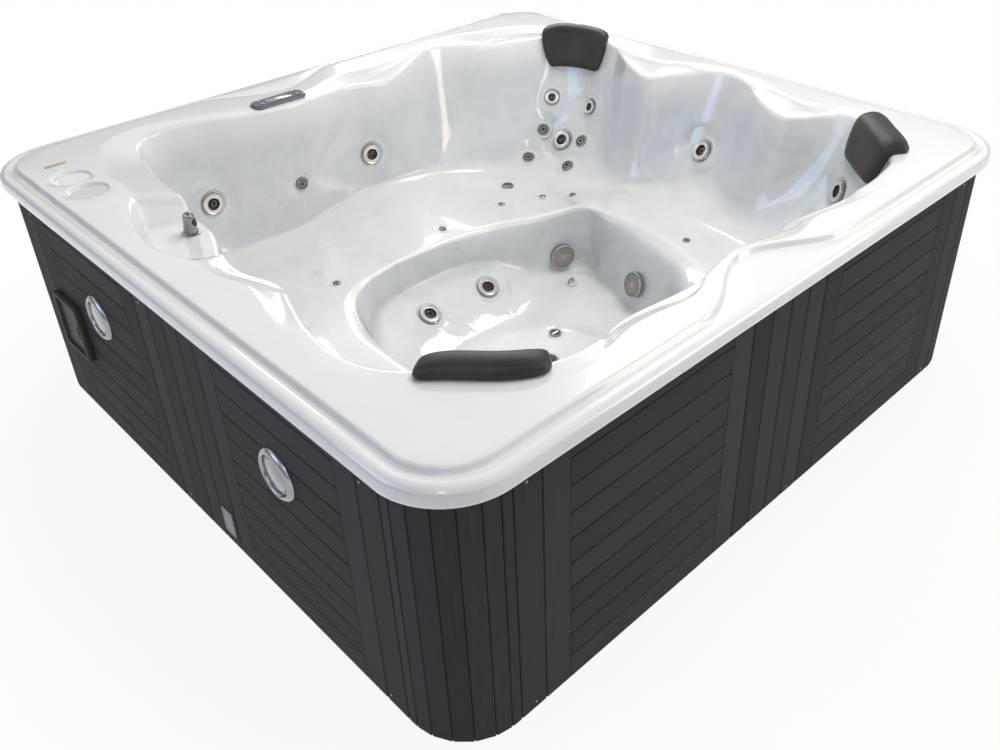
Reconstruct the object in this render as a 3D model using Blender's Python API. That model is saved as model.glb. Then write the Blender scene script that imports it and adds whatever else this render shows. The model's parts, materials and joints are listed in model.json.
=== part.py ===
"""Family hot tub: moulded acrylic shell in a boarded cabinet, every piece its own solid.

Metres, +Z up, the ground at z = 0.  The photo's right-hand (front) face looks to -Y and its
left-hand face looks to -X.  Lengths are named below; tables hold shares of those lengths.
"""
import math

import bmesh
import bpy
from mathutils import Matrix, Vector, geometry

# Overall sizes
TUB_LENGTH = 2.200            # rim, along X
TUB_WIDTH = 2.100             # rim, along Y
DECK_HEIGHT = 0.755
SHELL_THICKNESS = 0.007
GAP = 0.0004                  # air between pieces that touch in the real thing

# Places in plan: share of half the tub's length, share of half its width
PLACE_SHARES = {
    "front_scallop": (-0.0273, -1.0), "back_scallop": (-0.1545, 1.0),
    "cups": (-0.8745, 0.6248), "controls": (-0.2136, 0.7676), "spout": (-0.7691, 0.2495),
    "trim_bar": (-0.8727, 0.7895), "plug": (0.3500, 0.0648), "lamp": (-1.0, 0.4286),
    "hatch": (-1.0, 0.6495), "plate": (-1.0, -0.1067), "pads": (0.0, -0.1524),
    "pad_spread": (0.1818, 0.1714), "main": (0.8591, 0.8524), "suction_lane": (0.5545, -0.6095),
    "massage_pump": (-0.6636, -0.2571), "circulation_pump": (-0.6636, 0.3143),
    "heater": (-0.1364, -0.6714), "control_box": (0.0909, -1.0), "blower": (0.6591, -0.5333)}


# Heights above the ground: share of the deck's height
HEIGHT_SHARES = {
    "floor": 0.1166, "lamp": 0.6053, "hatch": 0.4344, "plate": 0.1086, "main": 0.1523,
    "air": 0.3113, "suction": 0.1139, "heater": 0.2318, "control_box": 0.4503}


def placed(name):
    """Plan position of a named place."""
    share_x, share_y = PLACE_SHARES[name]
    return share_x * TUB_LENGTH / 2.0, share_y * TUB_WIDTH / 2.0


def height_of(name):
    """Height of a named place."""
    return HEIGHT_SHARES[name] * DECK_HEIGHT


# Rim profile
RIM_CORNER_RADIUS = 0.155
RIM_DROP = 0.047
RIM_FOOT = DECK_HEIGHT - RIM_DROP
LIP_FACE_HEIGHT = 0.023
LIP_ROUND = 0.011
LEDGE_WIDTH = 0.044
LEDGE_RISE = 0.0015
STEP_WIDTH = 0.008
SCALLOP_DEPTH = 0.112
SCALLOP_HALF_WIDTH = 0.280
FRONT_SCALLOP_X, BACK_SCALLOP_X = placed("front_scallop")[0], placed("back_scallop")[0]
LIP_SHOULDER = 0.030
LIP_SHOULDER_RISE = 0.003

# Spout alcove and cup holders in the deck
ALCOVE_DEPTH = 0.055
CUP_RADIUS = 0.052
CUP_DEPTH = 0.022
CUP_SPACING = 0.112
CUP_X, CUP_Y = placed("cups")
CUP_YS = (CUP_Y - CUP_SPACING / 2.0, CUP_Y + CUP_SPACING / 2.0)

# Tub floor
FLOOR_HEIGHT = height_of("floor")
SEAT_DISH = 0.004

# Cabinet
RIM_OVERHANG = 0.026
CABINET_HALF_X = TUB_LENGTH / 2.0 - RIM_OVERHANG
CABINET_HALF_Y = TUB_WIDTH / 2.0 - RIM_OVERHANG
CABINET_CORNER_RADIUS = 0.160
PANEL_THICKNESS = 0.018
PANEL_FOOT = 0.003
PANEL_TUCK = 0.014
PANEL_TOP = RIM_FOOT + PANEL_TUCK
BOARD_PITCH = 0.075
GROOVE_HALF_WIDTH = 0.0028
GROOVE_DEPTH = 0.0040
PANEL_JOINT = 0.0008
TRAY_THICKNESS = 0.020
TRAY_INSET = 0.0195
PAD_RADIUS = 0.040
PAD_SPREAD_X, PAD_SPREAD_Y = placed("pad_spread")
PAD_CENTRE_Y = placed("pads")[1]
PAD_CLEARANCE = 0.0006
RAIL_WIDTH = 0.034
RAIL_HEIGHT = 0.040
POST_DEPTH = 0.0272
POST_LENGTH = 0.060

# Jets and fittings in the shell
FACE_RADIUS_LARGE = 0.038
FACE_RADIUS_MEDIUM = 0.028
FACE_RADIUS_SMALL = 0.020
FACE_RADIUS_AIR = 0.012
FACE_RADIUS_INLET = 0.024
FACE_SUNK = 0.006
FACE_CLEARANCE = 0.0015
FIXED_CLEARANCE = 0.0006
HOUSING_DEPTH = 0.060
NOZZLE_OFFSET = 0.004
HOLE_REACH = 0.030
SMALL_HOUSING_DEPTH = 0.050
FLOOR_HOUSING_DEPTH = 0.034
MAIN_HALF_X, MAIN_HALF_Y = placed("main")
MAIN_CHAMFER = 0.160
MAIN_HEIGHT = height_of("main")
MAIN_RADIUS = 0.024
BRANCH_RADIUS = 0.012
FLOOR_BRANCH_HEIGHT = 0.044
AIR_HEIGHT = height_of("air")
AIR_RADIUS = 0.014
AIR_BRANCH_RADIUS = 0.009
AIR_HOUSING_DEPTH = 0.040

# Suction covers and pipe
DRUM_RADIUS = 0.044
DRUM_HEIGHT = 0.020
DRUM_CLEARANCE = 0.002
DRUM_NECK_RADIUS = 0.020
DRUM_NECK_LENGTH = 0.030
DRUM_HOLE_RADIUS = 0.0225
SUCTION_RADIUS = 0.018
SUCTION_HEIGHT = height_of("suction")
SUCTION_LANE_X, SUCTION_LANE_Y = placed("suction_lane")

# Pillows
PILLOW_WIDTH = 0.270
PILLOW_THICKNESS = 0.036
PILLOW_EDGE = 0.010
PILLOW_CLEARANCE = 0.0045
PILLOW_ROLL = 0.048
PILLOW_FLAP = 0.125

# Control panel
PANEL_X, PANEL_Y = placed("controls")
CONTROL_LENGTH = 0.190
CONTROL_WIDTH = 0.064
CONTROL_HEIGHT = 0.010
CONTROL_CORNER = 0.020
DISPLAY_LENGTH = 0.086
DISPLAY_WIDTH = 0.034
DISPLAY_THICKNESS = 0.0020
DISPLAY_PROUD = 0.0004
BUTTON_RADIUS = 0.0075
BUTTON_PROUD = 0.0016
BUTTON_TRAVEL = 0.0012
BUTTON_FLOOR = 0.0035
BUTTON_X = 0.066
BUTTON_Y = 0.015

# Spout
SPOUT_X, SPOUT_Y = placed("spout")
SPOUT_RADIUS = 0.019
SPOUT_TIP_RADIUS = 0.014
SPOUT_HEIGHT = 0.070
SPOUT_LEAN = 0.034
SPOUT_STEM = 0.030
SPOUT_STEM_RADIUS = 0.009

# Trim bar, lamps, hatch and drain plate
BAR_LENGTH = 0.062
BAR_WIDTH = 0.008
BAR_HEIGHT = 0.0025
BAR_X, BAR_Y = placed("trim_bar")
LAMP_Y = placed("lamp")[1]
LAMP_Z = height_of("lamp")
LAMP_RADIUS = 0.067
LAMP_GLASS_RADIUS = 0.050
LAMP_HOLE_RADIUS = 0.054
LAMP_PROUD = 0.011
LAMP_DEPTH = 0.022
HATCH_Y = placed("hatch")[1]
HATCH_Z = height_of("hatch")
HATCH_WIDTH = 0.160
HATCH_HEIGHT = 0.186
HATCH_BORDER = 0.016
HATCH_PROUD = 0.019
HATCH_BACK = 0.008
HATCH_DOOR_THICKNESS = 0.012
HATCH_CLEARANCE = 0.0008
HATCH_PULL_LENGTH = 0.040
HATCH_PULL_WIDTH = 0.010
HATCH_PULL_HEIGHT = 0.008
PLATE_Y = placed("plate")[1]
PLATE_Z = height_of("plate")
PLATE_WIDTH = 0.052
PLATE_HEIGHT = 0.084
PLATE_THICKNESS = 0.0035

# Drain plug
PLUG_X, PLUG_Y = placed("plug")
PLUG_RADIUS = 0.021
PLUG_HEIGHT = 0.006
PLUG_CLEARANCE = 0.0012
PLUG_REST = 0.0012
BAIL_RADIUS = 0.013
BAIL_WIRE = 0.0028

# Equipment under the seats
PUMP_X, PUMP_Y = placed("massage_pump")
PUMP_Z = 0.125
PUMP_RADIUS = 0.072
PUMP_LENGTH = 0.260
VOLUTE_RADIUS = 0.092
VOLUTE_LENGTH = 0.085
SMALL_PUMP_Y = placed("circulation_pump")[1]
SMALL_PUMP_SHARE = 0.72
FOOT_WIDTH = 0.110
FOOT_CLEARANCE = 0.0004
HEATER_X, HEATER_Y = placed("heater")
HEATER_Z = height_of("heater")
HEATER_RADIUS = 0.034
HEATER_FLANGE = 0.048
HEATER_LENGTH = 0.380
HEATER_FLANGE_LENGTH = 0.030
BOX_LENGTH = 0.300
BOX_DEPTH = 0.090
BOX_X = placed("control_box")[0]
BOX_Y = (BOX_DEPTH / 2.0 + PANEL_THICKNESS + POST_DEPTH + 3.0 * GAP) - CABINET_HALF_Y
BOX_Z = height_of("control_box")
BOX_HEIGHT = 0.240
BOX_LID = 0.010
BLOWER_X, BLOWER_Y = placed("blower")
BLOWER_RADIUS = 0.068
BLOWER_HEIGHT = 0.150
BLOWER_NECK = 0.030

# How finely round things are cut
SIDE_STEPS = 11
CORNER_STEPS = 3
BOARD_CORNER_STEPS = 4
JET_FACETS = 14
AIR_FACETS = 8
SMALL_FACETS = 10
PIPE_FACETS = 6
ROUND_FACETS = 20
SUCTION_FACETS = 12

# Shell tables: share of half length, share of half width, share of the deck height
POLE_SHARES = (0.0, -0.10)
LIP_SHARES = (
    (-0.73, -0.71, 0.995), (-0.63, -0.81, 0.995), (-0.51, -0.84, 0.99), (-0.36, -0.80, 0.965),
    (-0.20, -0.835, 0.99), (0.0, -0.82, 0.995), (0.11, -0.84, 0.99), (0.22, -0.805, 0.965),
    (0.37, -0.85, 0.99), (0.55, -0.85, 0.995), (0.66, -0.82, 0.995), (0.745, -0.735, 0.995),
    (0.83, -0.62, 0.995), (0.82, -0.53, 0.99), (0.765, -0.42, 0.965), (0.785, -0.32, 0.98),
    (0.865, -0.20, 0.995), (0.895, -0.09, 0.995), (0.84, 0.03, 0.985), (0.755, 0.125, 0.965),
    (0.79, 0.24, 0.98), (0.85, 0.35, 0.995), (0.865, 0.48, 0.995), (0.82, 0.60, 0.995),
    (0.73, 0.68, 0.975), (0.60, 0.76, 0.97), (0.50, 0.82, 0.985), (0.40, 0.835, 0.995),
    (0.27, 0.77, 0.985), (0.15, 0.735, 0.965), (0.03, 0.755, 0.98), (-0.08, 0.73, 0.99),
    (-0.22, 0.715, 0.995), (-0.36, 0.75, 0.995), (-0.50, 0.815, 0.995), (-0.60, 0.82, 0.99),
    (-0.66, 0.76, 0.985), (-0.69, 0.64, 0.98), (-0.715, 0.50, 0.985), (-0.72, 0.37, 0.985),
    (-0.73, 0.22, 0.985), (-0.79, 0.05, 0.985), (-0.80, -0.06, 0.98), (-0.765, -0.16, 0.965),
    (-0.80, -0.27, 0.98), (-0.835, -0.38, 0.995), (-0.85, -0.50, 0.995), (-0.82, -0.61, 0.995))
WALL_FOOT_SHARES = (
    (-0.60, -0.60, 0.50), (-0.45, -0.72, 0.50), (-0.28, -0.74, 0.50), (0.0, -0.745, 0.50),
    (0.20, -0.73, 0.50), (0.42, -0.74, 0.50), (0.60, -0.60, 0.50), (0.655, -0.40, 0.50),
    (0.68, -0.22, 0.50), (0.70, -0.05, 0.48), (0.655, 0.12, 0.46), (0.62, 0.28, 0.42),
    (0.60, 0.42, 0.40), (0.50, 0.58, 0.40), (0.38, 0.66, 0.42), (0.22, 0.69, 0.46),
    (0.10, 0.71, 0.47), (-0.18, 0.715, 0.42), (-0.40, 0.74, 0.39), (-0.52, 0.72, 0.39),
    (-0.60, 0.55, 0.40), (-0.62, 0.30, 0.44), (-0.66, 0.10, 0.50), (-0.68, -0.12, 0.50),
    (-0.70, -0.40, 0.50))
SEAT_SHARES = (
    (-0.54, -0.54, 0.455), (-0.40, -0.62, 0.455), (0.0, -0.66, 0.455), (0.40, -0.64, 0.455),
    (0.54, -0.52, 0.455), (0.59, -0.35, 0.455), (0.60, -0.18, 0.455), (0.60, 0.0, 0.45),
    (0.58, 0.13, 0.43), (0.50, 0.28, 0.40), (0.44, 0.42, 0.39), (0.32, 0.52, 0.40),
    (0.17, 0.56, 0.455), (0.02, 0.60, 0.46), (-0.15, 0.56, 0.43), (-0.34, 0.51, 0.42),
    (-0.48, 0.50, 0.43), (-0.54, 0.35, 0.44), (-0.58, 0.10, 0.455), (-0.60, -0.15, 0.455),
    (-0.60, -0.38, 0.455))
WELL_LIP_SHARES = (
    (-0.46, -0.42, 0.45), (-0.34, -0.50, 0.45), (0.0, -0.52, 0.45), (0.30, -0.49, 0.45),
    (0.40, -0.40, 0.45), (0.445, -0.30, 0.45), (0.465, -0.18, 0.45), (0.47, -0.02, 0.45),
    (0.445, 0.12, 0.45), (0.37, 0.16, 0.44), (0.29, 0.20, 0.43), (0.20, 0.255, 0.42),
    (0.08, 0.28, 0.42), (-0.07, 0.285, 0.43), (-0.22, 0.27, 0.44), (-0.32, 0.245, 0.445),
    (-0.40, 0.19, 0.45), (-0.445, 0.11, 0.45), (-0.475, 0.02, 0.45), (-0.485, -0.10, 0.45),
    (-0.485, -0.25, 0.45))
FLOOR_EDGE_SHARES = (
    (-0.38, -0.36, 0.12), (-0.25, -0.43, 0.12), (0.0, -0.45, 0.12), (0.20, -0.42, 0.12),
    (0.31, -0.32, 0.12), (0.37, -0.17, 0.12), (0.41, -0.05, 0.12), (0.425, 0.0, 0.12),
    (0.46, 0.09, 0.12), (0.33, 0.15, 0.14), (0.24, 0.185, 0.19), (0.15, 0.225, 0.25),
    (0.04, 0.265, 0.27), (-0.07, 0.275, 0.27), (-0.20, 0.265, 0.27), (-0.30, 0.225, 0.26),
    (-0.37, 0.14, 0.23), (-0.41, 0.02, 0.16), (-0.42, -0.10, 0.12), (-0.42, -0.22, 0.12))
RAMP_FOOT_SHARES = (
    (-0.34, -0.33, 0.118), (-0.22, -0.39, 0.118), (0.0, -0.41, 0.118), (0.18, -0.38, 0.118),
    (0.28, -0.30, 0.118), (0.335, -0.17, 0.118), (0.36, -0.03, 0.118), (0.28, 0.045, 0.118),
    (0.12, 0.075, 0.118), (-0.05, 0.08, 0.118), (-0.20, 0.07, 0.118), (-0.32, 0.03, 0.118),
    (-0.37, -0.05, 0.118), (-0.375, -0.20, 0.118))
# Wall rings between lip and foot: share of the way in, share of the way down
WALL_RING_SHARES = ((0.05, 0.07), (0.24, 0.38), (0.50, 0.70), (0.76, 0.90))
# Alcove: bearings of its two ends and of its deepest point, in shares of a whole turn
ALCOVE_TURN_SHARES = (0.412, 0.474, 0.4545)
ALCOVE_EDGE_TURN_SHARE = 0.0060
ALCOVE_BACK_SHARES = (0.34, 0.30, 0.07)

# Fittings: name, share of a turn round the pole, share of the deck height
LARGE_JET_SHARES = (
    ("lounger", 0.1042, 0.531), ("back_middle", 0.2361, 0.633), ("back_corner", 0.3328, 0.639),
    ("right_side", 0.0014, 0.652), ("right_corner", 0.9006, 0.735))
MEDIUM_JET_SHARES = (("shoulder_a", 0.1117, 0.711), ("shoulder_b", 0.0878, 0.697))
SMALL_JET_SHARES = (
    ("a", 0.1167, 0.564), ("b", 0.0911, 0.548), ("c", 0.1261, 0.450), ("d", 0.0986, 0.445),
    ("e", 0.2908, 0.621))
# Fittings on the seats, the ramp and the floor: share of half length, share of half width
FOOT_JET_SHARES = ((-0.138, 0.186), (0.086, 0.176))
AIR_JET_SHARES = (
    (0.497, -0.288), (0.530, 0.240), (0.462, 0.318), (0.322, 0.370), (0.056, 0.350),
    (-0.372, 0.300))
SEAT_JET_SHARES = ((0.447, 0.480),)
FLOOR_SMALL_SHARES = ((0.111, -0.107),)
FLOOR_INLET_SHARES = ((0.006, -0.195),)
SUCTION_TURN_SHARES = ((0.0870, 0.225), (-0.0370, 0.245))
# Head cushions: share of a turn, share of the flap's length, share of the seating clearance
PILLOW_SHARES = (("near", 0.6175, 1.0, 0.84), ("right", 0.8930, 0.92, 0.30), ("far", 0.0995, 0.92, 0.36))
POST_SHARES = (-0.84, 0.0, 0.84)
SIDE_NAMES = ("front", "right", "back", "left")
# Board joints of a corner, each side of its arc's middle, as shares of the arc
CORNER_JOINT_SHARES = (0.095, 0.286, 0.446, 0.558)
# How far a face stands proud, as a share of its radius
FACE_PROUD_SHARE = 0.24


def clear_scene():
    """Start from nothing."""
    for item in list(bpy.data.objects):
        bpy.data.objects.remove(item, do_unlink=True)


def material(name, colour, roughness, metallic=0.0, coat=0.0):
    """One Principled material."""
    made = bpy.data.materials.new(name)
    made.use_nodes = True
    shader = made.node_tree.nodes["Principled BSDF"]
    shader.inputs["Base Color"].default_value = (*colour, 1.0)
    shader.inputs["Roughness"].default_value = roughness
    shader.inputs["Metallic"].default_value = metallic
    shader.inputs["Coat Weight"].default_value = coat
    return made


def acrylic(name):
    return material(name, (0.82, 0.84, 0.85), 0.12, 0.0, 0.6)


def board(name):
    return material(name, (0.045, 0.050, 0.056), 0.62)


def foam(name):
    return material(name, (0.035, 0.033, 0.031), 0.58)


def steel(name):
    return material(name, (0.62, 0.60, 0.57), 0.22, 1.0)


def brushed(name):
    return material(name, (0.50, 0.49, 0.47), 0.38, 1.0)


def chrome(name):
    return material(name, (0.80, 0.81, 0.82), 0.06, 1.0)


def black_plastic(name):
    return material(name, (0.020, 0.021, 0.023), 0.40)


def grey_plastic(name):
    return material(name, (0.30, 0.31, 0.32), 0.50)


def white_pipe(name):
    return material(name, (0.74, 0.74, 0.71), 0.42)


def clear_lens(name):
    return material(name, (0.72, 0.77, 0.80), 0.05, 0.0, 0.8)


def brass(name):
    return material(name, (0.60, 0.42, 0.16), 0.25, 1.0)


def timber(name):
    return material(name, (0.42, 0.31, 0.19), 0.75)


def painted(name):
    return material(name, (0.10, 0.16, 0.24), 0.45)


def mesh_of(points, faces):
    """A mesh with its faces turned outward."""
    data = bpy.data.meshes.new("mesh")
    data.from_pydata([tuple(p) for p in points], [], [tuple(f) for f in faces])
    data.validate()
    work = bmesh.new()
    work.from_mesh(data)
    bmesh.ops.recalc_face_normals(work, faces=work.faces)
    work.to_mesh(data)
    work.free()
    return data


def place(name, data, finish, origin=None):
    """Link a mesh as an object; an origin moves the object's axis there."""
    data.name = name
    if origin is not None:
        data.transform(Matrix.Translation(-Vector(origin)))
    item = bpy.data.objects.new(name, data)
    bpy.context.scene.collection.objects.link(item)
    if origin is not None:
        item.location = Vector(origin)
    data.materials.clear()
    data.materials.append(finish(name + "_finish"))
    return item


def joined(pieces):
    """Several meshes as one mesh with separate bodies."""
    work = bmesh.new()
    for data in pieces:
        work.from_mesh(data)
    made = bpy.data.meshes.new("joined")
    work.to_mesh(made)
    work.free()
    return made


def boolean(base, tool, operation):
    """The exact boolean of two closed meshes, as a new mesh."""
    first = bpy.data.objects.new("first", base)
    second = bpy.data.objects.new("second", tool)
    bpy.context.scene.collection.objects.link(first)
    bpy.context.scene.collection.objects.link(second)
    step = first.modifiers.new("cut", "BOOLEAN")
    step.operation = operation
    step.solver = "EXACT"
    step.object = second
    graph = bpy.context.evaluated_depsgraph_get()
    made = bpy.data.meshes.new_from_object(first.evaluated_get(graph))
    bpy.data.objects.remove(first, do_unlink=True)
    bpy.data.objects.remove(second, do_unlink=True)
    return tidy(made)


def tidy(data):
    """Join points that coincide and cut every face into triangles."""
    work = bmesh.new()
    work.from_mesh(data)
    bmesh.ops.remove_doubles(work, verts=work.verts, dist=GAP / 400.0)
    bmesh.ops.dissolve_degenerate(work, edges=work.edges, dist=GAP / 400.0)
    bmesh.ops.triangulate(work, faces=work.faces)
    work.to_mesh(data)
    work.free()
    return data


def united(pieces):
    """Union of closed meshes, one after another."""
    whole = pieces[0]
    for extra in pieces[1:]:
        whole = boolean(whole, extra, "UNION")
    return whole


def frame_for(axis):
    """Two directions square to an axis."""
    axis = Vector(axis).normalized()
    helper = Vector((0.0, 0.0, 1.0)) if abs(axis.z) < 0.9 else Vector((0.0, 1.0, 0.0))
    across = helper.cross(axis).normalized()
    return across, axis.cross(across).normalized(), axis


def lathe(profile, facets, origin, axis, shifts=None, turn_share=0.0):
    """Turn (radius, height) pairs about an axis; a zero radius ends in a point."""
    across, up, along = frame_for(axis)
    origin = Vector(origin)
    points, rings = [], []
    for index, (radius, height) in enumerate(profile):
        shift = shifts[index] if shifts else 0.0
        centre = origin + along * height + across * shift
        if radius == 0.0:
            rings.append([len(points)])
            points.append(centre)
            continue
        ring = []
        for step in range(facets):
            angle = math.tau * (step + turn_share) / facets
            ring.append(len(points))
            points.append(centre + (across * math.cos(angle) + up * math.sin(angle)) * radius)
        rings.append(ring)
    closed = len(rings[0]) > 1 and len(rings[-1]) > 1
    pairs = list(zip(rings, rings[1:]))
    if closed:
        pairs.append((rings[-1], rings[0]))
    faces = []
    for low, high in pairs:
        for step in range(facets):
            after = (step + 1) % facets
            if len(low) == 1:
                faces.append((low[0], high[step], high[after]))
            elif len(high) == 1:
                faces.append((low[step], low[after], high[0]))
            else:
                faces.append((low[step], low[after], high[after], high[step]))
    return mesh_of(points, faces)


def cylinder(radius, low, high, origin, axis, facets=JET_FACETS):
    """A plain cylinder between two heights along an axis."""
    profile = ((0.0, low), (radius, low), (radius, high), (0.0, high))
    return lathe(profile, facets, origin, axis)


def box(low, high):
    """A box between two corners."""
    points = [(x, y, z) for x in (low[0], high[0]) for y in (low[1], high[1])
              for z in (low[2], high[2])]
    faces = [(0, 1, 3, 2), (4, 6, 7, 5), (0, 4, 5, 1), (2, 3, 7, 6), (0, 2, 6, 4), (1, 5, 7, 3)]
    return mesh_of(points, faces)


def centred_box(centre, size):
    """A box about a centre."""
    half = Vector(size) / 2.0
    return box(Vector(centre) - half, Vector(centre) + half)


def prism(outline, low, high):
    """A flat outline (list of x, y) carried from one height to another."""
    count = len(outline)
    points = [(p[0], p[1], low) for p in outline] + [(p[0], p[1], high) for p in outline]
    faces = [tuple(range(count)), tuple(range(count, 2 * count))]
    for step in range(count):
        after = (step + 1) % count
        faces.append((step, after, count + after, count + step))
    return tidy(mesh_of(points, faces))


def tube(path, radius, facets=PIPE_FACETS, closed=False):
    """A pipe along a path of points, mitred at its bends."""
    path = [Vector(p) for p in path]
    count = len(path)
    points = []
    normal = None
    for index in range(count):
        if closed:
            before = (path[index] - path[index - 1]).normalized()
            after = (path[(index + 1) % count] - path[index]).normalized()
        else:
            before = (path[index] - path[max(index - 1, 0)]).normalized()
            after = (path[min(index + 1, count - 1)] - path[index]).normalized()
            before = before if before.length > 0.0 else after
            after = after if after.length > 0.0 else before
        along = (before + after).normalized()
        if normal is None:
            normal = frame_for(before)[0]
        normal = (normal - before * normal.dot(before)).normalized()
        second = before.cross(normal)
        for step in range(facets):
            angle = math.tau * (step + 0.5) / facets
            spoke = (normal * math.cos(angle) + second * math.sin(angle)) * radius
            reach = -spoke.dot(along) / max(before.dot(along), 0.2)
            points.append(path[index] + spoke + before * reach)
        normal = before.rotation_difference(after) @ normal
    faces = []
    for index in range(count if closed else count - 1):
        here, there = index * facets, ((index + 1) % count) * facets
        for step in range(facets):
            nxt = (step + 1) % facets
            faces.append((here + step, here + nxt, there + nxt, there + step))
    if not closed:
        faces.append(tuple(range(facets)))
        faces.append(tuple(range((count - 1) * facets, count * facets)))
    return tidy(mesh_of(points, faces))


def rounded_outline(half_x, half_y, radius, steps):
    """Points of a rounded rectangle, anticlockwise from the near right corner."""
    outline = []
    for quarter, (sx, sy) in enumerate(((1, -1), (1, 1), (-1, 1), (-1, -1))):
        for step in range(steps + 1):
            angle = math.tau * (quarter - 1 + step / steps) / 4.0
            outline.append((sx * (half_x - radius) + radius * math.cos(angle),
                            sy * (half_y - radius) + radius * math.sin(angle)))
    return outline


class Cabinet:
    """The cabinet's outline, walked from the middle of the front face towards +X."""

    def __init__(self):
        radius = CABINET_CORNER_RADIUS
        self.flats = (CABINET_HALF_X - radius, CABINET_HALF_Y - radius) * 2
        self.arc = math.tau * radius / 4.0
        self.middles = [0.0]
        for side in range(3):
            self.middles.append(self.middles[-1] + self.flats[side] + self.arc
                                + self.flats[side + 1])

    def at(self, side, along, inset):
        """Plan point at a distance from a side's middle, running on round the corner."""
        radius = CABINET_CORNER_RADIUS
        flat = self.flats[side]
        turn = math.tau * (side - 1) / 4.0
        out = Vector((math.cos(turn), math.sin(turn)))
        run = Vector((-out.y, out.x))
        half = (CABINET_HALF_Y, CABINET_HALF_X)[side % 2]
        if along <= flat:
            return out * (half - inset) + run * along
        angle = turn + (along - flat) / radius
        centre = out * (half - radius) + run * flat
        if along <= flat + self.arc:
            return centre + Vector((math.cos(angle), math.sin(angle))) * (radius - inset)
        rest = along - flat - self.arc
        return self.at((side + 1) % 4, rest - self.flats[(side + 1) % 4], inset)


CABINET = Cabinet()


def vertical_panel(side, cuts):
    """A panel of upright boards; cuts are the distances of its board joints."""
    arc_low = CABINET.flats[side]
    arc_high = arc_low + CABINET.arc
    outer = [CABINET.at(side, cuts[0] + PANEL_JOINT / 2.0, 0.0)]
    for index, cut in enumerate(cuts[1:], start=1):
        middle = (cut + cuts[index - 1]) / 2.0
        if arc_low < middle < arc_high:
            outer.append(CABINET.at(side, middle, 0.0))
        if index < len(cuts) - 1:
            outer.append(CABINET.at(side, cut - GROOVE_HALF_WIDTH, 0.0))
            outer.append(CABINET.at(side, cut, GROOVE_DEPTH))
            outer.append(CABINET.at(side, cut + GROOVE_HALF_WIDTH, 0.0))
    outer.append(CABINET.at(side, cuts[-1] - PANEL_JOINT / 2.0, 0.0))
    inner = [CABINET.at(side, cuts[-1] - PANEL_JOINT / 2.0, PANEL_THICKNESS)]
    if cuts[-1] > arc_low:
        for step in range(BOARD_CORNER_STEPS, -1, -1):
            along = arc_low + CABINET.arc * step / BOARD_CORNER_STEPS
            inner.append(CABINET.at(side, along, PANEL_THICKNESS))
    inner.append(CABINET.at(side, cuts[0] + PANEL_JOINT / 2.0, PANEL_THICKNESS))
    return prism(outer + inner, PANEL_FOOT, PANEL_TOP)


def corner_cuts(side):
    """Board joints of the corner panel that starts on a side, even about its arc's middle."""
    middle = CABINET.flats[side] + CABINET.arc / 2.0
    reach = [share * CABINET.arc for share in CORNER_JOINT_SHARES]
    reach += [reach[-1] + BOARD_PITCH, reach[-1] + 2.0 * BOARD_PITCH]
    return [middle - away for away in reversed(reach)] + [middle + away for away in reach]


def middle_cuts():
    """Board joints of a middle panel: six boards about the side's middle."""
    return [BOARD_PITCH * (step - 3) for step in range(7)]


def level_panel(side, start, end):
    """A panel of boards that lie level, between two distances along a side."""
    rows = round((PANEL_TOP - PANEL_FOOT) / BOARD_PITCH)
    rows = max(rows, 9)
    pitch = (PANEL_TOP - PANEL_FOOT) / rows
    section = [(0.0, PANEL_FOOT)]
    for row in range(1, rows):
        height = PANEL_FOOT + row * pitch
        section.append((0.0, height - GROOVE_HALF_WIDTH))
        section.append((GROOVE_DEPTH, height))
        section.append((0.0, height + GROOVE_HALF_WIDTH))
    section += [(0.0, PANEL_TOP), (PANEL_THICKNESS, PANEL_TOP), (PANEL_THICKNESS, PANEL_FOOT)]
    count = len(section)
    points = []
    for along in (start + PANEL_JOINT / 2.0, end - PANEL_JOINT / 2.0):
        for inset, height in section:
            spot = CABINET.at(side, along, inset)
            points.append((spot.x, spot.y, height))
    faces = [tuple(range(count)), tuple(range(count, 2 * count))]
    for step in range(count):
        after = (step + 1) % count
        faces.append((step, after, count + after, count + step))
    return tidy(mesh_of(points, faces))


class RingTable:
    """A closed line round the pole: radius and height for any bearing."""

    def __init__(self, shares):
        self.rows = []
        pole_y = POLE_SHARES[1] * TUB_WIDTH / 2.0
        for share_x, share_y, share_z in shares:
            x = share_x * TUB_LENGTH / 2.0
            y = share_y * TUB_WIDTH / 2.0 - pole_y
            self.rows.append((math.atan2(y, x), math.hypot(x, y), share_z * DECK_HEIGHT))
        self.rows.sort()

    def row(self, index):
        turns, place_in = divmod(index, len(self.rows))
        bearing, radius, height = self.rows[place_in]
        return bearing + turns * math.tau, radius, height

    def at(self, bearing):
        """(radius, height) by a smooth cubic through the rows."""
        start = self.rows[0][0]
        bearing = (bearing - start) % math.tau + start
        index = sum(1 for row in self.rows if row[0] <= bearing) - 1
        before, here, there, beyond = (self.row(index + step) for step in (-1, 0, 1, 2))
        span = there[0] - here[0]
        share = (bearing - here[0]) / span
        value = []
        for part in (1, 2):
            lead = (there[part] - before[part]) / (there[0] - before[0]) * span
            tail = (beyond[part] - here[part]) / (beyond[0] - here[0]) * span
            cube, square = share ** 3, share ** 2
            value.append((2 * cube - 3 * square + 1) * here[part]
                         + (cube - 2 * square + share) * lead
                         + (3 * square - 2 * cube) * there[part]
                         + (cube - square) * tail)
        return value


def blend(first, second, share_in, share_down):
    """A point part of the way in and part of the way down between two ring points."""
    return (first[0] + (second[0] - first[0]) * share_in,
            first[1] + (second[1] - first[1]) * share_down)


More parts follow.
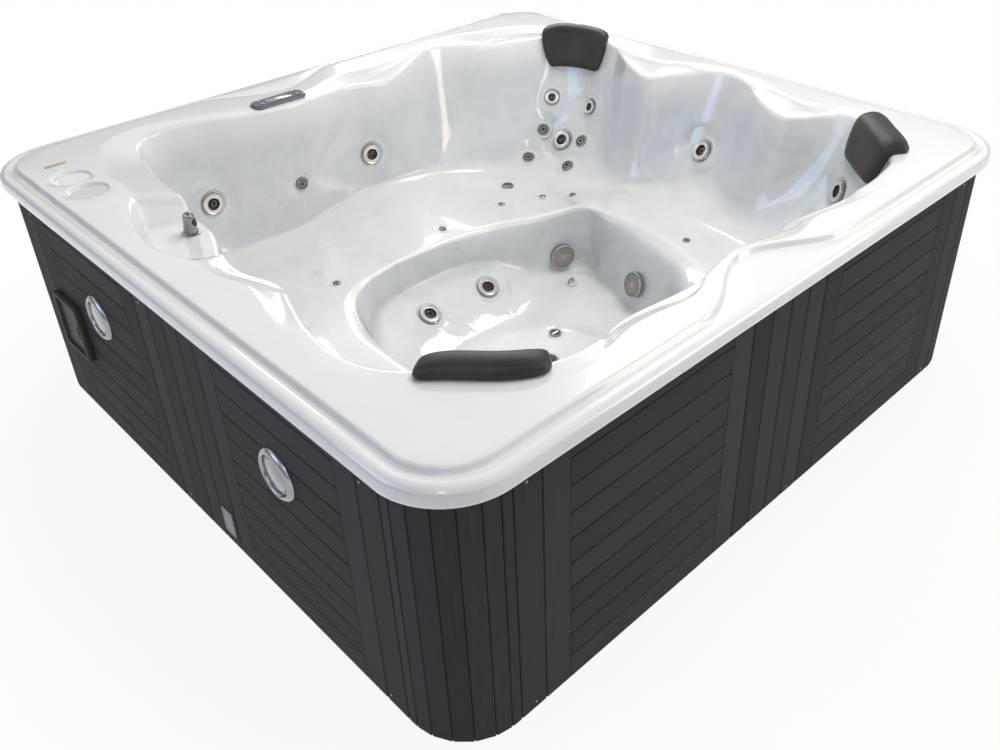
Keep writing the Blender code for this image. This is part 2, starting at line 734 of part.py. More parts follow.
def scallop(x, centre):
    """How far the deck's step draws in beside a scallop."""
    away = abs(x - centre) / SCALLOP_HALF_WIDTH
    if away >= 1.0:
        return 0.0
    return SCALLOP_DEPTH * (1.0 + math.cos(math.pi * away)) / 2.0


class Shell:
    """The moulded shell as a grid of stations (round) and rings (from rim to middle)."""

    LIP_RING = 9

    def __init__(self):
        self.pole = Vector((POLE_SHARES[0] * TUB_LENGTH / 2.0, POLE_SHARES[1] * TUB_WIDTH / 2.0))
        self.tables = [RingTable(shares) for shares in (
            LIP_SHARES, WALL_FOOT_SHARES, SEAT_SHARES, WELL_LIP_SHARES, FLOOR_EDGE_SHARES,
            RAMP_FOOT_SHARES)]
        self.stations = self.make_stations()
        self.grid = [self.section(station) for station in self.stations]
        self.bearings = [self.bearing_of(points[self.LIP_RING]) for points in self.grid]

    def bearing_of(self, spot):
        return math.atan2(spot.y - self.pole.y, spot.x - self.pole.x)

    def make_stations(self):
        """(side, along) pairs on the rim: along a side, or past its end on the corner arc."""
        half = (TUB_LENGTH / 2.0, TUB_WIDTH / 2.0)
        stations = []
        for side in range(4):
            flat = half[side % 2] - RIM_CORNER_RADIUS
            for step in range(SIDE_STEPS):
                stations.append((side, flat * (2.0 * step / SIDE_STEPS - 1.0), 0.0))
            for step in range(CORNER_STEPS):
                stations.append((side, flat, step / CORNER_STEPS))
        for turn in ALCOVE_TURN_SHARES[:2]:
            for sign in (-1.0, 1.0):
                angle = (turn + sign * ALCOVE_EDGE_TURN_SHARE / 2.0) * math.tau
                y = self.pole.y - half[0] * math.tan(angle)
                stations.append((3, -y, 0.0))
        return sorted(stations)

    def rim_point(self, station, inset):
        """Plan point of a station, moved in from the rim."""
        side, along, corner = station
        turn = math.tau * (side - 1) / 4.0
        out = Vector((math.cos(turn), math.sin(turn)))
        run = Vector((-out.y, out.x))
        half = (TUB_WIDTH / 2.0, TUB_LENGTH / 2.0)[side % 2]
        if corner == 0.0:
            return out * (half - inset) + run * along
        angle = turn + math.tau * corner / 4.0
        centre = out * (half - RIM_CORNER_RADIUS) + run * along
        return centre + Vector((math.cos(angle), math.sin(angle))) * (RIM_CORNER_RADIUS - inset)

    def alcove_share(self, bearing):
        """One inside the alcove's sector, none outside it."""
        low, high = ALCOVE_TURN_SHARES[:2]
        turn = (bearing / math.tau) % 1.0
        return 1.0 if low < turn < high else 0.0

    def alcove_back(self, bearing):
        """How far in from the step the alcove's back stands, as a share of the deck."""
        low, high, middle = ALCOVE_TURN_SHARES
        turn = (bearing / math.tau) % 1.0
        near, spread = ALCOVE_BACK_SHARES[:2]
        reach = (turn - middle) / ((middle - low) if turn < middle else (high - middle))
        return near + spread * min(reach * reach, 1.0)

    def section(self, station):
        """The ring points of one station, from the rim's foot to the middle of the floor."""
        rim = self.rim_point(station, 0.0)
        bearing = math.atan2(rim.y - self.pole.y, rim.x - self.pole.x)
        lip, foot, seat, well, floor_edge, ramp = (table.at(bearing) for table in self.tables)
        draw = 0.0
        if station[0] == 0 and station[2] == 0.0:
            draw = scallop(rim.x, FRONT_SCALLOP_X)
        if station[0] == 2 and station[2] == 0.0:
            draw = scallop(rim.x, BACK_SCALLOP_X)
        face_top = RIM_FOOT + LIP_FACE_HEIGHT
        ledge = face_top + LIP_ROUND
        slant = 1.0 - math.sqrt(0.5)
        outer = [(0.0, RIM_FOOT), (0.0, face_top),
                 (LIP_ROUND * slant, face_top + LIP_ROUND * (1.0 - slant)),
                 (LIP_ROUND, ledge), (LEDGE_WIDTH + draw, ledge + LEDGE_RISE),
                 (LEDGE_WIDTH + STEP_WIDTH + draw, DECK_HEIGHT)]
        points = []
        for inset, height in outer:
            spot = self.rim_point(station, inset)
            points.append(Vector((spot.x, spot.y, height)))
        drop = ALCOVE_DEPTH * self.alcove_share(bearing)
        lip = (lip[0], (lip[1] if drop == 0.0 else DECK_HEIGHT) - drop)
        step_radius = (points[-1].xy - self.pole).length
        room = (step_radius - lip[0]) * 0.45
        rise = 0.0 if drop else LIP_SHOULDER_RISE
        shoulder = (lip[0] + min(LIP_SHOULDER, room), lip[1] + rise)
        share = self.alcove_back(bearing)
        next_share = share + ALCOVE_BACK_SHARES[2]
        rings = [(step_radius + (shoulder[0] - step_radius) * share, DECK_HEIGHT),
                 (step_radius + (shoulder[0] - step_radius) * next_share, DECK_HEIGHT - drop),
                 shoulder, lip]
        rings += [blend(lip, foot, a, b) for a, b in WALL_RING_SHARES]
        rings.append(foot)
        dished = blend(foot, seat, 0.5, 0.5)
        rings.append((dished[0], dished[1] - SEAT_DISH))
        rings += [seat, blend(seat, well, 0.6, 0.6), well]
        rings += [blend(well, floor_edge, 0.45, 0.12), blend(well, floor_edge, 0.80, 0.60)]
        rings += [floor_edge, ramp, (ramp[0] * 0.5, ramp[1])]
        for radius, height in rings:
            points.append(Vector((self.pole.x + radius * math.cos(bearing),
                                  self.pole.y + radius * math.sin(bearing), height)))
        return points

    def sheet(self):
        """Top surface as points and faces."""
        rings = len(self.grid[0])
        count = len(self.grid)
        points = [spot for section in self.grid for spot in section]
        points.append(Vector((self.pole.x, self.pole.y, FLOOR_HEIGHT)))
        faces = []
        for station in range(count):
            after = (station + 1) % count
            for ring in range(rings - 1):
                a, b = station * rings + ring, station * rings + ring + 1
                c, d = after * rings + ring + 1, after * rings + ring
                faces += [(a, d, c), (a, c, b)]
            faces.append((station * rings + rings - 1, after * rings + rings - 1,
                          count * rings))
        return points, faces

    def solid(self):
        """The sheet given its thickness, measured square to the surface."""
        points, faces = self.sheet()
        normals = [Vector((0.0, 0.0, 0.0)) for _ in points]
        for face in faces:
            a, b, c = (points[i] for i in face)
            area = (b - a).cross(c - a)
            for i in face:
                normals[i] = normals[i] + area
        count = len(points)
        rings = len(self.grid[0])
        under = []
        for spot, normal in zip(points, normals):
            under.append(spot - normal.normalized() * SHELL_THICKNESS)
        for station in range(len(self.grid)):
            under[station * rings].z = RIM_FOOT
        faces = faces + [tuple(count + i for i in reversed(face)) for face in faces]
        for station in range(len(self.grid)):
            here = station * rings
            there = (station + 1) % len(self.grid) * rings
            faces.append((here, there, count + there, count + here))
        return mesh_of(points + under, faces)

    def locate(self, bearing):
        """Station number and share for a bearing, by the lip's own bearings."""
        count = len(self.bearings)
        for index in range(count):
            start = self.bearings[index]
            span = (self.bearings[(index + 1) % count] - start) % math.tau
            ahead = (bearing - start) % math.tau
            if ahead < span:
                return index, ahead / span
        return 0, 0.0

    def profile(self, bearing):
        """Ring points between two stations."""
        index, share = self.locate(bearing)
        here, there = self.grid[index], self.grid[(index + 1) % len(self.grid)]
        return [a.lerp(b, share) for a, b in zip(here, there)]

    def normal_at(self, spot):
        """The upward or inward normal of the facet that holds a point."""
        points, faces = self.sheet()
        best, found = None, Vector((0.0, 0.0, 1.0))
        for face in faces:
            a, b, c = (points[i] for i in face)
            normal = (b - a).cross(c - a)
            if normal.length == 0.0:
                continue
            normal = normal.normalized()
            away = abs((spot - a).dot(normal)) + (spot - (a + b + c) / 3.0).length * 0.02
            outside = max((a - b).normalized().cross(normal).dot(spot - a),
                          (b - c).normalized().cross(normal).dot(spot - b),
                          (c - a).normalized().cross(normal).dot(spot - c))
            if best is None or away + max(outside, 0.0) < best:
                best, found = away + max(outside, 0.0), normal
        return found

    def wall_point(self, turn_share, height_share):
        """A point on the wall at a bearing and a height, with its normal."""
        profile = self.profile(turn_share * math.tau)
        target = height_share * DECK_HEIGHT
        for upper, lower in list(zip(profile, profile[1:]))[self.LIP_RING:]:
            if upper.z >= target >= lower.z and upper.z > lower.z:
                spot = upper.lerp(lower, (upper.z - target) / (upper.z - lower.z))
                return spot, self.normal_at(spot)
        return profile[-1], Vector((0.0, 0.0, 1.0))

    def bed_point(self, share_x, share_y):
        """A point on the seats or the floor below a plan position, with its normal."""
        plan = Vector((share_x * TUB_LENGTH / 2.0, share_y * TUB_WIDTH / 2.0))
        points, faces = self.sheet()
        for face in faces:
            a, b, c = (points[i] for i in face)
            area = (b.xy - a.xy).cross(c.xy - a.xy)
            if abs(area) < GAP * GAP:
                continue
            u = (plan - a.xy).cross(c.xy - a.xy) / area
            v = (b.xy - a.xy).cross(plan - a.xy) / area
            if u >= 0.0 and v >= 0.0 and u + v <= 1.0:
                spot = a + (b - a) * u + (c - a) * v
                return spot, (b - a).cross(c - a).normalized()
        return Vector((plan.x, plan.y, FLOOR_HEIGHT)), Vector((0.0, 0.0, 1.0))


SHELL = Shell()


class Fitting:
    """A round fitting in the shell: where it is, which way it faces and its size."""

    def __init__(self, spot, normal, radius, depth):
        self.spot = spot
        self.normal = normal if normal.z > -0.2 else -normal
        self.radius = radius
        self.depth = depth
        self.proud = radius * FACE_PROUD_SHARE

    def hole(self):
        turning = self.radius > FACE_RADIUS_INLET
        clearance = FACE_CLEARANCE if turning else FIXED_CLEARANCE
        return cylinder(self.radius + clearance, -HOLE_REACH, HOLE_REACH, self.spot,
                        self.normal, self.facets())

    def facets(self):
        """How many sides the fitting and its hole have."""
        if self.radius > FACE_RADIUS_INLET:
            return JET_FACETS
        return SMALL_FACETS if self.radius > FACE_RADIUS_AIR else AIR_FACETS

    def back(self):
        """The far end of the housing, behind the shell."""
        return self.spot - self.normal * self.depth

    def turning_face(self):
        """Rim, bowl and an off-centre nozzle, as one turned piece."""
        r, p = self.radius, self.proud
        profile = ((0.0, -FACE_SUNK), (r, -FACE_SUNK), (r, p * 0.25), (r * 0.92, p * 0.92),
                   (r * 0.84, p), (r * 0.52, p * 0.84), (r * 0.46, p * 0.15),
                   (r * 0.20, p * 0.30), (0.0, 0.0))
        off = NOZZLE_OFFSET * r / FACE_RADIUS_LARGE
        shifts = (0.0, 0.0, 0.0, 0.0, 0.0, 0.0, off * 0.4, off, off)
        return lathe(profile, JET_FACETS, self.spot, self.normal, shifts)

    def housing(self):
        """The body behind a turning face."""
        top = -FACE_SUNK - GAP
        return cylinder(self.radius * 0.88, -self.depth, top, self.spot, self.normal,
                        SMALL_FACETS)

    def fixed(self):
        """Face and body in one, for a fitting that doesn't turn."""
        r, p = self.radius, self.proud
        profile = ((0.0, -self.depth), (r * 0.8, -self.depth), (r, 0.0), (r * 0.86, p),
                   (r * 0.48, p * 0.85), (0.0, 0.0))
        return lathe(profile, self.facets(), self.spot, self.normal)


def fittings():
    """Every fitting in the shell by kind."""
    wall = SHELL.wall_point
    bed = SHELL.bed_point
    made = {"turning": [], "small": [], "air": [], "floor": []}
    for name, turn, height in LARGE_JET_SHARES:
        made["turning"].append((name, Fitting(*wall(turn, height), FACE_RADIUS_LARGE,
                                              HOUSING_DEPTH)))
    for index, shares in enumerate(FOOT_JET_SHARES):
        made["turning"].append(("foot_%d" % (index + 1), Fitting(
            *bed(*shares), FACE_RADIUS_LARGE, HOUSING_DEPTH * 0.8)))
    for name, turn, height in MEDIUM_JET_SHARES:
        made["turning"].append((name, Fitting(*wall(turn, height), FACE_RADIUS_MEDIUM,
                                              HOUSING_DEPTH)))
    for name, turn, height in SMALL_JET_SHARES:
        made["small"].append(Fitting(*wall(turn, height), FACE_RADIUS_SMALL,
                                     SMALL_HOUSING_DEPTH))
    for shares in SEAT_JET_SHARES:
        made["small"].append(Fitting(*bed(*shares), FACE_RADIUS_SMALL, SMALL_HOUSING_DEPTH))
    for shares in AIR_JET_SHARES:
        made["air"].append(Fitting(*bed(*shares), FACE_RADIUS_AIR, AIR_HOUSING_DEPTH))
    for shares in FLOOR_SMALL_SHARES:
        made["floor"].append(Fitting(*bed(*shares), FACE_RADIUS_SMALL, FLOOR_HOUSING_DEPTH))
    for shares in FLOOR_INLET_SHARES:
        made["floor"].append(Fitting(*bed(*shares), FACE_RADIUS_INLET, FLOOR_HOUSING_DEPTH))
    return made


def suction_spots():
    """Where the two suction covers stand on the well's wall."""
    spots = []
    for turn, height in SUCTION_TURN_SHARES:
        spot, normal = SHELL.wall_point(turn, height)
        spots.append((spot, normal))
    return spots


def cover_standoff(spot, normal):
    """How far a suction cover stands off its spot, so that its edge clears the curved wall."""
    across, up, _ = frame_for(normal)
    points, faces = SHELL.sheet()
    highest = 0.0
    for step in range(SUCTION_FACETS):
        angle = math.tau * step / SUCTION_FACETS
        edge = spot + (across * math.cos(angle) + up * math.sin(angle)) * DRUM_RADIUS
        start = edge - normal * DRUM_RADIUS
        for face in faces:
            hit = geometry.intersect_ray_tri(*(points[i] for i in face), normal, start, True)
            if hit and (hit - start).length < 2.0 * DRUM_RADIUS:
                highest = max(highest, (hit - edge).dot(normal))
    return highest + DRUM_CLEARANCE


def spout_root():
    return Vector((SPOUT_X, SPOUT_Y, DECK_HEIGHT - ALCOVE_DEPTH))


def make_shell(parts):
    """The shell with its cup holders and every hole."""
    cups = [Vector((CUP_X, y, DECK_HEIGHT)) for y in CUP_YS]
    up = Vector((0.0, 0.0, 1.0))
    body = united([SHELL.solid()] + [
        cylinder(CUP_RADIUS + SHELL_THICKNESS, -CUP_DEPTH - SHELL_THICKNESS,
                 -SHELL_THICKNESS / 2.0, cup, up, ROUND_FACETS) for cup in cups])
    cuts = [cylinder(CUP_RADIUS, -CUP_DEPTH, CUP_DEPTH, cup, up, ROUND_FACETS) for cup in cups]
    for _, fitting in parts["turning"]:
        cuts.append(fitting.hole())
    for kind in ("small", "air", "floor"):
        cuts += [fitting.hole() for fitting in parts[kind]]
    for spot, normal in suction_spots():
        cuts.append(cylinder(DRUM_HOLE_RADIUS, -HOLE_REACH, HOLE_REACH, spot, normal, 12))
    root = spout_root()
    cuts.append(cylinder(SPOUT_STEM_RADIUS + FACE_CLEARANCE, -HOLE_REACH, HOLE_REACH, root,
                         up, 12))
    plug, _ = SHELL.bed_point(PLUG_X * 2.0 / TUB_LENGTH, PLUG_Y * 2.0 / TUB_WIDTH)
    cuts.append(cylinder(PLUG_RADIUS * 0.6 + PLUG_CLEARANCE, -HOLE_REACH * 0.5,
                         HOLE_REACH * 0.5, plug, up, 12))
    body = boolean(body, joined(cuts), "DIFFERENCE")
    place("tub_shell", body, acrylic)


def make_cabinet():
    """Sixteen panels, with the openings the left face has."""
    openings = left_openings()
    for side, name in enumerate(SIDE_NAMES):
        panels = {
            "corner_panel_" + name: vertical_panel(side, corner_cuts(side)),
            "middle_panel_" + name: vertical_panel(side, middle_cuts())}
        inner, outer = middle_cuts()[-1], corner_cuts(side)[0]
        panels["side_panel_" + name + "_a"] = level_panel(side, -outer, -inner)
        panels["side_panel_" + name + "_b"] = level_panel(side, inner, outer)
        for title, data in panels.items():
            for target, cutter in openings:
                if title in target:
                    data = boolean(data, cutter, "DIFFERENCE")
            place(title, data, board)


def left_openings():
    """Openings of the left face: two lamps and the service hatch."""
    lamps = [cylinder(LAMP_HOLE_RADIUS, -PANEL_THICKNESS * 2.0, PANEL_THICKNESS,
                      (-CABINET_HALF_X, sign * LAMP_Y, LAMP_Z), (-1.0, 0.0, 0.0), ROUND_FACETS)
             for sign in (1.0, -1.0)]
    hatch = centred_box((-CABINET_HALF_X, HATCH_Y, HATCH_Z),
                        (PANEL_THICKNESS * 4.0, HATCH_WIDTH - HATCH_BORDER,
                         HATCH_HEIGHT - HATCH_BORDER))
    return [(("side_panel_left_a",), lamps[0]), (("side_panel_left_b",), lamps[1]),
            (("side_panel_left_a", "corner_panel_back"), hatch)]


def make_base():
    """The tray the tub stands on, with pads under the footwell."""
    outline = rounded_outline(CABINET_HALF_X - TRAY_INSET, CABINET_HALF_Y - TRAY_INSET,
                              CABINET_CORNER_RADIUS - TRAY_INSET, BOARD_CORNER_STEPS)
    tray = prism(outline, 0.0, TRAY_THICKNESS)
    pads = []
    for sx in (-1.0, 1.0):
        for sy in (-1.0, 1.0):
            spot = (sx * PAD_SPREAD_X, PAD_CENTRE_Y + sy * PAD_SPREAD_Y, 0.0)
            top = FLOOR_HEIGHT - SHELL_THICKNESS - PAD_CLEARANCE
            pads.append(cylinder(PAD_RADIUS, TRAY_THICKNESS / 2.0, top, spot, (0, 0, 1), 12))
    place("base_tray", united([tray, joined(pads)]), black_plastic)


def frame_ring(low, high):
    """A rail all round the cabinet, between two heights."""
    inset = PANEL_THICKNESS + GAP
    outer = rounded_outline(CABINET_HALF_X - inset, CABINET_HALF_Y - inset,
                            CABINET_CORNER_RADIUS - inset, BOARD_CORNER_STEPS)
    inset += RAIL_WIDTH
    inner = rounded_outline(CABINET_HALF_X - inset, CABINET_HALF_Y - inset,
                            CABINET_CORNER_RADIUS - inset, BOARD_CORNER_STEPS // 2)
    return boolean(prism(outer, low, high),
                   prism(inner, low - RAIL_HEIGHT, high + RAIL_HEIGHT), "DIFFERENCE")


def make_frame():
    """Bottom rail, top rail and posts behind the panels."""
    bottom = TRAY_THICKNESS + GAP
    top = RIM_FOOT + LIP_FACE_HEIGHT + LIP_ROUND - SHELL_THICKNESS - 2.0 * GAP
    pieces = [frame_ring(bottom, bottom + RAIL_HEIGHT), frame_ring(top - RAIL_HEIGHT, top)]
    posts = []
    for side in range(4):
        for share in POST_SHARES:
            along = share * CABINET.flats[side]
            inner = PANEL_THICKNESS + GAP * 2.0
            low = CABINET.at(side, along - POST_LENGTH / 2.0, inner)
            high = CABINET.at(side, along + POST_LENGTH / 2.0, inner + POST_DEPTH)
            corner_a = Vector((min(low.x, high.x), min(low.y, high.y),
                               bottom + RAIL_HEIGHT / 2.0))
            corner_b = Vector((max(low.x, high.x), max(low.y, high.y), top - RAIL_HEIGHT / 2.0))
            posts.append(box(corner_a, corner_b))
    whole = boolean(pieces[0], joined(posts), "UNION")
    place("support_frame", boolean(whole, pieces[1], "UNION"), timber)


def main_point(bearing):
    """Where the ring main is met from the pole on a bearing."""
    pole = SHELL.pole
    direction = Vector((math.cos(bearing), math.sin(bearing)))
    best = None
    corners = main_corners()
    for index, start in enumerate(corners):
        edge = corners[(index + 1) % len(corners)] - start
        cross = direction.cross(edge)
        if abs(cross) < GAP * GAP:
            continue
        reach = (start - pole).cross(edge) / cross
        share = (start - pole).cross(direction) / cross
        if reach > 0.0 and -0.001 <= share <= 1.001 and (best is None or reach < best):
            best = reach
    return pole + direction * best


def main_corners():
    """The eight corners of the ring main."""
    x, y, c = MAIN_HALF_X, MAIN_HALF_Y, MAIN_CHAMFER
    return [Vector(p) for p in ((x, c - y), (x, y - c), (x - c, y), (c - x, y), (-x, y - c),
                                (-x, c - y), (c - x, -y), (x - c, -y))]


def branch(fitting, radius):
    """From a housing's back, straight down, then level out to the ring main."""
    back = fitting.back()
    start = fitting.spot - fitting.normal * (fitting.depth - radius)
    bearing = math.atan2(back.y - SHELL.pole.y, back.x - SHELL.pole.x)
    target = main_point(bearing)
    height = MAIN_HEIGHT
    drop = Vector((start.x, start.y, height))
    end = Vector((target.x, target.y, height))
    if (end - drop).length < MAIN_RADIUS:
        return tube([start, drop], radius)
    return tube([start, drop, end], radius)


def make_water(parts):
    """Ring main, branches, jet housings and the small fixed jets, as one moulding."""
    corners = [Vector((p.x, p.y, MAIN_HEIGHT)) for p in main_corners()]
    pieces = [tube(corners, MAIN_RADIUS, PIPE_FACETS, True)]
    for _, fitting in parts["turning"]:
        pieces.append(branch(fitting, BRANCH_RADIUS))
        pieces.append(fitting.housing())
    for fitting in parts["small"]:
        pieces.append(branch(fitting, BRANCH_RADIUS * 0.8))
        pieces.append(fitting.fixed())
    for fitting in parts["floor"]:
        start = fitting.back() + Vector((0.0, 0.0, BRANCH_RADIUS))
        low = Vector((fitting.spot.x, fitting.spot.y, FLOOR_BRANCH_HEIGHT))
        far = Vector((fitting.spot.x, -MAIN_HALF_Y, FLOOR_BRANCH_HEIGHT))
        end = Vector((fitting.spot.x, -MAIN_HALF_Y, MAIN_HEIGHT))
        pieces.append(tube([start, low, far, end], BRANCH_RADIUS))
        pieces.append(fitting.fixed())
    for y, scale in ((PUMP_Y, 1.0), (SMALL_PUMP_Y, SMALL_PUMP_SHARE)):
        outlet = y - PUMP_LENGTH / 2.0 + VOLUTE_LENGTH * scale * 0.72
        start = Vector((-MAIN_HALF_X, outlet, MAIN_HEIGHT))
        end = Vector((PUMP_X - VOLUTE_RADIUS * scale - GAP, outlet, MAIN_HEIGHT))
        pieces.append(tube([start, end], BRANCH_RADIUS * 1.2))
    for sign in (-1.0, 1.0):
        end_x = HEATER_X + sign * (HEATER_LENGTH / 2.0 + GAP)
        turn_x = end_x + sign * HEATER_RADIUS
        path = [Vector((end_x, HEATER_Y, HEATER_Z)), Vector((turn_x, HEATER_Y, HEATER_Z)),
                Vector((turn_x, -MAIN_HALF_Y, HEATER_Z)),
                Vector((turn_x, -MAIN_HALF_Y, MAIN_HEIGHT))]
        pieces.append(tube(path, BRANCH_RADIUS * 1.2))
    place("water_manifold", united(pieces), white_pipe)


def make_air(parts):
    """Air pipe from the blower with its seat injectors, as one moulding."""
    spots = [fitting.spot for fitting in parts["air"]]
    start = Vector((BLOWER_X, BLOWER_Y, TRAY_THICKNESS + BLOWER_HEIGHT + BLOWER_NECK))
    path = [start + Vector((0.0, 0.0, GAP)), Vector((BLOWER_X, BLOWER_Y, AIR_HEIGHT))]
    path += [Vector((spot.x, spot.y, AIR_HEIGHT)) for spot in spots[:1]]
    path.append(Vector((SUCTION_LANE_X, spots[1].y * 0.25, AIR_HEIGHT)))
    path += [Vector((spot.x, spot.y, AIR_HEIGHT)) for spot in spots[1:]]
    pieces = [tube(path, AIR_RADIUS)]
    for fitting in parts["air"]:
        low = Vector((fitting.spot.x, fitting.spot.y, AIR_HEIGHT - AIR_RADIUS * 0.3))
        pieces.append(tube([low, fitting.spot - fitting.normal * (fitting.depth * 0.6)],
                           AIR_BRANCH_RADIUS))
        pieces.append(fitting.fixed())
    place("air_manifold", united(pieces), white_pipe)


def make_suction():
    """Two drum covers on the well's wall and the pipe behind them."""
    pipes = []
    for index, (spot, normal) in enumerate(suction_spots()):
        r = DRUM_RADIUS
        foot = cover_standoff(spot, normal)
        top = foot + DRUM_HEIGHT
        profile = ((0.0, -DRUM_NECK_LENGTH), (DRUM_NECK_RADIUS, -DRUM_NECK_LENGTH),
                   (DRUM_NECK_RADIUS, foot), (r, foot),
                   (r, top - DRUM_HEIGHT * 0.2), (r * 0.9, top), (r * 0.3, top),
                   (r * 0.26, top - DRUM_HEIGHT * 0.12), (0.0, top - DRUM_HEIGHT * 0.12))
        place("suction_cover_%d" % (index + 1), lathe(profile, SUCTION_FACETS, spot, normal),
              brushed)
        back = spot - normal * (DRUM_NECK_LENGTH + GAP)
        bend = spot - normal * (DRUM_NECK_LENGTH + SUCTION_RADIUS * 2.4)
        pipes.append((back, bend))
    path = [pipes[0][0], pipes[0][1], Vector((SUCTION_LANE_X, pipes[0][1].y, pipes[0][1].z)),
            Vector((SUCTION_LANE_X, pipes[0][1].y, SUCTION_HEIGHT)),
            Vector((SUCTION_LANE_X, SUCTION_LANE_Y, SUCTION_HEIGHT)),
            Vector((PUMP_X, SUCTION_LANE_Y, SUCTION_HEIGHT)),
            Vector((PUMP_X, SUCTION_LANE_Y, PUMP_Z)),
            Vector((PUMP_X, PUMP_Y - PUMP_LENGTH / 2.0 - GAP, PUMP_Z))]
    second = [pipes[1][0], pipes[1][1], Vector((SUCTION_LANE_X, pipes[1][1].y, pipes[1][1].z)),
              Vector((SUCTION_LANE_X, pipes[1][1].y, SUCTION_HEIGHT))]
    place("suction_pipe", united([tube(path, SUCTION_RADIUS), tube(second, SUCTION_RADIUS)]),
          white_pipe)


def make_jets(parts):
    """The turning faces, each on its own axis."""
    for name, fitting in parts["turning"]:
        item = place("jet_face_" + name, fitting.turning_face(), steel, fitting.spot)
        item["axis"] = [round(v, 5) for v in fitting.normal]


def walk(profile, start_ring, distance):
    """A point on a profile, a distance past a ring (below zero: back towards the rim)."""
    index = start_ring
    step = 1 if distance >= 0.0 else -1
    left = abs(distance)
    while True:
        span = (profile[index + step] - profile[index]).length
        if left <= span:
            return profile[index].lerp(profile[index + step], left / span)
        left -= span
        index += step


def pillow(turn_share, flap_share, clearance):
    """A head cushion hooked over the lip: a roll on the deck and a flap down the wall."""
    centre = turn_share * math.tau
    lip = SHELL.profile(centre)[SHELL.LIP_RING]
    radius = (lip.xy - SHELL.pole).length
    inward = (SHELL.pole - lip.xy).normalized()
    columns, rows = 8, 10
    front, back = [], []
    for column in range(columns + 1):
        for row in range(rows + 1):
            across = 2.0 * column / columns - 1.0
            down = 2.0 * row / rows - 1.0
            flap = (down + 1.0) / 2.0
            width = PILLOW_WIDTH / 2.0 * (1.0 - 0.24 * flap * flap) * (1.0 - 0.05 * down ** 4)
            bearing = centre + across * width / radius
            distance = flap * (PILLOW_FLAP * flap_share + PILLOW_ROLL) - PILLOW_ROLL
            profile = SHELL.profile(bearing)
            spot = walk(profile, SHELL.LIP_RING, distance)
            tip = min(max((distance + PILLOW_ROLL * 0.5) / (PILLOW_ROLL * 1.3), 0.0), 1.0)
            lean = math.tau * 0.21 * tip * tip * (3.0 - 2.0 * tip)
            away = Vector((inward.x * math.sin(lean), inward.y * math.sin(lean),
                           math.cos(lean)))
            swell = math.sqrt(max(1.0 - abs(across) ** 3.2, 0.0))
            swell *= math.sqrt(max(1.0 - abs(down) ** 4.0, 0.0))
            thick = PILLOW_EDGE + (PILLOW_THICKNESS - PILLOW_EDGE) * swell
            back.append(spot + away * clearance)
            front.append(spot + away * (clearance + thick))
    points = front + back
    count = len(front)
    faces = []
    stride = rows + 1
    for column in range(columns):
        for row in range(rows):
            a = column * stride + row
            b, c, d = a + 1, a + stride + 1, a + stride
            faces += [(a, b, c), (a, c, d)]
            faces += [(count + a, count + c, count + b), (count + a, count + d, count + c)]
    edge = [row for row in range(stride)]
    edge += [column * stride + rows for column in range(1, columns + 1)]
    edge += [columns * stride + row for row in range(rows - 1, -1, -1)]
    edge += [column * stride for column in range(columns - 1, 0, -1)]
    for index, here in enumerate(edge):
        there = edge[(index + 1) % len(edge)]
        faces += [(here, there, count + there), (here, count + there, count + here)]
    return mesh_of(points, faces), lip


def make_pillows():
    """Three pull-off head cushions."""
    for name, turn, flap, rest in PILLOW_SHARES:
        data, lip = pillow(turn, flap, PILLOW_CLEARANCE * rest)
        place("pillow_" + name, data, foam, lip)


def make_controls():
    """Control panel on the back deck, with its display and four buttons."""
    base = DECK_HEIGHT + GAP * 2.0
    top = base + CONTROL_HEIGHT
    outline = rounded_outline(CONTROL_LENGTH / 2.0, CONTROL_WIDTH / 2.0, CONTROL_CORNER, 3)
    plate = prism([(x + PANEL_X, y + PANEL_Y) for x, y in outline], base, top)
    centre = Vector((PANEL_X, PANEL_Y, top))
    pocket = centred_box(centre, (DISPLAY_LENGTH + GAP * 2.0, DISPLAY_WIDTH + GAP * 2.0,
                                  (DISPLAY_THICKNESS + GAP) * 2.0))
    cuts = [pocket]
    places = []
    for sx in (-1.0, 1.0):
        for sy in (-1.0, 1.0):
            places.append(Vector((PANEL_X + sx * BUTTON_X, PANEL_Y + sy * BUTTON_Y, top)))
    for spot in places:
        cuts.append(cylinder(BUTTON_RADIUS + GAP, BUTTON_FLOOR - CONTROL_HEIGHT, CONTROL_HEIGHT,
                             spot, (0, 0, 1), 12))
    place("control_panel", boolean(plate, joined(cuts), "DIFFERENCE"), black_plastic)
    glass = centred_box(centre + Vector((0, 0, DISPLAY_PROUD - DISPLAY_THICKNESS / 2.0)),
                        (DISPLAY_LENGTH, DISPLAY_WIDTH, DISPLAY_THICKNESS))
    place("control_display", glass, clear_lens)
    for index, spot in enumerate(places):
        low = BUTTON_FLOOR - CONTROL_HEIGHT + BUTTON_TRAVEL + GAP
        profile = ((0.0, low), (BUTTON_RADIUS, low), (BUTTON_RADIUS, BUTTON_PROUD * 0.6),
                   (BUTTON_RADIUS * 0.8, BUTTON_PROUD), (0.0, BUTTON_PROUD))
        place("control_button_%d" % (index + 1), lathe(profile, 12, spot, (0, 0, 1)),
              grey_plastic, spot)


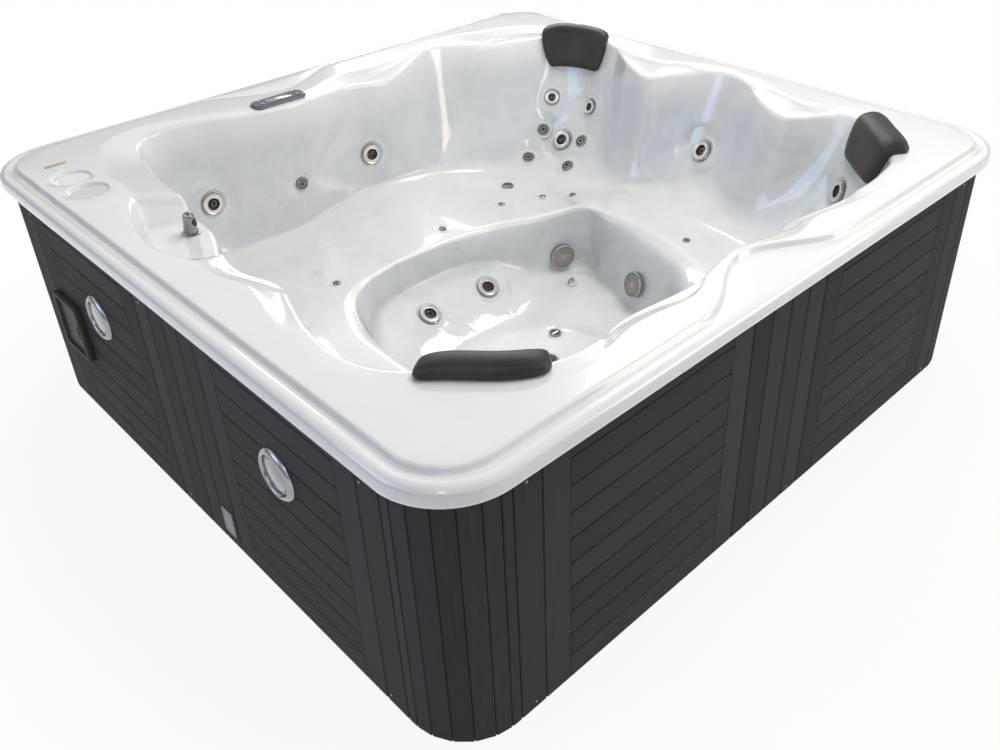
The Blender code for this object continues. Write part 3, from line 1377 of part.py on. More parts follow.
def make_spout():
    """The leaning chrome spout in the alcove."""
    root = spout_root()
    lean = Vector((-0.35, -0.94, 0.0)) * SPOUT_LEAN
    foot = SPOUT_RADIUS * 1.3
    levels = ((-SPOUT_STEM, SPOUT_STEM_RADIUS, 0.0), (GAP, SPOUT_STEM_RADIUS, 0.0),
              (GAP, foot, 0.0), (SPOUT_HEIGHT * 0.06, foot, 0.0),
              (SPOUT_HEIGHT * 0.12, SPOUT_RADIUS, 0.02), (SPOUT_HEIGHT * 0.55, SPOUT_RADIUS * 0.9,
                                                          0.42),
              (SPOUT_HEIGHT * 0.86, SPOUT_TIP_RADIUS * 1.05, 0.86),
              (SPOUT_HEIGHT, SPOUT_TIP_RADIUS * 0.6, 1.0))
    points, faces = [], []
    facets = 12
    for height, radius, share in levels:
        centre = root + lean * share + Vector((0.0, 0.0, height))
        for step in range(facets):
            angle = math.tau * step / facets
            points.append(centre + Vector((math.cos(angle), math.sin(angle), 0.0)) * radius)
    for level in range(len(levels) - 1):
        for step in range(facets):
            after = (step + 1) % facets
            low, high = level * facets, (level + 1) * facets
            faces.append((low + step, low + after, high + after, high + step))
    faces.append(tuple(range(facets)))
    last = (len(levels) - 1) * facets
    faces.append(tuple(range(last, last + facets)))
    place("spout", tidy(mesh_of(points, faces)), chrome)


def make_left_face():
    """Lamps, service hatch and drain plate on the left face."""
    out = (-1.0, 0.0, 0.0)
    r, g = LAMP_RADIUS, LAMP_GLASS_RADIUS
    for index, sign in enumerate((-1.0, 1.0)):
        spot = (-CABINET_HALF_X, sign * LAMP_Y, LAMP_Z)
        ring = ((g + GAP, -LAMP_DEPTH), (g + GAP, LAMP_PROUD * 0.4), (g + LAMP_PROUD * 0.4,
                LAMP_PROUD), (r - LAMP_PROUD * 0.5, LAMP_PROUD * 0.8), (r, GAP * 2.0),
                (LAMP_HOLE_RADIUS - GAP * 2.0, GAP * 2.0), (LAMP_HOLE_RADIUS - GAP * 2.0,
                                                           -LAMP_DEPTH))
        place("lamp_ring_%d" % (index + 1), lathe(ring, ROUND_FACETS, spot, out), chrome)
        lens = ((0.0, -LAMP_DEPTH * 0.8), (g, -LAMP_DEPTH * 0.8), (g, LAMP_PROUD * 0.1),
                (g * 0.7, LAMP_PROUD * 0.5), (0.0, LAMP_PROUD * 0.7))
        place("lamp_lens_%d" % (index + 1), lathe(lens, ROUND_FACETS, spot, out), clear_lens)
    centre = Vector((-CABINET_HALF_X, HATCH_Y, HATCH_Z))
    make_hatch(centre)
    plate = centred_box((-CABINET_HALF_X - GAP - PLATE_THICKNESS / 2.0, PLATE_Y, PLATE_Z),
                        (PLATE_THICKNESS, PLATE_WIDTH, PLATE_HEIGHT))
    place("drain_cover_plate", plate, grey_plastic)


def make_hatch(centre):
    """A frame proud of the boards and the door that fills it, hinged at its far edge."""
    flange = box(centre + Vector((-HATCH_PROUD, -HATCH_WIDTH / 2.0, -HATCH_HEIGHT / 2.0)),
                 centre + Vector((-GAP, HATCH_WIDTH / 2.0, HATCH_HEIGHT / 2.0)))
    sleeve_half_y = (HATCH_WIDTH - HATCH_BORDER) / 2.0 - HATCH_CLEARANCE
    sleeve_half_z = (HATCH_HEIGHT - HATCH_BORDER) / 2.0 - HATCH_CLEARANCE
    sleeve = box(centre + Vector((-HATCH_PROUD * 0.5, -sleeve_half_y, -sleeve_half_z)),
                 centre + Vector((HATCH_BACK, sleeve_half_y, sleeve_half_z)))
    hole_half_y = HATCH_WIDTH / 2.0 - HATCH_BORDER
    hole_half_z = HATCH_HEIGHT / 2.0 - HATCH_BORDER
    hole = box(centre + Vector((-HATCH_PROUD * 2.0, -hole_half_y, -hole_half_z)),
               centre + Vector((HATCH_BACK * 2.0, hole_half_y, hole_half_z)))
    frame = boolean(boolean(flange, sleeve, "UNION"), hole, "DIFFERENCE")
    place("hatch_frame", frame, black_plastic)
    door_half_y = hole_half_y - HATCH_CLEARANCE
    door_half_z = hole_half_z - HATCH_CLEARANCE
    face = -HATCH_PROUD * 0.55
    door = box(centre + Vector((face, -door_half_y, -door_half_z)),
               centre + Vector((face + HATCH_DOOR_THICKNESS, door_half_y, door_half_z)))
    pull_y = -door_half_y + HATCH_PULL_WIDTH * 1.4
    pull = box(centre + Vector((face - HATCH_PULL_HEIGHT, pull_y - HATCH_PULL_WIDTH / 2.0,
                                -HATCH_PULL_LENGTH / 2.0)),
               centre + Vector((face + HATCH_PULL_HEIGHT / 2.0, pull_y + HATCH_PULL_WIDTH / 2.0,
                                HATCH_PULL_LENGTH / 2.0)))
    pivot = centre + Vector((face, door_half_y, 0.0))
    place("hatch_door", boolean(door, pull, "UNION"), board, pivot)


def make_trim():
    """The plain metal bar on the deck, beside the cup holders."""
    bar = centred_box((BAR_X, BAR_Y, DECK_HEIGHT + GAP + BAR_HEIGHT / 2.0),
                      (BAR_LENGTH, BAR_WIDTH, BAR_HEIGHT))
    place("trim_bar", bar, brass)


def make_plug():
    """Floor drain plug with a wire bail."""
    spot, _ = SHELL.bed_point(PLUG_X * 2.0 / TUB_LENGTH, PLUG_Y * 2.0 / TUB_WIDTH)
    spot = spot + Vector((0.0, 0.0, PLUG_REST))
    r = PLUG_RADIUS
    profile = ((0.0, -PLUG_HEIGHT * 2.0), (r * 0.6, -PLUG_HEIGHT * 2.0), (r * 0.6, 0.0), (r, 0.0),
               (r, PLUG_HEIGHT * 0.5), (r * 0.8, PLUG_HEIGHT), (0.0, PLUG_HEIGHT))
    disc = lathe(profile, 16, spot, (0, 0, 1))
    path = []
    for step in range(9):
        angle = math.pi * step / 8.0
        path.append(spot + Vector((BAIL_RADIUS * math.cos(angle), 0.0,
                                   PLUG_HEIGHT * 0.7 + BAIL_RADIUS * 1.3 * math.sin(angle))))
    bail = tube(path, BAIL_WIRE, 6)
    place("drain_plug", boolean(disc, bail, "UNION"), steel, spot)


def pump(x, y, scale):
    """A close-coupled pump lying along Y: volute, motor and foot."""
    spot = Vector((x, y, PUMP_Z))
    front = -PUMP_LENGTH / 2.0
    volute_end = front + VOLUTE_LENGTH * scale
    end = front + PUMP_LENGTH * (0.35 + 0.65 * scale)
    v, m = VOLUTE_RADIUS * scale, PUMP_RADIUS * scale
    profile = ((0.0, front), (v * 0.45, front), (v * 0.45, front + VOLUTE_LENGTH * scale * 0.3),
               (v, front + VOLUTE_LENGTH * scale * 0.45), (v, volute_end), (m, volute_end),
               (m, end - m * 0.25), (m * 0.8, end), (0.0, end))
    body = lathe(profile, 16, spot, (0, 1, 0))
    foot = box((x - FOOT_WIDTH / 2.0, y + front + VOLUTE_LENGTH * scale * 1.2,
                TRAY_THICKNESS + FOOT_CLEARANCE),
               (x + FOOT_WIDTH / 2.0, y + end - m * 0.4, PUMP_Z - m * 0.6))
    return boolean(body, foot, "UNION")


def make_equipment():
    """Pumps, heater, control box and blower under the seats."""
    place("massage_pump", pump(PUMP_X, PUMP_Y, 1.0), painted)
    place("circulation_pump", pump(PUMP_X, SMALL_PUMP_Y, SMALL_PUMP_SHARE), painted)
    half = HEATER_LENGTH / 2.0
    inner = half - HEATER_FLANGE_LENGTH
    profile = ((0.0, -half), (HEATER_FLANGE, -half), (HEATER_FLANGE, -inner),
               (HEATER_RADIUS, -inner), (HEATER_RADIUS, inner), (HEATER_FLANGE, inner),
               (HEATER_FLANGE, half), (0.0, half))
    tube_body = lathe(profile, 16, (HEATER_X, HEATER_Y, HEATER_Z), (1, 0, 0))
    feet = []
    for sign in (-1.0, 1.0):
        x = HEATER_X + sign * inner * 0.7
        feet.append(box((x - HEATER_FLANGE_LENGTH / 2.0, HEATER_Y - HEATER_RADIUS,
                         TRAY_THICKNESS + FOOT_CLEARANCE),
                        (x + HEATER_FLANGE_LENGTH / 2.0, HEATER_Y + HEATER_RADIUS,
                         HEATER_Z - HEATER_RADIUS * 0.5)))
    place("heater", united([tube_body] + feet), brushed)
    case = centred_box((BOX_X, BOX_Y, BOX_Z), (BOX_LENGTH, BOX_DEPTH, BOX_HEIGHT))
    lid = centred_box((BOX_X, BOX_Y + BOX_DEPTH / 2.0, BOX_Z),
                      (BOX_LENGTH - BOX_LID * 2.0, BOX_LID * 2.0, BOX_HEIGHT - BOX_LID * 2.0))
    place("control_box", boolean(case, lid, "UNION"), grey_plastic)
    neck = SUCTION_RADIUS
    low = TRAY_THICKNESS + FOOT_CLEARANCE
    high = TRAY_THICKNESS + BLOWER_HEIGHT
    profile = ((0.0, low), (BLOWER_RADIUS, low), (BLOWER_RADIUS, high - BLOWER_RADIUS * 0.3),
               (BLOWER_RADIUS * 0.7, high), (neck, high), (neck, high + BLOWER_NECK),
               (0.0, high + BLOWER_NECK))
    place("air_blower", lathe(profile, 16, (BLOWER_X, BLOWER_Y, 0.0), (0, 0, 1)), black_plastic)


def build():
    """Make every piece."""
    clear_scene()
    parts = fittings()
    make_base()
    make_frame()
    make_cabinet()
    make_shell(parts)
    make_water(parts)
    make_air(parts)
    make_suction()
    make_jets(parts)
    make_pillows()
    make_controls()
    make_spout()
    make_left_face()
    make_trim()
    make_plug()
    make_equipment()


build()
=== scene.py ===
"""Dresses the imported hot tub: moulded shell, boarded cabinet, jets, cushions, controls."""

import json
import logging
import math
from dataclasses import dataclass, field
from enum import Enum
from typing import Any, Callable, Dict, List, Optional, Sequence, Tuple

import bmesh
import bpy
import numpy as np
from mathutils import Matrix, Vector

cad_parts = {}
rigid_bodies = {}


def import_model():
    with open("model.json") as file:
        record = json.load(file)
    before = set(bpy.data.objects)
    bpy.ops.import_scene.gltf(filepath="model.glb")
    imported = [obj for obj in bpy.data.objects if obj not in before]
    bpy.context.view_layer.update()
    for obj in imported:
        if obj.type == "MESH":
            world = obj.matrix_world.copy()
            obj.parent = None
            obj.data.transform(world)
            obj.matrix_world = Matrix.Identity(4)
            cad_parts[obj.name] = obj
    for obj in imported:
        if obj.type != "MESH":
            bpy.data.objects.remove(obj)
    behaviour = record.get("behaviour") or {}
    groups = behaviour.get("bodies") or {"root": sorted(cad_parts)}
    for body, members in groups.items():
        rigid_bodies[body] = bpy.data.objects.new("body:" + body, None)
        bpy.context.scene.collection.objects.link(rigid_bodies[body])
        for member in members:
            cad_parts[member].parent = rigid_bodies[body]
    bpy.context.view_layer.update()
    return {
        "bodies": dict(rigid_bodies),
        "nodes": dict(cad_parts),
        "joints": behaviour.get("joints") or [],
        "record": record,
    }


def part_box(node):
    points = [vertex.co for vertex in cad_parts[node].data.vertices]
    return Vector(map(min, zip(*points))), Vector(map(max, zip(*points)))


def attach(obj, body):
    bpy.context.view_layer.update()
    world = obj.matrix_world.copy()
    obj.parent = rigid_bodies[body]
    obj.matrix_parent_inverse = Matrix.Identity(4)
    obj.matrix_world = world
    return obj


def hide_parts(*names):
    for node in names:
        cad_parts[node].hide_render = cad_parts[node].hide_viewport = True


LOG = logging.getLogger("hot_tub")
Colour = Tuple[float, float, float]
Pair = Tuple[float, float]
Spot = Tuple[float, float, float]
Layer = Tuple[float, float, float, float]
Point = Sequence[float]
UP = Vector((0.0, 0.0, 1.0))
RIGHT = (1.0, 0.0, 0.0)
LEFT = (-1.0, 0.0, 0.0)
BACK = (0.0, 1.0, 0.0)

# sizes that several pieces share, in metres
SHELL_HALF: Pair = (1.10, 1.05)
CABINET_HALF: Pair = (1.074, 1.024)
DECK = 0.755
POLE: Pair = (0.0, -0.105)
HATCH_AT: Pair = (0.682, 0.328)
LAMPS_Y: Pair = (-0.450, 0.450)
LAMP_HEIGHT = 0.457
# head cushions: name, turn round the pole, share of the full flap, stand-off
CUSHIONS = (("near", 0.6175, 1.0, 0.84), ("right", 0.8930, 0.92, 0.30),
            ("far", 0.0995, 0.92, 0.36))


# ---- node trees
class Signal:
    """One output socket of a node tree; plain operators add Math nodes to it."""

    def __init__(self, tree: "NodeTree", socket: Any) -> None:
        """Keep the socket and the tree it belongs to."""
        self.tree = tree
        self.socket = socket

    def maths(self, operation: str, *others: Any, swap: bool = False) -> "Signal":
        """Run a Math node on this value.

        Args:
            operation: the Math node's operation.
            others: further inputs, numbers or signals.
            swap: put the first other input before this value.

        Returns:
            The result as a signal.
        """
        values = [self, *others]
        if swap:
            values = [values[1], values[0], *values[2:]]
        return self.tree.node("ShaderNodeMath", {"operation": operation},
                              dict(enumerate(values)))

    def __add__(self, other: Any) -> "Signal":
        """Sum."""
        return self.maths("ADD", other)

    def __radd__(self, other: Any) -> "Signal":
        """Sum, from the right."""
        return self.maths("ADD", other)

    def __sub__(self, other: Any) -> "Signal":
        """Difference."""
        return self.maths("SUBTRACT", other)

    def __rsub__(self, other: Any) -> "Signal":
        """Difference, from the right."""
        return self.maths("SUBTRACT", other, swap=True)

    def __mul__(self, other: Any) -> "Signal":
        """Product."""
        return self.maths("MULTIPLY", other)

    def __rmul__(self, other: Any) -> "Signal":
        """Product, from the right."""
        return self.maths("MULTIPLY", other)

    def __truediv__(self, other: Any) -> "Signal":
        """Quotient."""
        return self.maths("DIVIDE", other)

    def __pow__(self, other: Any) -> "Signal":
        """Power."""
        return self.maths("POWER", other)

    def highest(self, other: Any) -> "Signal":
        """The larger of two values."""
        return self.maths("MAXIMUM", other)

    def ramp(self, low: float, high: float, start: float = 0.0, end: float = 1.0) -> "Signal":
        """Map a range of this value smoothly to another range.

        Args:
            low: value that gives start.
            high: value that gives end.
            start: result at low.
            end: result at high.

        Returns:
            The mapped value.
        """
        return self.tree.node("ShaderNodeMapRange", {"interpolation_type": "SMOOTHSTEP"},
                              {0: self, 1: low, 2: high, 3: start, 4: end})


class NodeTree:
    """A node tree of any kind, built up in words."""

    def __init__(self, tree: bpy.types.NodeTree) -> None:
        """Start from an emptied tree."""
        self.tree = tree
        tree.nodes.clear()

    def node(self, kind: str, settings: Optional[Dict[str, Any]] = None,
             inputs: Optional[Dict[Any, Any]] = None, output: Any = 0) -> Signal:
        """Add one node.

        Args:
            kind: the node's type.
            settings: its settings, set before its sockets; "stops" fills a colour ramp.
            inputs: values or signals by socket number or name; a colour needs no alpha.
            output: the output socket that is wanted.

        Returns:
            The output as a signal.
        """
        made = self.tree.nodes.new(kind)
        for key, value in (settings or {}).items():
            if key == "stops":
                ramp = made.color_ramp.elements
                while len(ramp) < len(value):
                    ramp.new(0.5)
                for element, (where, colour) in zip(ramp, value):
                    element.position = where
                    element.color = (*colour, 1.0)
            else:
                setattr(made, key, value)
        for key, value in (inputs or {}).items():
            socket = made.inputs[key]
            if isinstance(value, Signal):
                self.tree.links.new(value.socket, socket)
            elif socket.type == "RGBA":
                socket.default_value = (*value[:3], 1.0)
            else:
                socket.default_value = value
        return Signal(self, made.outputs[output])

    def axis(self, vector: Signal, name: str) -> Signal:
        """One part, X, Y or Z, of a vector."""
        return self.node("ShaderNodeSeparateXYZ", {}, {0: vector}, output=name)

    def end(self, kind: str, result: Signal) -> None:
        """Link a result to the first socket of a new output node."""
        self.tree.links.new(result.socket, self.tree.nodes.new(kind).inputs[0])


class ShaderTree(NodeTree):
    """A material's node tree."""

    def __init__(self, name: str) -> None:
        """Start an empty material of that name."""
        self.material = bpy.data.materials.new(name + "_look")
        self.material.use_nodes = True
        super().__init__(self.material.node_tree)
        self._place: Optional[Signal] = None

    def place(self) -> Signal:
        """Object coordinates, in metres."""
        if self._place is None:
            self._place = self.node("ShaderNodeTexCoord", output="Object")
        return self._place

    def spread(self, vector: Signal, scale: Point, turn: Point = (0.0, 0.0, 0.0)) -> Signal:
        """Stretch and turn coordinates with a Mapping node."""
        return self.node("ShaderNodeMapping", {}, {"Vector": vector, "Scale": tuple(scale),
                                                    "Rotation": tuple(turn)})

    def noise(self, vector: Signal, scale: float, detail: float = 3.0,
              rough: float = 0.5, distortion: float = 0.0) -> Signal:
        """Noise texture as a value."""
        return self.node("ShaderNodeTexNoise", {}, {
            "Vector": vector, "Scale": scale, "Detail": detail, "Roughness": rough,
            "Distortion": distortion})

    def cells(self, vector: Signal, scale: float) -> Signal:
        """Voronoi distance."""
        return self.node("ShaderNodeTexVoronoi", {}, {"Vector": vector, "Scale": scale},
                         output="Distance")

    def mix(self, factor: Any, first: Any, second: Any) -> Signal:
        """Mix two colours."""
        return self.node("ShaderNodeMix", {"data_type": "RGBA"}, {0: factor, 6: first, 7: second},
                         output=2)

    def bump(self, height: Signal, distance: float, strength: float) -> Signal:
        """Bump from a height times distance, in metres."""
        return self.node("ShaderNodeBump", {}, {"Height": height, "Distance": distance,
                                                "Strength": strength})

    def surface(self, **sockets: Any) -> bpy.types.Material:
        """Finish with a Principled shader.

        Args:
            sockets: Principled inputs, underscores for spaces.

        Returns:
            The finished material.
        """
        inputs = {key.replace("_", " "): value for key, value in sockets.items()}
        self.end("ShaderNodeOutputMaterial", self.node("ShaderNodeBsdfPrincipled", {}, inputs))
        return self.material


# ---- finishes
@dataclass(frozen=True)
class Acrylic:
    """Glossy cast acrylic with a faint pearl marbling; its steep walls below the deck get a
    painted blue-grey shade.
    """

    name: str = "pearl_acrylic"
    pale: Colour = (0.835, 0.822, 0.803)
    # blue-grey used as painted shade on the walls and as a faint random mottle
    painted_shade_and_mottle: Colour = (0.50, 0.545, 0.575)
    vein_scale: float = 2.6

    def make(self) -> bpy.types.Material:
        """Build the material."""
        tree = ShaderTree(self.name)
        place = tree.place()
        warp = tree.noise(place, 1.7, 2.0)
        flow = tree.node("ShaderNodeVectorMath", {"operation": "ADD"},
                         {0: tree.spread(place, (1.0, 1.3, 0.8), (0.5, 0.6, 0.3)),
                          1: tree.node("ShaderNodeTexNoise", {}, {"Vector": place, "Scale": 2.1},
                                       output="Color")})
        vein = tree.noise(flow, self.vein_scale, 6.0, 0.62, 0.8)
        streak = (vein - 0.5).maths("ABSOLUTE").ramp(0.0, 0.075, 1.0, 0.0)
        depth = tree.axis(place, "Z").ramp(0.60, 0.752, 1.0, 0.0)
        cloud = tree.noise(flow, 5.5, 4.0, 0.6).ramp(0.42, 0.66)
        steep = tree.node("ShaderNodeAttribute", {"attribute_name": "steep"}, output="Fac")
        # painted shade: steep faces below the deck are mixed towards the blue-grey tone, more so
        # the lower they lie
        body = tree.mix(depth * (steep * 0.54 + 0.01) + cloud * (depth * 0.09 + 0.05),
                        self.pale, self.painted_shade_and_mottle)
        lit = tree.mix(streak * (depth * 0.10 + 0.03), body, (0.88, 0.90, 0.91))
        shade = tree.mix(warp.ramp(0.40, 0.72) * 0.08, lit, self.painted_shade_and_mottle)
        fine = tree.noise(place, 260.0, 2.0)
        ripple = tree.noise(place, 7.0, 2.0)
        bump = tree.bump(fine * 0.10 + ripple, 0.0009, 0.55)
        return tree.surface(Base_Color=shade, Roughness=cloud * 0.05 + 0.16, Normal=bump,
                            Coat_Weight=1.0, Coat_Roughness=0.015, IOR=1.49)


@dataclass(frozen=True)
class Board:
    """Matt wood-look board; grain runs along the board in its own map."""

    name: str = "cabinet_board"
    dark: Colour = (0.0245, 0.0255, 0.027)
    light: Colour = (0.074, 0.0755, 0.078)

    def make(self) -> bpy.types.Material:
        """Build the material."""
        tree = ShaderTree(self.name)
        grain = tree.node("ShaderNodeUVMap", {"uv_map": "UVMap"})
        shade = tree.node("ShaderNodeAttribute", {"attribute_name": "board_shade"}, output="Fac")
        long = tree.spread(grain, (1.6, 60.0, 1.0))
        fibre = tree.noise(long, 3.2, 6.0, 0.66, 0.3)
        pore = tree.noise(tree.spread(grain, (9.0, 420.0, 1.0)), 2.0, 3.0, 0.6)
        broad = tree.noise(tree.spread(grain, (0.7, 7.0, 1.0)), 2.0, 3.0, 0.5)
        amount = (fibre.ramp(0.36, 0.66) * 0.17 + broad * 0.14 + pore.ramp(0.45, 0.75) * 0.09
                  + shade * 0.46)
        colour = tree.mix(amount, self.dark, self.light)
        relief = fibre * 0.7 + pore * 0.5
        return tree.surface(Base_Color=colour, Roughness=fibre * 0.12 + 0.58,
                            Normal=tree.bump(relief, 0.0008, 0.8),
                            Specular_IOR_Level=0.08)


@dataclass(frozen=True)
class FoamSkin:
    """Charcoal integral-skin foam with a fine leather-like grain."""

    name: str = "cushion_skin"
    tone: Colour = (0.021, 0.0195, 0.0185)
    worn: Colour = (0.050, 0.046, 0.043)

    def make(self) -> bpy.types.Material:
        """Build the material."""
        tree = ShaderTree(self.name)
        place = tree.place()
        pebble = tree.cells(place, 620.0)
        soft = tree.noise(place, 14.0, 3.0)
        fine = tree.noise(place, 900.0, 2.0)
        colour = tree.mix(soft.ramp(0.36, 0.70) * 0.42 + pebble * 0.10, self.tone, self.worn)
        return tree.surface(Base_Color=colour, Roughness=soft * 0.12 + 0.34,
                            Normal=tree.bump(pebble * 0.8 + fine * 0.4, 0.0004, 0.5),
                            Specular_IOR_Level=0.42)


@dataclass(frozen=True)
class Metal:
    """A metal with brushing, smears and age spots, each as strong as asked."""

    name: str = "bright_chrome"
    tone: Colour = (0.54, 0.535, 0.52)
    rough: float = 0.06
    brushed: float = 0.0
    speckle: float = 0.0
    metallic: float = 1.0
    stretch: Spot = (30.0, 30.0, 600.0)

    def make(self) -> bpy.types.Material:
        """Build the material."""
        tree = ShaderTree(self.name)
        place = tree.place()
        lines = tree.noise(tree.spread(place, self.stretch), 1.0, 3.0, 0.6)
        smear = tree.noise(place, 32.0, 3.0)
        spots = tree.cells(place, 310.0).ramp(0.10, 0.34, 1.0, 0.0)
        darker = tuple(part * 0.55 for part in self.tone)
        factor = (lines * (0.35 * self.brushed) + smear.ramp(0.45, 0.75) * 0.12
                  + spots * (0.6 * self.speckle))
        colour = tree.mix(factor, self.tone, darker)
        rough = (lines * (0.22 * self.brushed) + smear * 0.04 + spots * (0.2 * self.speckle)
                 + self.rough)
        height = lines * self.brushed + spots * (0.7 * self.speckle) + smear * 0.05
        return tree.surface(Base_Color=colour, Roughness=rough, Metallic=self.metallic,
                            Normal=tree.bump(height, 0.00035, 0.5))


@dataclass(frozen=True)
class Plastic:
    """Moulded plastic with a fine texture and slight flow marks."""

    name: str = "black_plastic"
    tone: Colour = (0.020, 0.021, 0.023)
    rough: float = 0.38
    grain: float = 520.0
    depth: float = 0.0004
    coat: float = 0.0
    lift: float = 1.5

    def make(self) -> bpy.types.Material:
        """Build the material."""
        tree = ShaderTree(self.name)
        place = tree.place()
        fine = tree.noise(place, self.grain, 2.0, 0.6)
        cloud = tree.noise(place, 9.0, 4.0, 0.55)
        pale = tuple(min(part * self.lift, 1.0) for part in self.tone)
        colour = tree.mix(cloud.ramp(0.38, 0.70) * 0.5 + fine * 0.14, self.tone, pale)
        return tree.surface(Base_Color=colour, Roughness=cloud * 0.10 + self.rough - 0.05,
                            Normal=tree.bump(fine, self.depth, 0.6), Coat_Weight=self.coat)


@dataclass(frozen=True)
class ClearLens:
    """Clear moulded lens: slightly clouded transparent plastic."""

    name: str = "clear_lens"
    tone: Colour = (0.82, 0.85, 0.88)

    def make(self) -> bpy.types.Material:
        """Build the material."""
        tree = ShaderTree(self.name)
        place = tree.place()
        cloud = tree.noise(place, 22.0, 2.0)
        colour = tree.mix(cloud * 0.25, self.tone, (0.70, 0.76, 0.80))
        return tree.surface(Base_Color=colour, Roughness=cloud * 0.03 + 0.04, IOR=1.46,
                            Transmission_Weight=0.82, Coat_Weight=1.0,
                            Normal=tree.bump(cloud, 0.0004, 0.4))


@dataclass(frozen=True)
class GlassWindow:
    """Blue-grey display glass with a dim red glow at its left third."""

    name: str = "display_glass"
    centre: Pair = (-0.235, 0.806)

    def make(self) -> bpy.types.Material:
        """Build the material."""
        tree = ShaderTree(self.name)
        place = tree.place()
        across = tree.axis(place, "X") - self.centre[0]
        along = tree.axis(place, "Y") - self.centre[1]
        spot = ((across + 0.020) ** 2.0 * 2600.0 + along ** 2.0 * 9000.0).ramp(0.0, 1.0, 1.0, 0.0)
        cloud = tree.noise(place, 60.0, 3.0)
        base = tree.mix(cloud * 0.4, (0.20, 0.26, 0.31), (0.34, 0.41, 0.46))
        colour = tree.mix(spot * 0.85, base, (0.36, 0.06, 0.05))
        return tree.surface(Base_Color=colour, Roughness=cloud * 0.04 + 0.07, Coat_Weight=0.8,
                            Emission_Color=tree.mix(spot, (0.0, 0.0, 0.0), (0.5, 0.05, 0.03)),
                            Emission_Strength=0.25)


@dataclass(frozen=True)
class Timber:
    """Sawn softwood of the support frame."""

    name: str = "frame_timber"

    def make(self) -> bpy.types.Material:
        """Build the material."""
        tree = ShaderTree(self.name)
        place = tree.place()
        grain = tree.noise(tree.spread(place, (22.0, 22.0, 3.0)), 2.4, 6.0, 0.6, 0.6)
        knots = tree.cells(tree.spread(place, (5.0, 5.0, 1.4)), 1.0).ramp(0.05, 0.22, 1.0, 0.0)
        colour = tree.mix(grain.ramp(0.32, 0.68), (0.46, 0.33, 0.19), (0.27, 0.17, 0.085))
        dark = tree.mix(knots * 0.7, colour, (0.13, 0.07, 0.03))
        return tree.surface(Base_Color=dark, Roughness=grain * 0.12 + 0.66,
                            Normal=tree.bump(grain, 0.0012, 0.7))


class Finish(Enum):
    """Every finish on the tub, by what it is used for."""

    SHELL = Acrylic()
    BOARD = Board()
    FOAM = FoamSkin()
    CHROME = Metal()
    SPOUT = Metal("spout_chrome", (0.36, 0.355, 0.345), 0.07, 0.2)
    FACE = Metal("jet_face_metal", (0.84, 0.82, 0.77), 0.20, 0.6, 0.0, 0.85)
    STEEL = Metal("jet_steel", (0.27, 0.26, 0.245), 0.16, 0.4)
    DRUM = Metal("drum_steel", (0.52, 0.50, 0.46), 0.26, 0.8, 0.8)
    # dark metal painted into holes, slots, grooves and recesses as their shade
    DARK_METAL = Metal("nozzle_shadow", (0.045, 0.042, 0.040), 0.42, 0.3, 0.2, 0.35)
    LAMP_RING = Metal("lamp_chrome", (0.36, 0.37, 0.40), 0.14, 0.5)
    BRASS = Metal("trim_brass", (0.74, 0.62, 0.38), 0.22, 0.4)
    HEATER = Metal("heater_steel", (0.55, 0.56, 0.57), 0.30, 0.5)
    LENS = ClearLens()
    GLASS = GlassWindow()
    TIMBER = Timber()
    BLACK = Plastic()
    HATCH = Plastic("hatch_plastic", (0.006, 0.0065, 0.007), 0.58)
    DOOR = Plastic("hatch_door", (0.032, 0.034, 0.030), 0.58, 380.0, 0.0005)
    GREY = Plastic("grey_plastic", (0.27, 0.28, 0.29), 0.46)
    NOZZLE = Plastic("nozzle_plastic", (0.075, 0.070, 0.062), 0.40, lift=1.9)
    PALE = Plastic("pale_plastic", (0.62, 0.61, 0.58), 0.35, lift=1.15)
    BEZEL = Plastic("control_bezel", (0.085, 0.096, 0.108), 0.26, coat=0.5)
    KEYPAD = Plastic("control_keys", (0.27, 0.31, 0.345), 0.30, coat=0.3)
    PIPE = Plastic("grey_pipe", (0.075, 0.076, 0.078), 0.42, 200.0, 0.0002)
    TRAY = Plastic("base_tray", (0.026, 0.027, 0.028), 0.52, 160.0, 0.0008)
    PAINT = Plastic("pump_paint", (0.055, 0.095, 0.155), 0.40, 260.0, 0.0005, 0.2)
    BOX = Plastic("box_plastic", (0.15, 0.155, 0.16), 0.45, 300.0)

    def get(self) -> bpy.types.Material:
        """The finish's material, made on its first use."""
        made = bpy.data.materials.get(self.value.name + "_look")
        return made if made is not None else self.value.make()


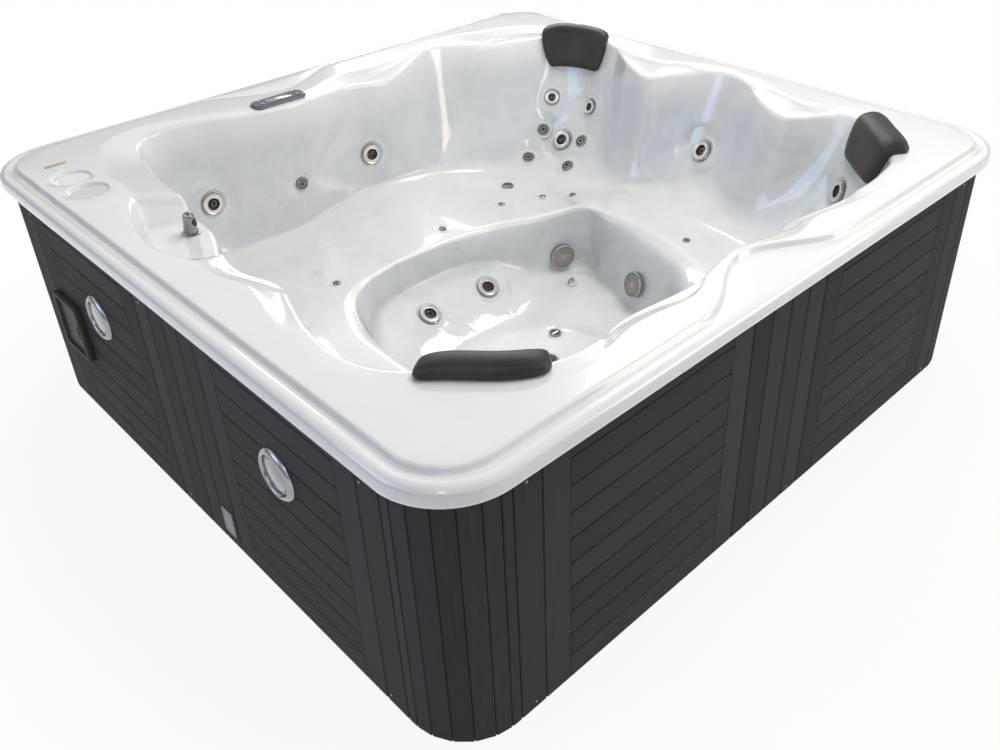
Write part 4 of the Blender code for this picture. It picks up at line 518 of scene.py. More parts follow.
# ---- mesh building
class MeshMaker:
    """Turns points and faces into pieces that ride on a body of the tub."""

    @staticmethod
    def mesh(points: Any, faces: Any, recalc: bool = False) -> bpy.types.Mesh:
        """Make a mesh.

        Args:
            points: rows of x, y, z.
            faces: lists of point numbers.
            recalc: turn the faces outward, for a closed body.

        Returns:
            The mesh.
        """
        data = bpy.data.meshes.new("piece")
        data.from_pydata([tuple(map(float, p)) for p in points], [],
                         [tuple(int(i) for i in f) for f in faces])
        if recalc:
            work = bmesh.new()
            work.from_mesh(data)
            bmesh.ops.recalc_face_normals(work, faces=work.faces)
            work.to_mesh(data)
            work.free()
        return data

    @staticmethod
    def joined(pieces: Sequence[bpy.types.Mesh]) -> bpy.types.Mesh:
        """Several meshes as one, with their face materials and attributes kept.

        Args:
            pieces: the meshes.

        Returns:
            A new mesh of all of them.
        """
        work = bmesh.new()
        for data in pieces:
            work.from_mesh(data)
        made = bpy.data.meshes.new("joined")
        work.to_mesh(made)
        work.free()
        return made

    @staticmethod
    def place(name: str, data: bpy.types.Mesh, finishes: Sequence[Finish], body: str,
              stands_for: Sequence[str], slot: str, smooth: float) -> bpy.types.Object:
        """Link a mesh as a finished piece.

        Args:
            name: the piece's name.
            data: its mesh, in the tub's own frame.
            finishes: one finish for each face material number.
            body: the body it rides on.
            stands_for: CAD nodes that it replaces.
            slot: not used.
            smooth: angle in degrees above which an edge stays sharp.

        Returns:
            The object.
        """
        data.name = name
        item = bpy.data.objects.new(name, data)
        bpy.context.scene.collection.objects.link(item)
        for finish in finishes:
            data.materials.append(finish.get())
        data.shade_smooth()
        if smooth < 180.0:
            data.set_sharp_from_angle(angle=math.radians(smooth))
        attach(item, body)
        if stands_for:
            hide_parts(*stands_for)
        LOG.info("%s: %d faces on %s", name, len(data.polygons), body)
        return item


def tube_faces(rings: int, sides: int) -> List[Tuple[int, ...]]:
    """Faces of a tube of rings that follow each other, each with the same count of points."""
    return [(gap * sides + step, gap * sides + (step + 1) % sides,
             (gap + 1) * sides + (step + 1) % sides, (gap + 1) * sides + step)
            for gap in range(rings - 1) for step in range(sides)]


def frame_for(axis: Point) -> Tuple[Vector, Vector, Vector]:
    """Two directions square to an axis, and the axis itself, unit long."""
    along = Vector(axis).normalized()
    helper = UP if abs(along.z) < 0.9 else Vector((0.0, 1.0, 0.0))
    across = helper.cross(along).normalized()
    return across, along.cross(across).normalized(), along


def lathe(profile: Sequence[Pair], origin: Point, axis: Point, steps: int = 48,
          bands: Optional[Sequence[int]] = None,
          wave: Optional[Callable[[int, float], float]] = None) -> bpy.types.Mesh:
    """Turn (radius, height) pairs about an axis.

    Args:
        profile: pairs from the back round to the front; a zero radius is a pole.
        origin: where height zero is.
        axis: direction of height.
        steps: how many sides.
        bands: face material number for each gap between pairs.
        wave: factor on the radius for a pair's number and an angle.

    Returns:
        A closed mesh; without poles the last pair joins the first.
    """
    across, up, along = frame_for(axis)
    start = Vector(origin)
    points: List[Vector] = []
    rings: List[List[int]] = []
    for index, (radius, height) in enumerate(profile):
        centre = start + along * height
        if radius == 0.0:
            rings.append([len(points)])
            points.append(centre)
            continue
        rings.append(list(range(len(points), len(points) + steps)))
        for step in range(steps):
            angle = math.tau * step / steps
            reach = radius * (wave(index, angle) if wave else 1.0)
            points.append(centre + (across * math.cos(angle) + up * math.sin(angle)) * reach)
    pairs = list(zip(rings, rings[1:]))
    if len(rings[0]) > 1 and len(rings[-1]) > 1:
        pairs.append((rings[-1], rings[0]))
    faces, marks = [], []
    for gap, (low, high) in enumerate(pairs):
        for step in range(steps):
            after = (step + 1) % steps
            if len(low) == 1:
                faces.append((low[0], high[step], high[after]))
            elif len(high) == 1:
                faces.append((low[step], low[after], high[0]))
            else:
                faces.append((low[step], low[after], high[after], high[step]))
            marks.append(bands[gap] if bands and gap < len(bands) else 0)
    data = MeshMaker.mesh(points, faces, recalc=True)
    data.polygons.foreach_set("material_index", marks)
    return data


def sweep(spots: Sequence[Vector], radii: Sequence[float], sides: int) -> bpy.types.Mesh:
    """A round bar with flat ends along a path.

    Args:
        spots: the points of its middle line.
        radii: its radius at each point.
        sides: how many sides it has.

    Returns:
        A closed mesh.
    """
    count = len(spots)
    points: List[Vector] = []
    normal = frame_for(spots[1] - spots[0])[0]
    for index, (spot, radius) in enumerate(zip(spots, radii)):
        ahead, behind = spots[min(index + 1, count - 1)], spots[max(index - 1, 0)]
        along = (ahead - behind).normalized()
        normal = (normal - along * normal.dot(along)).normalized()
        second = along.cross(normal)
        for step in range(sides):
            angle = math.tau * step / sides
            points.append(spot + (normal * math.cos(angle) + second * math.sin(angle)) * radius)
    faces = tube_faces(count, sides)
    faces += [tuple(range(sides)), tuple(range((count - 1) * sides, count * sides))]
    return MeshMaker.mesh(points, faces, recalc=True)


def rounded_rectangle(half_x: float, half_y: float, radius: float, steps: int) -> List[Pair]:
    """Points of a rounded rectangle about zero, anticlockwise.

    Args:
        half_x: half its size across.
        half_y: half its size along.
        radius: its corner radius.
        steps: how many spans each corner has.

    Returns:
        Pairs of x and y.
    """
    made = []
    for quarter, (sx, sy) in enumerate(((1, -1), (1, 1), (-1, 1), (-1, -1))):
        for step in range(steps + 1):
            angle = math.tau * (quarter - 1 + step / steps) / 4.0
            made.append((sx * (half_x - radius) + radius * math.cos(angle),
                         sy * (half_y - radius) + radius * math.sin(angle)))
    return made


def plate(layers: Sequence[Layer], centre: Point, axis: Point, across: Point, steps: int,
          bands: Optional[Sequence[int]] = None) -> bpy.types.Mesh:
    """A rounded rectangular body built from stacked outlines.

    Args:
        layers: half size across, half size along, corner radius and height of each layer.
        centre: where height zero is.
        axis: direction of height.
        across: direction of the first half size.
        steps: points in each corner.
        bands: face material number for each gap, then the two end caps.

    Returns:
        A closed mesh.
    """
    out = Vector(axis).normalized()
    side = Vector(across).normalized()
    up = out.cross(side)
    count = 4 * (steps + 1)
    points = [Vector(centre) + side * a + up * b + out * height
              for half_a, half_b, radius, height in layers
              for a, b in rounded_rectangle(half_a, half_b, min(radius, half_a, half_b), steps)]
    last = (len(layers) - 1) * count
    faces = tube_faces(len(layers), count)
    faces += [tuple(reversed(range(count))), tuple(range(last, last + count))]
    data = MeshMaker.mesh(points, faces, recalc=True)
    bands = bands or [0] * (len(layers) + 1)
    marks = [bands[gap] for gap in range(len(layers) - 1) for _ in range(count)]
    data.polygons.foreach_set("material_index", [*marks, *bands[-2:]])
    return data


def inset(half: Pair, rows: Sequence[Spot]) -> List[Layer]:
    """Plate layers of one half size from (inset, corner radius, height) rows."""
    return [(half[0] - pull, half[1] - pull, radius, height) for pull, radius, height in rows]


def mark_all(data: bpy.types.Mesh, number: int) -> bpy.types.Mesh:
    """Give every face of a mesh one material number."""
    data.polygons.foreach_set("material_index", [number] * len(data.polygons))
    return data


def carve(data: bpy.types.Mesh, tool: bpy.types.Mesh) -> bpy.types.Mesh:
    """Cut a closed mesh out of another.

    Args:
        data: the mesh that is cut.
        tool: the closed mesh that cuts it.

    Returns:
        What is left of the first mesh.
    """
    items = [bpy.data.objects.new("carve", part) for part in (data, tool)]
    for item in items:
        bpy.context.scene.collection.objects.link(item)
    step = items[0].modifiers.new("cut", "BOOLEAN")
    step.operation, step.solver, step.object = "DIFFERENCE", "EXACT", items[1]
    made = bpy.data.meshes.new_from_object(
        items[0].evaluated_get(bpy.context.evaluated_depsgraph_get()))
    for item in items:
        bpy.data.objects.remove(item, do_unlink=True)
    return made


def smoothstep(value: Any, low: float, high: float) -> Any:
    """Smooth step from zero at low to one at high, for arrays too."""
    share = np.clip((np.asarray(value) - low) / (high - low), 0.0, 1.0)
    return share * share * (3.0 - 2.0 * share)


# ---- the moulded shell
@dataclass(frozen=True)
class Ring:
    """A closed line round the pole, as shares of half length, half width and deck height."""

    shares: Tuple[Spot, ...]

    def at(self, bearing: np.ndarray, half: Pair, deck: float, pole_y: float
           ) -> Tuple[np.ndarray, np.ndarray]:
        """Radius and height for each bearing.

        Args:
            bearing: bearings from the pole, in radians.
            half: half length and half width.
            deck: deck height.
            pole_y: the pole's Y.

        Returns:
            Radii and heights.
        """
        rows = np.array(self.shares)
        x, y = rows[:, 0] * half[0], rows[:, 1] * half[1] - pole_y
        table = np.column_stack([np.arctan2(y, x), np.hypot(x, y), rows[:, 2] * deck])
        table = table[np.argsort(table[:, 0])]
        count = len(table)
        turn = (bearing - table[0, 0]) % math.tau + table[0, 0]
        index = np.searchsorted(table[:, 0], turn, side="right") - 1

        def row(step: int) -> np.ndarray:
            """Table rows a step away, with whole turns added."""
            place = index + step
            found = table[place % count].copy()
            found[:, 0] += (place // count) * math.tau
            return found
        before, here, there, beyond = (row(step) for step in (-1, 0, 1, 2))
        span = there[:, 0] - here[:, 0]
        share = (turn - here[:, 0]) / span
        cube, square = share ** 3, share ** 2
        values = []
        for part in (1, 2):
            lead = (there[:, part] - before[:, part]) / (there[:, 0] - before[:, 0]) * span
            tail = (beyond[:, part] - here[:, part]) / (beyond[:, 0] - here[:, 0]) * span
            values.append((2 * cube - 3 * square + 1) * here[:, part]
                          + (cube - 2 * square + share) * lead
                          + (3 * square - 2 * cube) * there[:, part]
                          + (cube - square) * tail)
        return values[0], values[1]


LIP = Ring((
    (-0.73, -0.71, 0.995), (-0.63, -0.81, 0.995), (-0.51, -0.84, 0.99), (-0.36, -0.80, 0.965),
    (-0.20, -0.835, 0.99), (0.0, -0.82, 0.995), (0.11, -0.84, 0.99), (0.22, -0.805, 0.965),
    (0.37, -0.85, 0.99), (0.55, -0.85, 0.995), (0.66, -0.82, 0.995), (0.745, -0.735, 0.995),
    (0.83, -0.62, 0.995), (0.82, -0.53, 0.99), (0.765, -0.42, 0.965), (0.785, -0.32, 0.98),
    (0.865, -0.20, 0.995), (0.895, -0.09, 0.995), (0.84, 0.03, 0.985), (0.755, 0.125, 0.965),
    (0.79, 0.24, 0.98), (0.85, 0.35, 0.995), (0.865, 0.48, 0.995), (0.82, 0.60, 0.995),
    (0.73, 0.68, 0.975), (0.60, 0.76, 0.97), (0.50, 0.82, 0.985), (0.40, 0.835, 0.995),
    (0.27, 0.77, 0.985), (0.15, 0.735, 0.965), (0.03, 0.755, 0.98), (-0.08, 0.73, 0.99),
    (-0.22, 0.715, 0.995), (-0.36, 0.75, 0.995), (-0.50, 0.815, 0.995), (-0.60, 0.82, 0.99),
    (-0.66, 0.76, 0.985), (-0.69, 0.64, 0.98), (-0.715, 0.50, 0.985), (-0.72, 0.37, 0.985),
    (-0.73, 0.22, 0.985), (-0.79, 0.05, 0.985), (-0.80, -0.06, 0.98), (-0.765, -0.16, 0.965),
    (-0.80, -0.27, 0.98), (-0.835, -0.38, 0.995), (-0.85, -0.50, 0.995), (-0.82, -0.61, 0.995)))
WALL_FOOT = Ring((
    (-0.60, -0.60, 0.50), (-0.45, -0.72, 0.50), (-0.28, -0.74, 0.50), (0.0, -0.745, 0.50),
    (0.20, -0.73, 0.50), (0.42, -0.74, 0.50), (0.60, -0.60, 0.50), (0.655, -0.40, 0.50),
    (0.68, -0.22, 0.50), (0.70, -0.05, 0.48), (0.655, 0.12, 0.46), (0.62, 0.28, 0.42),
    (0.60, 0.42, 0.40), (0.50, 0.58, 0.40), (0.38, 0.66, 0.42), (0.22, 0.69, 0.46),
    (0.10, 0.71, 0.47), (-0.18, 0.715, 0.42), (-0.40, 0.74, 0.39), (-0.52, 0.72, 0.39),
    (-0.60, 0.55, 0.40), (-0.62, 0.30, 0.44), (-0.66, 0.10, 0.50), (-0.68, -0.12, 0.50),
    (-0.70, -0.40, 0.50)))
SEAT = Ring((
    (-0.54, -0.54, 0.455), (-0.40, -0.62, 0.455), (0.0, -0.66, 0.455), (0.40, -0.64, 0.455),
    (0.54, -0.52, 0.455), (0.59, -0.35, 0.455), (0.60, -0.18, 0.455), (0.60, 0.0, 0.45),
    (0.58, 0.13, 0.43), (0.50, 0.28, 0.40), (0.44, 0.42, 0.39), (0.32, 0.52, 0.40),
    (0.17, 0.56, 0.455), (0.02, 0.60, 0.46), (-0.15, 0.56, 0.43), (-0.34, 0.51, 0.42),
    (-0.48, 0.50, 0.43), (-0.54, 0.35, 0.44), (-0.58, 0.10, 0.455), (-0.60, -0.15, 0.455),
    (-0.60, -0.38, 0.455)))
WELL_LIP = Ring((
    (-0.46, -0.42, 0.45), (-0.34, -0.50, 0.45), (0.0, -0.52, 0.45), (0.30, -0.49, 0.45),
    (0.40, -0.40, 0.45), (0.445, -0.30, 0.45), (0.465, -0.18, 0.45), (0.47, -0.02, 0.45),
    (0.445, 0.12, 0.45), (0.37, 0.16, 0.44), (0.29, 0.20, 0.43), (0.20, 0.255, 0.42),
    (0.08, 0.28, 0.42), (-0.07, 0.285, 0.43), (-0.22, 0.27, 0.44), (-0.32, 0.245, 0.445),
    (-0.40, 0.19, 0.45), (-0.445, 0.11, 0.45), (-0.475, 0.02, 0.45), (-0.485, -0.10, 0.45),
    (-0.485, -0.25, 0.45)))
FLOOR_EDGE = Ring((
    (-0.38, -0.36, 0.12), (-0.25, -0.43, 0.12), (0.0, -0.45, 0.12), (0.20, -0.42, 0.12),
    (0.31, -0.32, 0.12), (0.37, -0.17, 0.12), (0.41, -0.05, 0.12), (0.425, 0.0, 0.12),
    (0.46, 0.09, 0.12), (0.33, 0.15, 0.14), (0.24, 0.185, 0.19), (0.15, 0.225, 0.25),
    (0.04, 0.265, 0.27), (-0.07, 0.275, 0.27), (-0.20, 0.265, 0.27), (-0.30, 0.225, 0.26),
    (-0.37, 0.14, 0.23), (-0.41, 0.02, 0.16), (-0.42, -0.10, 0.12), (-0.42, -0.22, 0.12)))
RAMP_FOOT = Ring((
    (-0.34, -0.33, 0.118), (-0.22, -0.39, 0.118), (0.0, -0.41, 0.118), (0.18, -0.38, 0.118),
    (0.28, -0.30, 0.118), (0.335, -0.17, 0.118), (0.36, -0.03, 0.118), (0.28, 0.045, 0.118),
    (0.12, 0.075, 0.118), (-0.05, 0.08, 0.118), (-0.20, 0.07, 0.118), (-0.32, 0.03, 0.118),
    (-0.37, -0.05, 0.118), (-0.375, -0.20, 0.118)))


@dataclass(frozen=True)
class Shelf:
    """A shallow crescent pressed into the deck, sloping down to the lip."""

    turn: float
    reach: float
    width: float
    depth: float = 0.007


@dataclass(frozen=True)
class Seat:
    """Where a round fitting sits in the shell, and how the moulding meets it."""

    spot: Spot
    normal: Spot
    radius: float
    halo: float = 1.30


@dataclass
class MouldedShell:
    """The acrylic shell: rim roll, ledge, raised step, deck, walls, seats and footwell."""

    half: Pair = SHELL_HALF
    deck: float = DECK
    rim_drop: float = 0.047
    corner: float = 0.180
    floor: float = 0.0880
    pole: Pair = POLE
    skin: float = 0.007
    scallops: Tuple[Pair, Pair] = ((-0.030, -1.0), (-0.170, 1.0))
    scallop_depth: float = 0.112
    scallop_half: float = 0.280
    # turns at which the alcove starts and ends and where it reaches furthest out
    alcove_turns: Spot = (0.412, 0.474, 0.4545)
    alcove_ease: float = 0.0034
    alcove_depth: float = 0.055
    stations: int = 500
    shelves: Tuple[Shelf, ...] = (
        Shelf(0.0445, 0.075, 0.0290), Shelf(0.9500, 0.075, 0.0285), Shelf(0.1310, 0.058, 0.0235),
        Shelf(0.2160, 0.060, 0.0330), Shelf(0.6880, 0.060, 0.0330), Shelf(0.8060, 0.055, 0.0290),
        Shelf(0.4990, 0.060, 0.0230))
    seats: List[Seat] = field(default_factory=list)
    cups: Tuple[Pair, Pair] = ((-0.962, 0.600), (-0.962, 0.712))
    cup_radius: float = 0.052
    cup_depth: float = 0.022

    # share of the way in and down from lip to wall foot
    wall: Tuple[Pair, ...] = ((0.05, 0.07), (0.24, 0.38), (0.50, 0.70), (0.76, 0.90))

    def rim(self) -> Tuple[np.ndarray, np.ndarray]:
        """Points evenly round the rim and the outward direction at each."""
        flats = (self.half[0] - self.corner, self.half[1] - self.corner)
        arc = math.tau * self.corner / 4.0
        total = 4.0 * arc + 4.0 * (flats[0] + flats[1])
        spots, outs = [], []
        for step in range(self.stations):
            along = total * step / self.stations
            for side in range(4):
                flat = 2.0 * flats[side % 2]
                turn = math.tau * (side - 1) / 4.0
                out = np.array([math.cos(turn), math.sin(turn)])
                run = np.array([-out[1], out[0]])
                reach = self.half[(side + 1) % 2]
                if along < flat:
                    spots.append(out * reach + run * (along - flat / 2.0))
                    outs.append(out)
                    break
                along -= flat
                if along < arc:
                    angle = turn + along / self.corner
                    out_here = np.array([math.cos(angle), math.sin(angle)])
                    centre = out * (reach - self.corner) + run * flat / 2.0
                    spots.append(centre + out_here * self.corner)
                    outs.append(out_here)
                    break
                along -= arc
        return np.array(spots), np.array(outs)

    def controls(self) -> Tuple[np.ndarray, np.ndarray]:
        """Control points from rim foot to pole for every station, and the bearings."""
        spots, outs = self.rim()
        pole = np.array(self.pole)
        away = spots - pole
        bearing = np.arctan2(away[:, 1], away[:, 0])
        turn = (bearing / math.tau) % 1.0
        draw = np.zeros(len(spots))
        for centre, side in self.scallops:
            on_side = outs[:, 1] * side > 0.999
            reach = np.clip(np.abs(spots[:, 0] - centre) / self.scallop_half, 0.0, 1.0)
            draw += on_side * self.scallop_depth * (1.0 + np.cos(math.pi * reach)) / 2.0
        low, high, middle = self.alcove_turns
        ease = self.alcove_ease
        share = smoothstep(turn, low - ease, low + ease) * (
            1.0 - smoothstep(turn, high - ease, high + ease))
        drop = self.alcove_depth * share
        lip, foot, seat, well, edge, ramp = (
            ring.at(bearing, self.half, self.deck, pole[1])
            for ring in (LIP, WALL_FOOT, SEAT, WELL_LIP, FLOOR_EDGE, RAMP_FOOT))
        lip = (lip[0], lip[1] * (1.0 - share) + self.deck * share - drop)
        base = self.deck - self.rim_drop

        def from_rim(inset: Any, height: float) -> np.ndarray:
            """Points moved in from the rim, at one height."""
            plan = spots - outs * np.broadcast_to(np.asarray(inset), draw.shape)[:, None]
            return np.column_stack([plan, np.full(len(plan), height)])

        def from_pole(radius: np.ndarray, height: Any) -> np.ndarray:
            """Points on each bearing at a radius and height."""
            tall = np.broadcast_to(np.asarray(height, dtype=float), radius.shape)
            return np.column_stack([pole[0] + radius * np.cos(bearing),
                                    pole[1] + radius * np.sin(bearing), tall])

        def between(first: Any, second: Any, inward: float, down: float) -> np.ndarray:
            """A line part of the way in and down from one ring to the next."""
            return from_pole(first[0] + (second[0] - first[0]) * inward,
                             first[1] + (second[1] - first[1]) * down)

        outer = [from_rim(0.0040, base - 0.006), from_rim(0.0, base + 0.006),
                 from_rim(0.0022, base + 0.0275), from_rim(0.0190, base + 0.0385),
                 from_rim(0.0455 + draw, base + 0.0320), from_rim(0.0530 + draw, self.deck)]
        step_radius = np.hypot(*(outer[-1][:, :2] - pole).T)
        room = np.minimum(0.030, (step_radius - lip[0]) * 0.45)
        shoulder = (lip[0] + room, lip[1] + 0.003 * (1.0 - share))
        reach = np.where(turn < middle, (turn - middle) / (middle - low),
                         (turn - middle) / (high - middle))
        near = 0.34 + 0.30 * np.minimum(reach * reach, 1.0)
        gap = shoulder[0] - step_radius
        inner = [from_pole(step_radius + gap * near, self.deck),
                 from_pole(step_radius + gap * (near + 0.07), self.deck - drop),
                 from_pole(*shoulder), from_pole(*lip),
                 *(between(lip, foot, inward, down) for inward, down in self.wall),
                 from_pole(*foot),
                 from_pole((foot[0] + seat[0]) / 2.0, (foot[1] + seat[1]) / 2.0 - 0.004),
                 from_pole(*seat), between(seat, well, 0.6, 0.6), from_pole(*well),
                 between(well, edge, 0.45, 0.12), between(well, edge, 0.80, 0.60),
                 from_pole(*edge), from_pole(*ramp), from_pole(ramp[0] * 0.5, ramp[1])]
        centre = np.tile(np.array([*pole, self.floor]), (len(spots), 1))
        return np.stack(outer + inner + [centre], axis=1), bearing

    # numbers of the control lines at the lip and where the deck's run to it starts
    LIP_LINE = 9
    DECK_LINE = 7
    # the underside keeps every fifth station, these rings, and every fifth from there on
    UNDER_STEP = 5
    UNDER_RINGS = (0, 6)
    UNDER_FROM = 22
    # cup holders are pressed only into what lies above this height
    CUP_LEVEL = 0.70
    CUP_STEPS = 72
    # corner cut in metres, samples round the corner, samples on the run that follows
    CORNERS = (
        (0.5, 5, 2), (0.5, 8, 2), (0.5, 8, 3), (0.0045, 4, 1), (0.0055, 5, 4),
        (0.008, 4, 3), (0.014, 4, 14), (0.020, 3, 2), (0.013, 8, 2), (0.5, 6, 3), (0.5, 8, 4),
        (0.5, 8, 4), (0.5, 8, 2), (0.5, 9, 2), (0.5, 7, 3), (0.5, 6, 4), (0.5, 6, 3),
        (0.020, 7, 4), (0.5, 8, 5), (0.5, 9, 5), (0.5, 8, 3), (0.5, 5, 4), (0.5, 3, 3))

    def sheet(self) -> Tuple[np.ndarray, np.ndarray, List[int]]:
        """The top surface as a grid (station, ring, xyz), bearings and the ring numbers."""
        points, bearing = self.controls()
        runs = points[:, 1:] - points[:, :-1]
        lengths = np.linalg.norm(runs, axis=2)
        units = runs / np.maximum(lengths, 1e-9)[:, :, None]
        rows = [points[:, 0]]
        marks = [0]
        leave = points[:, 0]
        for index, (cut, samples, after) in enumerate(self.CORNERS, start=1):
            room_in = lengths[:, index - 1] * 0.5
            room_out = lengths[:, index] * 0.5
            reach_in = np.minimum(room_in, cut)[:, None]
            reach_out = np.minimum(room_out, cut)[:, None]
            corner = points[:, index]
            start = corner - units[:, index - 1] * reach_in
            end = corner + units[:, index] * reach_out
            if index == 1:
                rows.append((leave + start) / 2.0)
                rows.append(start)
            for step in range(1, samples + 1):
                t = step / samples
                rows.append(start * (1 - t) ** 2 + corner * 2 * t * (1 - t) + end * t * t)
            marks.append(len(rows) - samples // 2 - 1)
            following = points[:, index + 1]
            cut_next = self.CORNERS[index][0] if index < len(self.CORNERS) else 0.0
            last = following - units[:, index] * np.minimum(
                lengths[:, index] * 0.5, cut_next)[:, None]
            straight = float(np.abs(last - end).max()) > 1e-6
            for step in range(1, after + 1 if straight else 1):
                t = step / after
                if index == self.DECK_LINE:
                    t = 1.0 - (1.0 - t) ** 1.35
                if index == len(self.CORNERS) and step == after:
                    break
                rows.append(end + (last - end) * t)
            leave = last
        return np.stack(rows, axis=1), bearing, marks

    def press(self, grid: np.ndarray, bearing: np.ndarray, marks: List[int]) -> None:
        """Press the crescent shelves, the fittings' flats and the cup wells into the grid.

        Args:
            grid: the top surface, changed in place.
            bearing: the stations' bearings.
            marks: the ring numbers of the control lines.
        """
        pole = np.array([*self.pole, 0.0])
        radius = np.hypot(grid[:, :, 0] - pole[0], grid[:, :, 1] - pole[1])
        lip_ring = marks[self.LIP_LINE]
        out = radius - radius[:, lip_ring:lip_ring + 1]
        turn = (bearing / math.tau) % 1.0
        deck_side = np.arange(grid.shape[1])[None, :] <= lip_ring + 12
        for shelf in self.shelves:
            away = (turn - shelf.turn + 0.5) % 1.0 - 0.5
            reach = shelf.reach * (1.0 - (away / shelf.width) ** 2)
            mask = smoothstep(reach[:, None] - out, 0.0, 0.009) * deck_side
            mask = mask * smoothstep(out, -0.035, -0.004) * (reach[:, None] > 0.0)
            slope = 0.55 + 0.45 * np.clip(1.0 - out / shelf.reach, 0.0, 1.0)
            grid[:, :, 2] -= shelf.depth * mask * slope
        for seat in sorted(self.seats, key=lambda item: item.radius):
            centre, normal = np.array(seat.spot), np.array(seat.normal)
            normal = normal / np.linalg.norm(normal)
            away = grid - centre
            height = away @ normal
            flat = np.linalg.norm(away - height[:, :, None] * normal, axis=2)
            close = np.abs(height) < 0.06
            hold = seat.radius * seat.halo + 0.012
            weight = close * (1.0 - smoothstep(flat, hold, hold * 1.35 + 0.012))
            dip = close * 0.009 * (1.0 - smoothstep(flat, seat.radius * 0.80, seat.radius * 1.15))
            grid -= (weight * height + dip)[:, :, None] * normal
        for x, y in self.cups:
            flat = np.hypot(grid[:, :, 0] - x, grid[:, :, 1] - y)
            top = grid[:, :, 2] > self.CUP_LEVEL
            weight = top * (1.0 - smoothstep(flat, self.cup_radius + 0.026,
                                             self.cup_radius + 0.045))
            grid[:, :, 2] += weight * (self.deck - grid[:, :, 2])
            dip = top * (1.0 - smoothstep(flat, self.cup_radius - 0.010,
                                          self.cup_radius + 0.0035))
            grid[:, :, 2] -= dip * (self.cup_depth + 0.006)

    def near_cup(self, points: np.ndarray) -> np.ndarray:
        """True for the deck's points that the cup holders take the place of."""
        flat = np.stack([np.hypot(points[..., 0] - x, points[..., 1] - y) for x, y in self.cups])
        return (flat.min(axis=0) < self.cup_radius + 0.006) & (points[..., 2] > self.CUP_LEVEL)

    def add_cups(self, data: bpy.types.Mesh) -> None:
        """Fill the gap left in the deck with two round cup holders.

        Args:
            data: the shell's mesh, open only round the cup holders.
        """
        r, deep, steps = self.cup_radius, self.cup_depth, self.CUP_STEPS
        rows = [(r + 0.0030, 0.0), (r + 0.0018, -0.0003), (r + 0.0006, -0.0012),
                (r - 0.0004, -0.0030), (r - 0.0010, -0.0065), (r - 0.0026, -deep + 0.0080),
                (r - 0.0052, -deep + 0.0038), (r - 0.0092, -deep + 0.0012),
                (r - 0.0150, -deep), (r * 0.45, -deep + 0.0004)]
        work = bmesh.new()
        work.from_mesh(data)
        bmesh.ops.delete(work, geom=[v for v in work.verts if not v.link_faces], context="VERTS")
        open_edges = [edge for edge in work.edges if edge.is_boundary]
        for x, y in self.cups:
            rings = [[work.verts.new((x + radius * math.cos(math.tau * step / steps),
                                      y + radius * math.sin(math.tau * step / steps),
                                      self.deck + height)) for step in range(steps)]
                     for radius, height in rows]
            for low, high in zip(rings, rings[1:]):
                for step in range(steps):
                    after = (step + 1) % steps
                    work.faces.new((low[step], low[after], high[after], high[step]))
            work.faces.new(rings[-1])
            open_edges += [work.edges.get((rings[0][step], rings[0][(step + 1) % steps]))
                           for step in range(steps)]
        bmesh.ops.triangle_fill(work, use_beauty=True, use_dissolve=False, edges=open_edges,
                                normal=UP)
        bmesh.ops.recalc_face_normals(work, faces=work.faces)
        work.to_mesh(data)
        work.free()

    def halo(self, seat: Seat) -> bpy.types.Mesh:
        """The moulded dish and soft ring that a fitting sits in.

        Args:
            seat: the fitting's seat.

        Returns:
            A closed mesh.
        """
        r, outer = seat.radius, seat.radius * seat.halo
        rows = [(outer + 0.0075, -0.0030), (outer + 0.0070, 0.0003), (outer + 0.0025, 0.0006),
                (outer, 0.0010), (outer - 0.0020, 0.0004), (outer - 0.0045, -0.0016),
                (r + (outer - r) * 0.35, -0.0024), (r * 1.02, -0.0026), (r * 0.80, -0.0030),
                (r * 0.80, -0.0060), (outer, -0.0060)]
        return lathe(rows, seat.spot, seat.normal, 56)

    def build(self) -> bpy.types.Object:
        """Build the shell and put it on the tub.

        Returns:
            The shell's object.
        """
        grid, bearing, marks = self.sheet()
        self.press(grid, bearing, marks)
        count, rings = grid.shape[0], grid.shape[1]
        ahead = np.roll(grid, -1, axis=0) - np.roll(grid, 1, axis=0)
        inward = np.gradient(grid, axis=1)
        normal = np.cross(inward, ahead)
        normal /= np.maximum(np.linalg.norm(normal, axis=2), 1e-9)[:, :, None]
        if normal[:, marks[self.DECK_LINE], 2].mean() < 0.0:
            normal = -normal
        stride = self.UNDER_STEP
        picked = [*self.UNDER_RINGS, *range(self.UNDER_FROM, rings - 3, stride)]
        coarse = grid[::stride][:, picked] - normal[::stride][:, picked] * self.skin
        coarse[:, 0] = grid[::stride, 0] - np.column_stack(
            [*(self.rim()[1][::stride].T * self.skin), np.zeros(count // stride)])
        points = np.concatenate([grid.reshape(-1, 3), [[*self.pole, self.floor]],
                                 coarse.reshape(-1, 3), [[*self.pole, self.floor - self.skin]]])
        top_pole = count * rings
        base = top_pole + 1
        under_count, under_rings = coarse.shape[0], coarse.shape[1]
        under_pole = base + under_count * under_rings
        taken = self.near_cup(grid.reshape(-1, 3))
        faces: List[Tuple[int, ...]] = []
        for station in range(count):
            after = (station + 1) % count
            here, there = station * rings, after * rings
            for ring in range(rings - 1):
                corners = (here + ring, there + ring, there + ring + 1, here + ring + 1)
                if not taken[list(corners)].any():
                    faces.append(corners)
            faces.append((here + rings - 1, there + rings - 1, top_pole))
        for station in range(under_count):
            after = (station + 1) % under_count
            here, there = base + station * under_rings, base + after * under_rings
            for ring in range(under_rings - 1):
                faces.append((here + ring + 1, there + ring + 1, there + ring, here + ring))
            faces.append((under_pole, there + under_rings - 1, here + under_rings - 1))
            for step in range(stride):
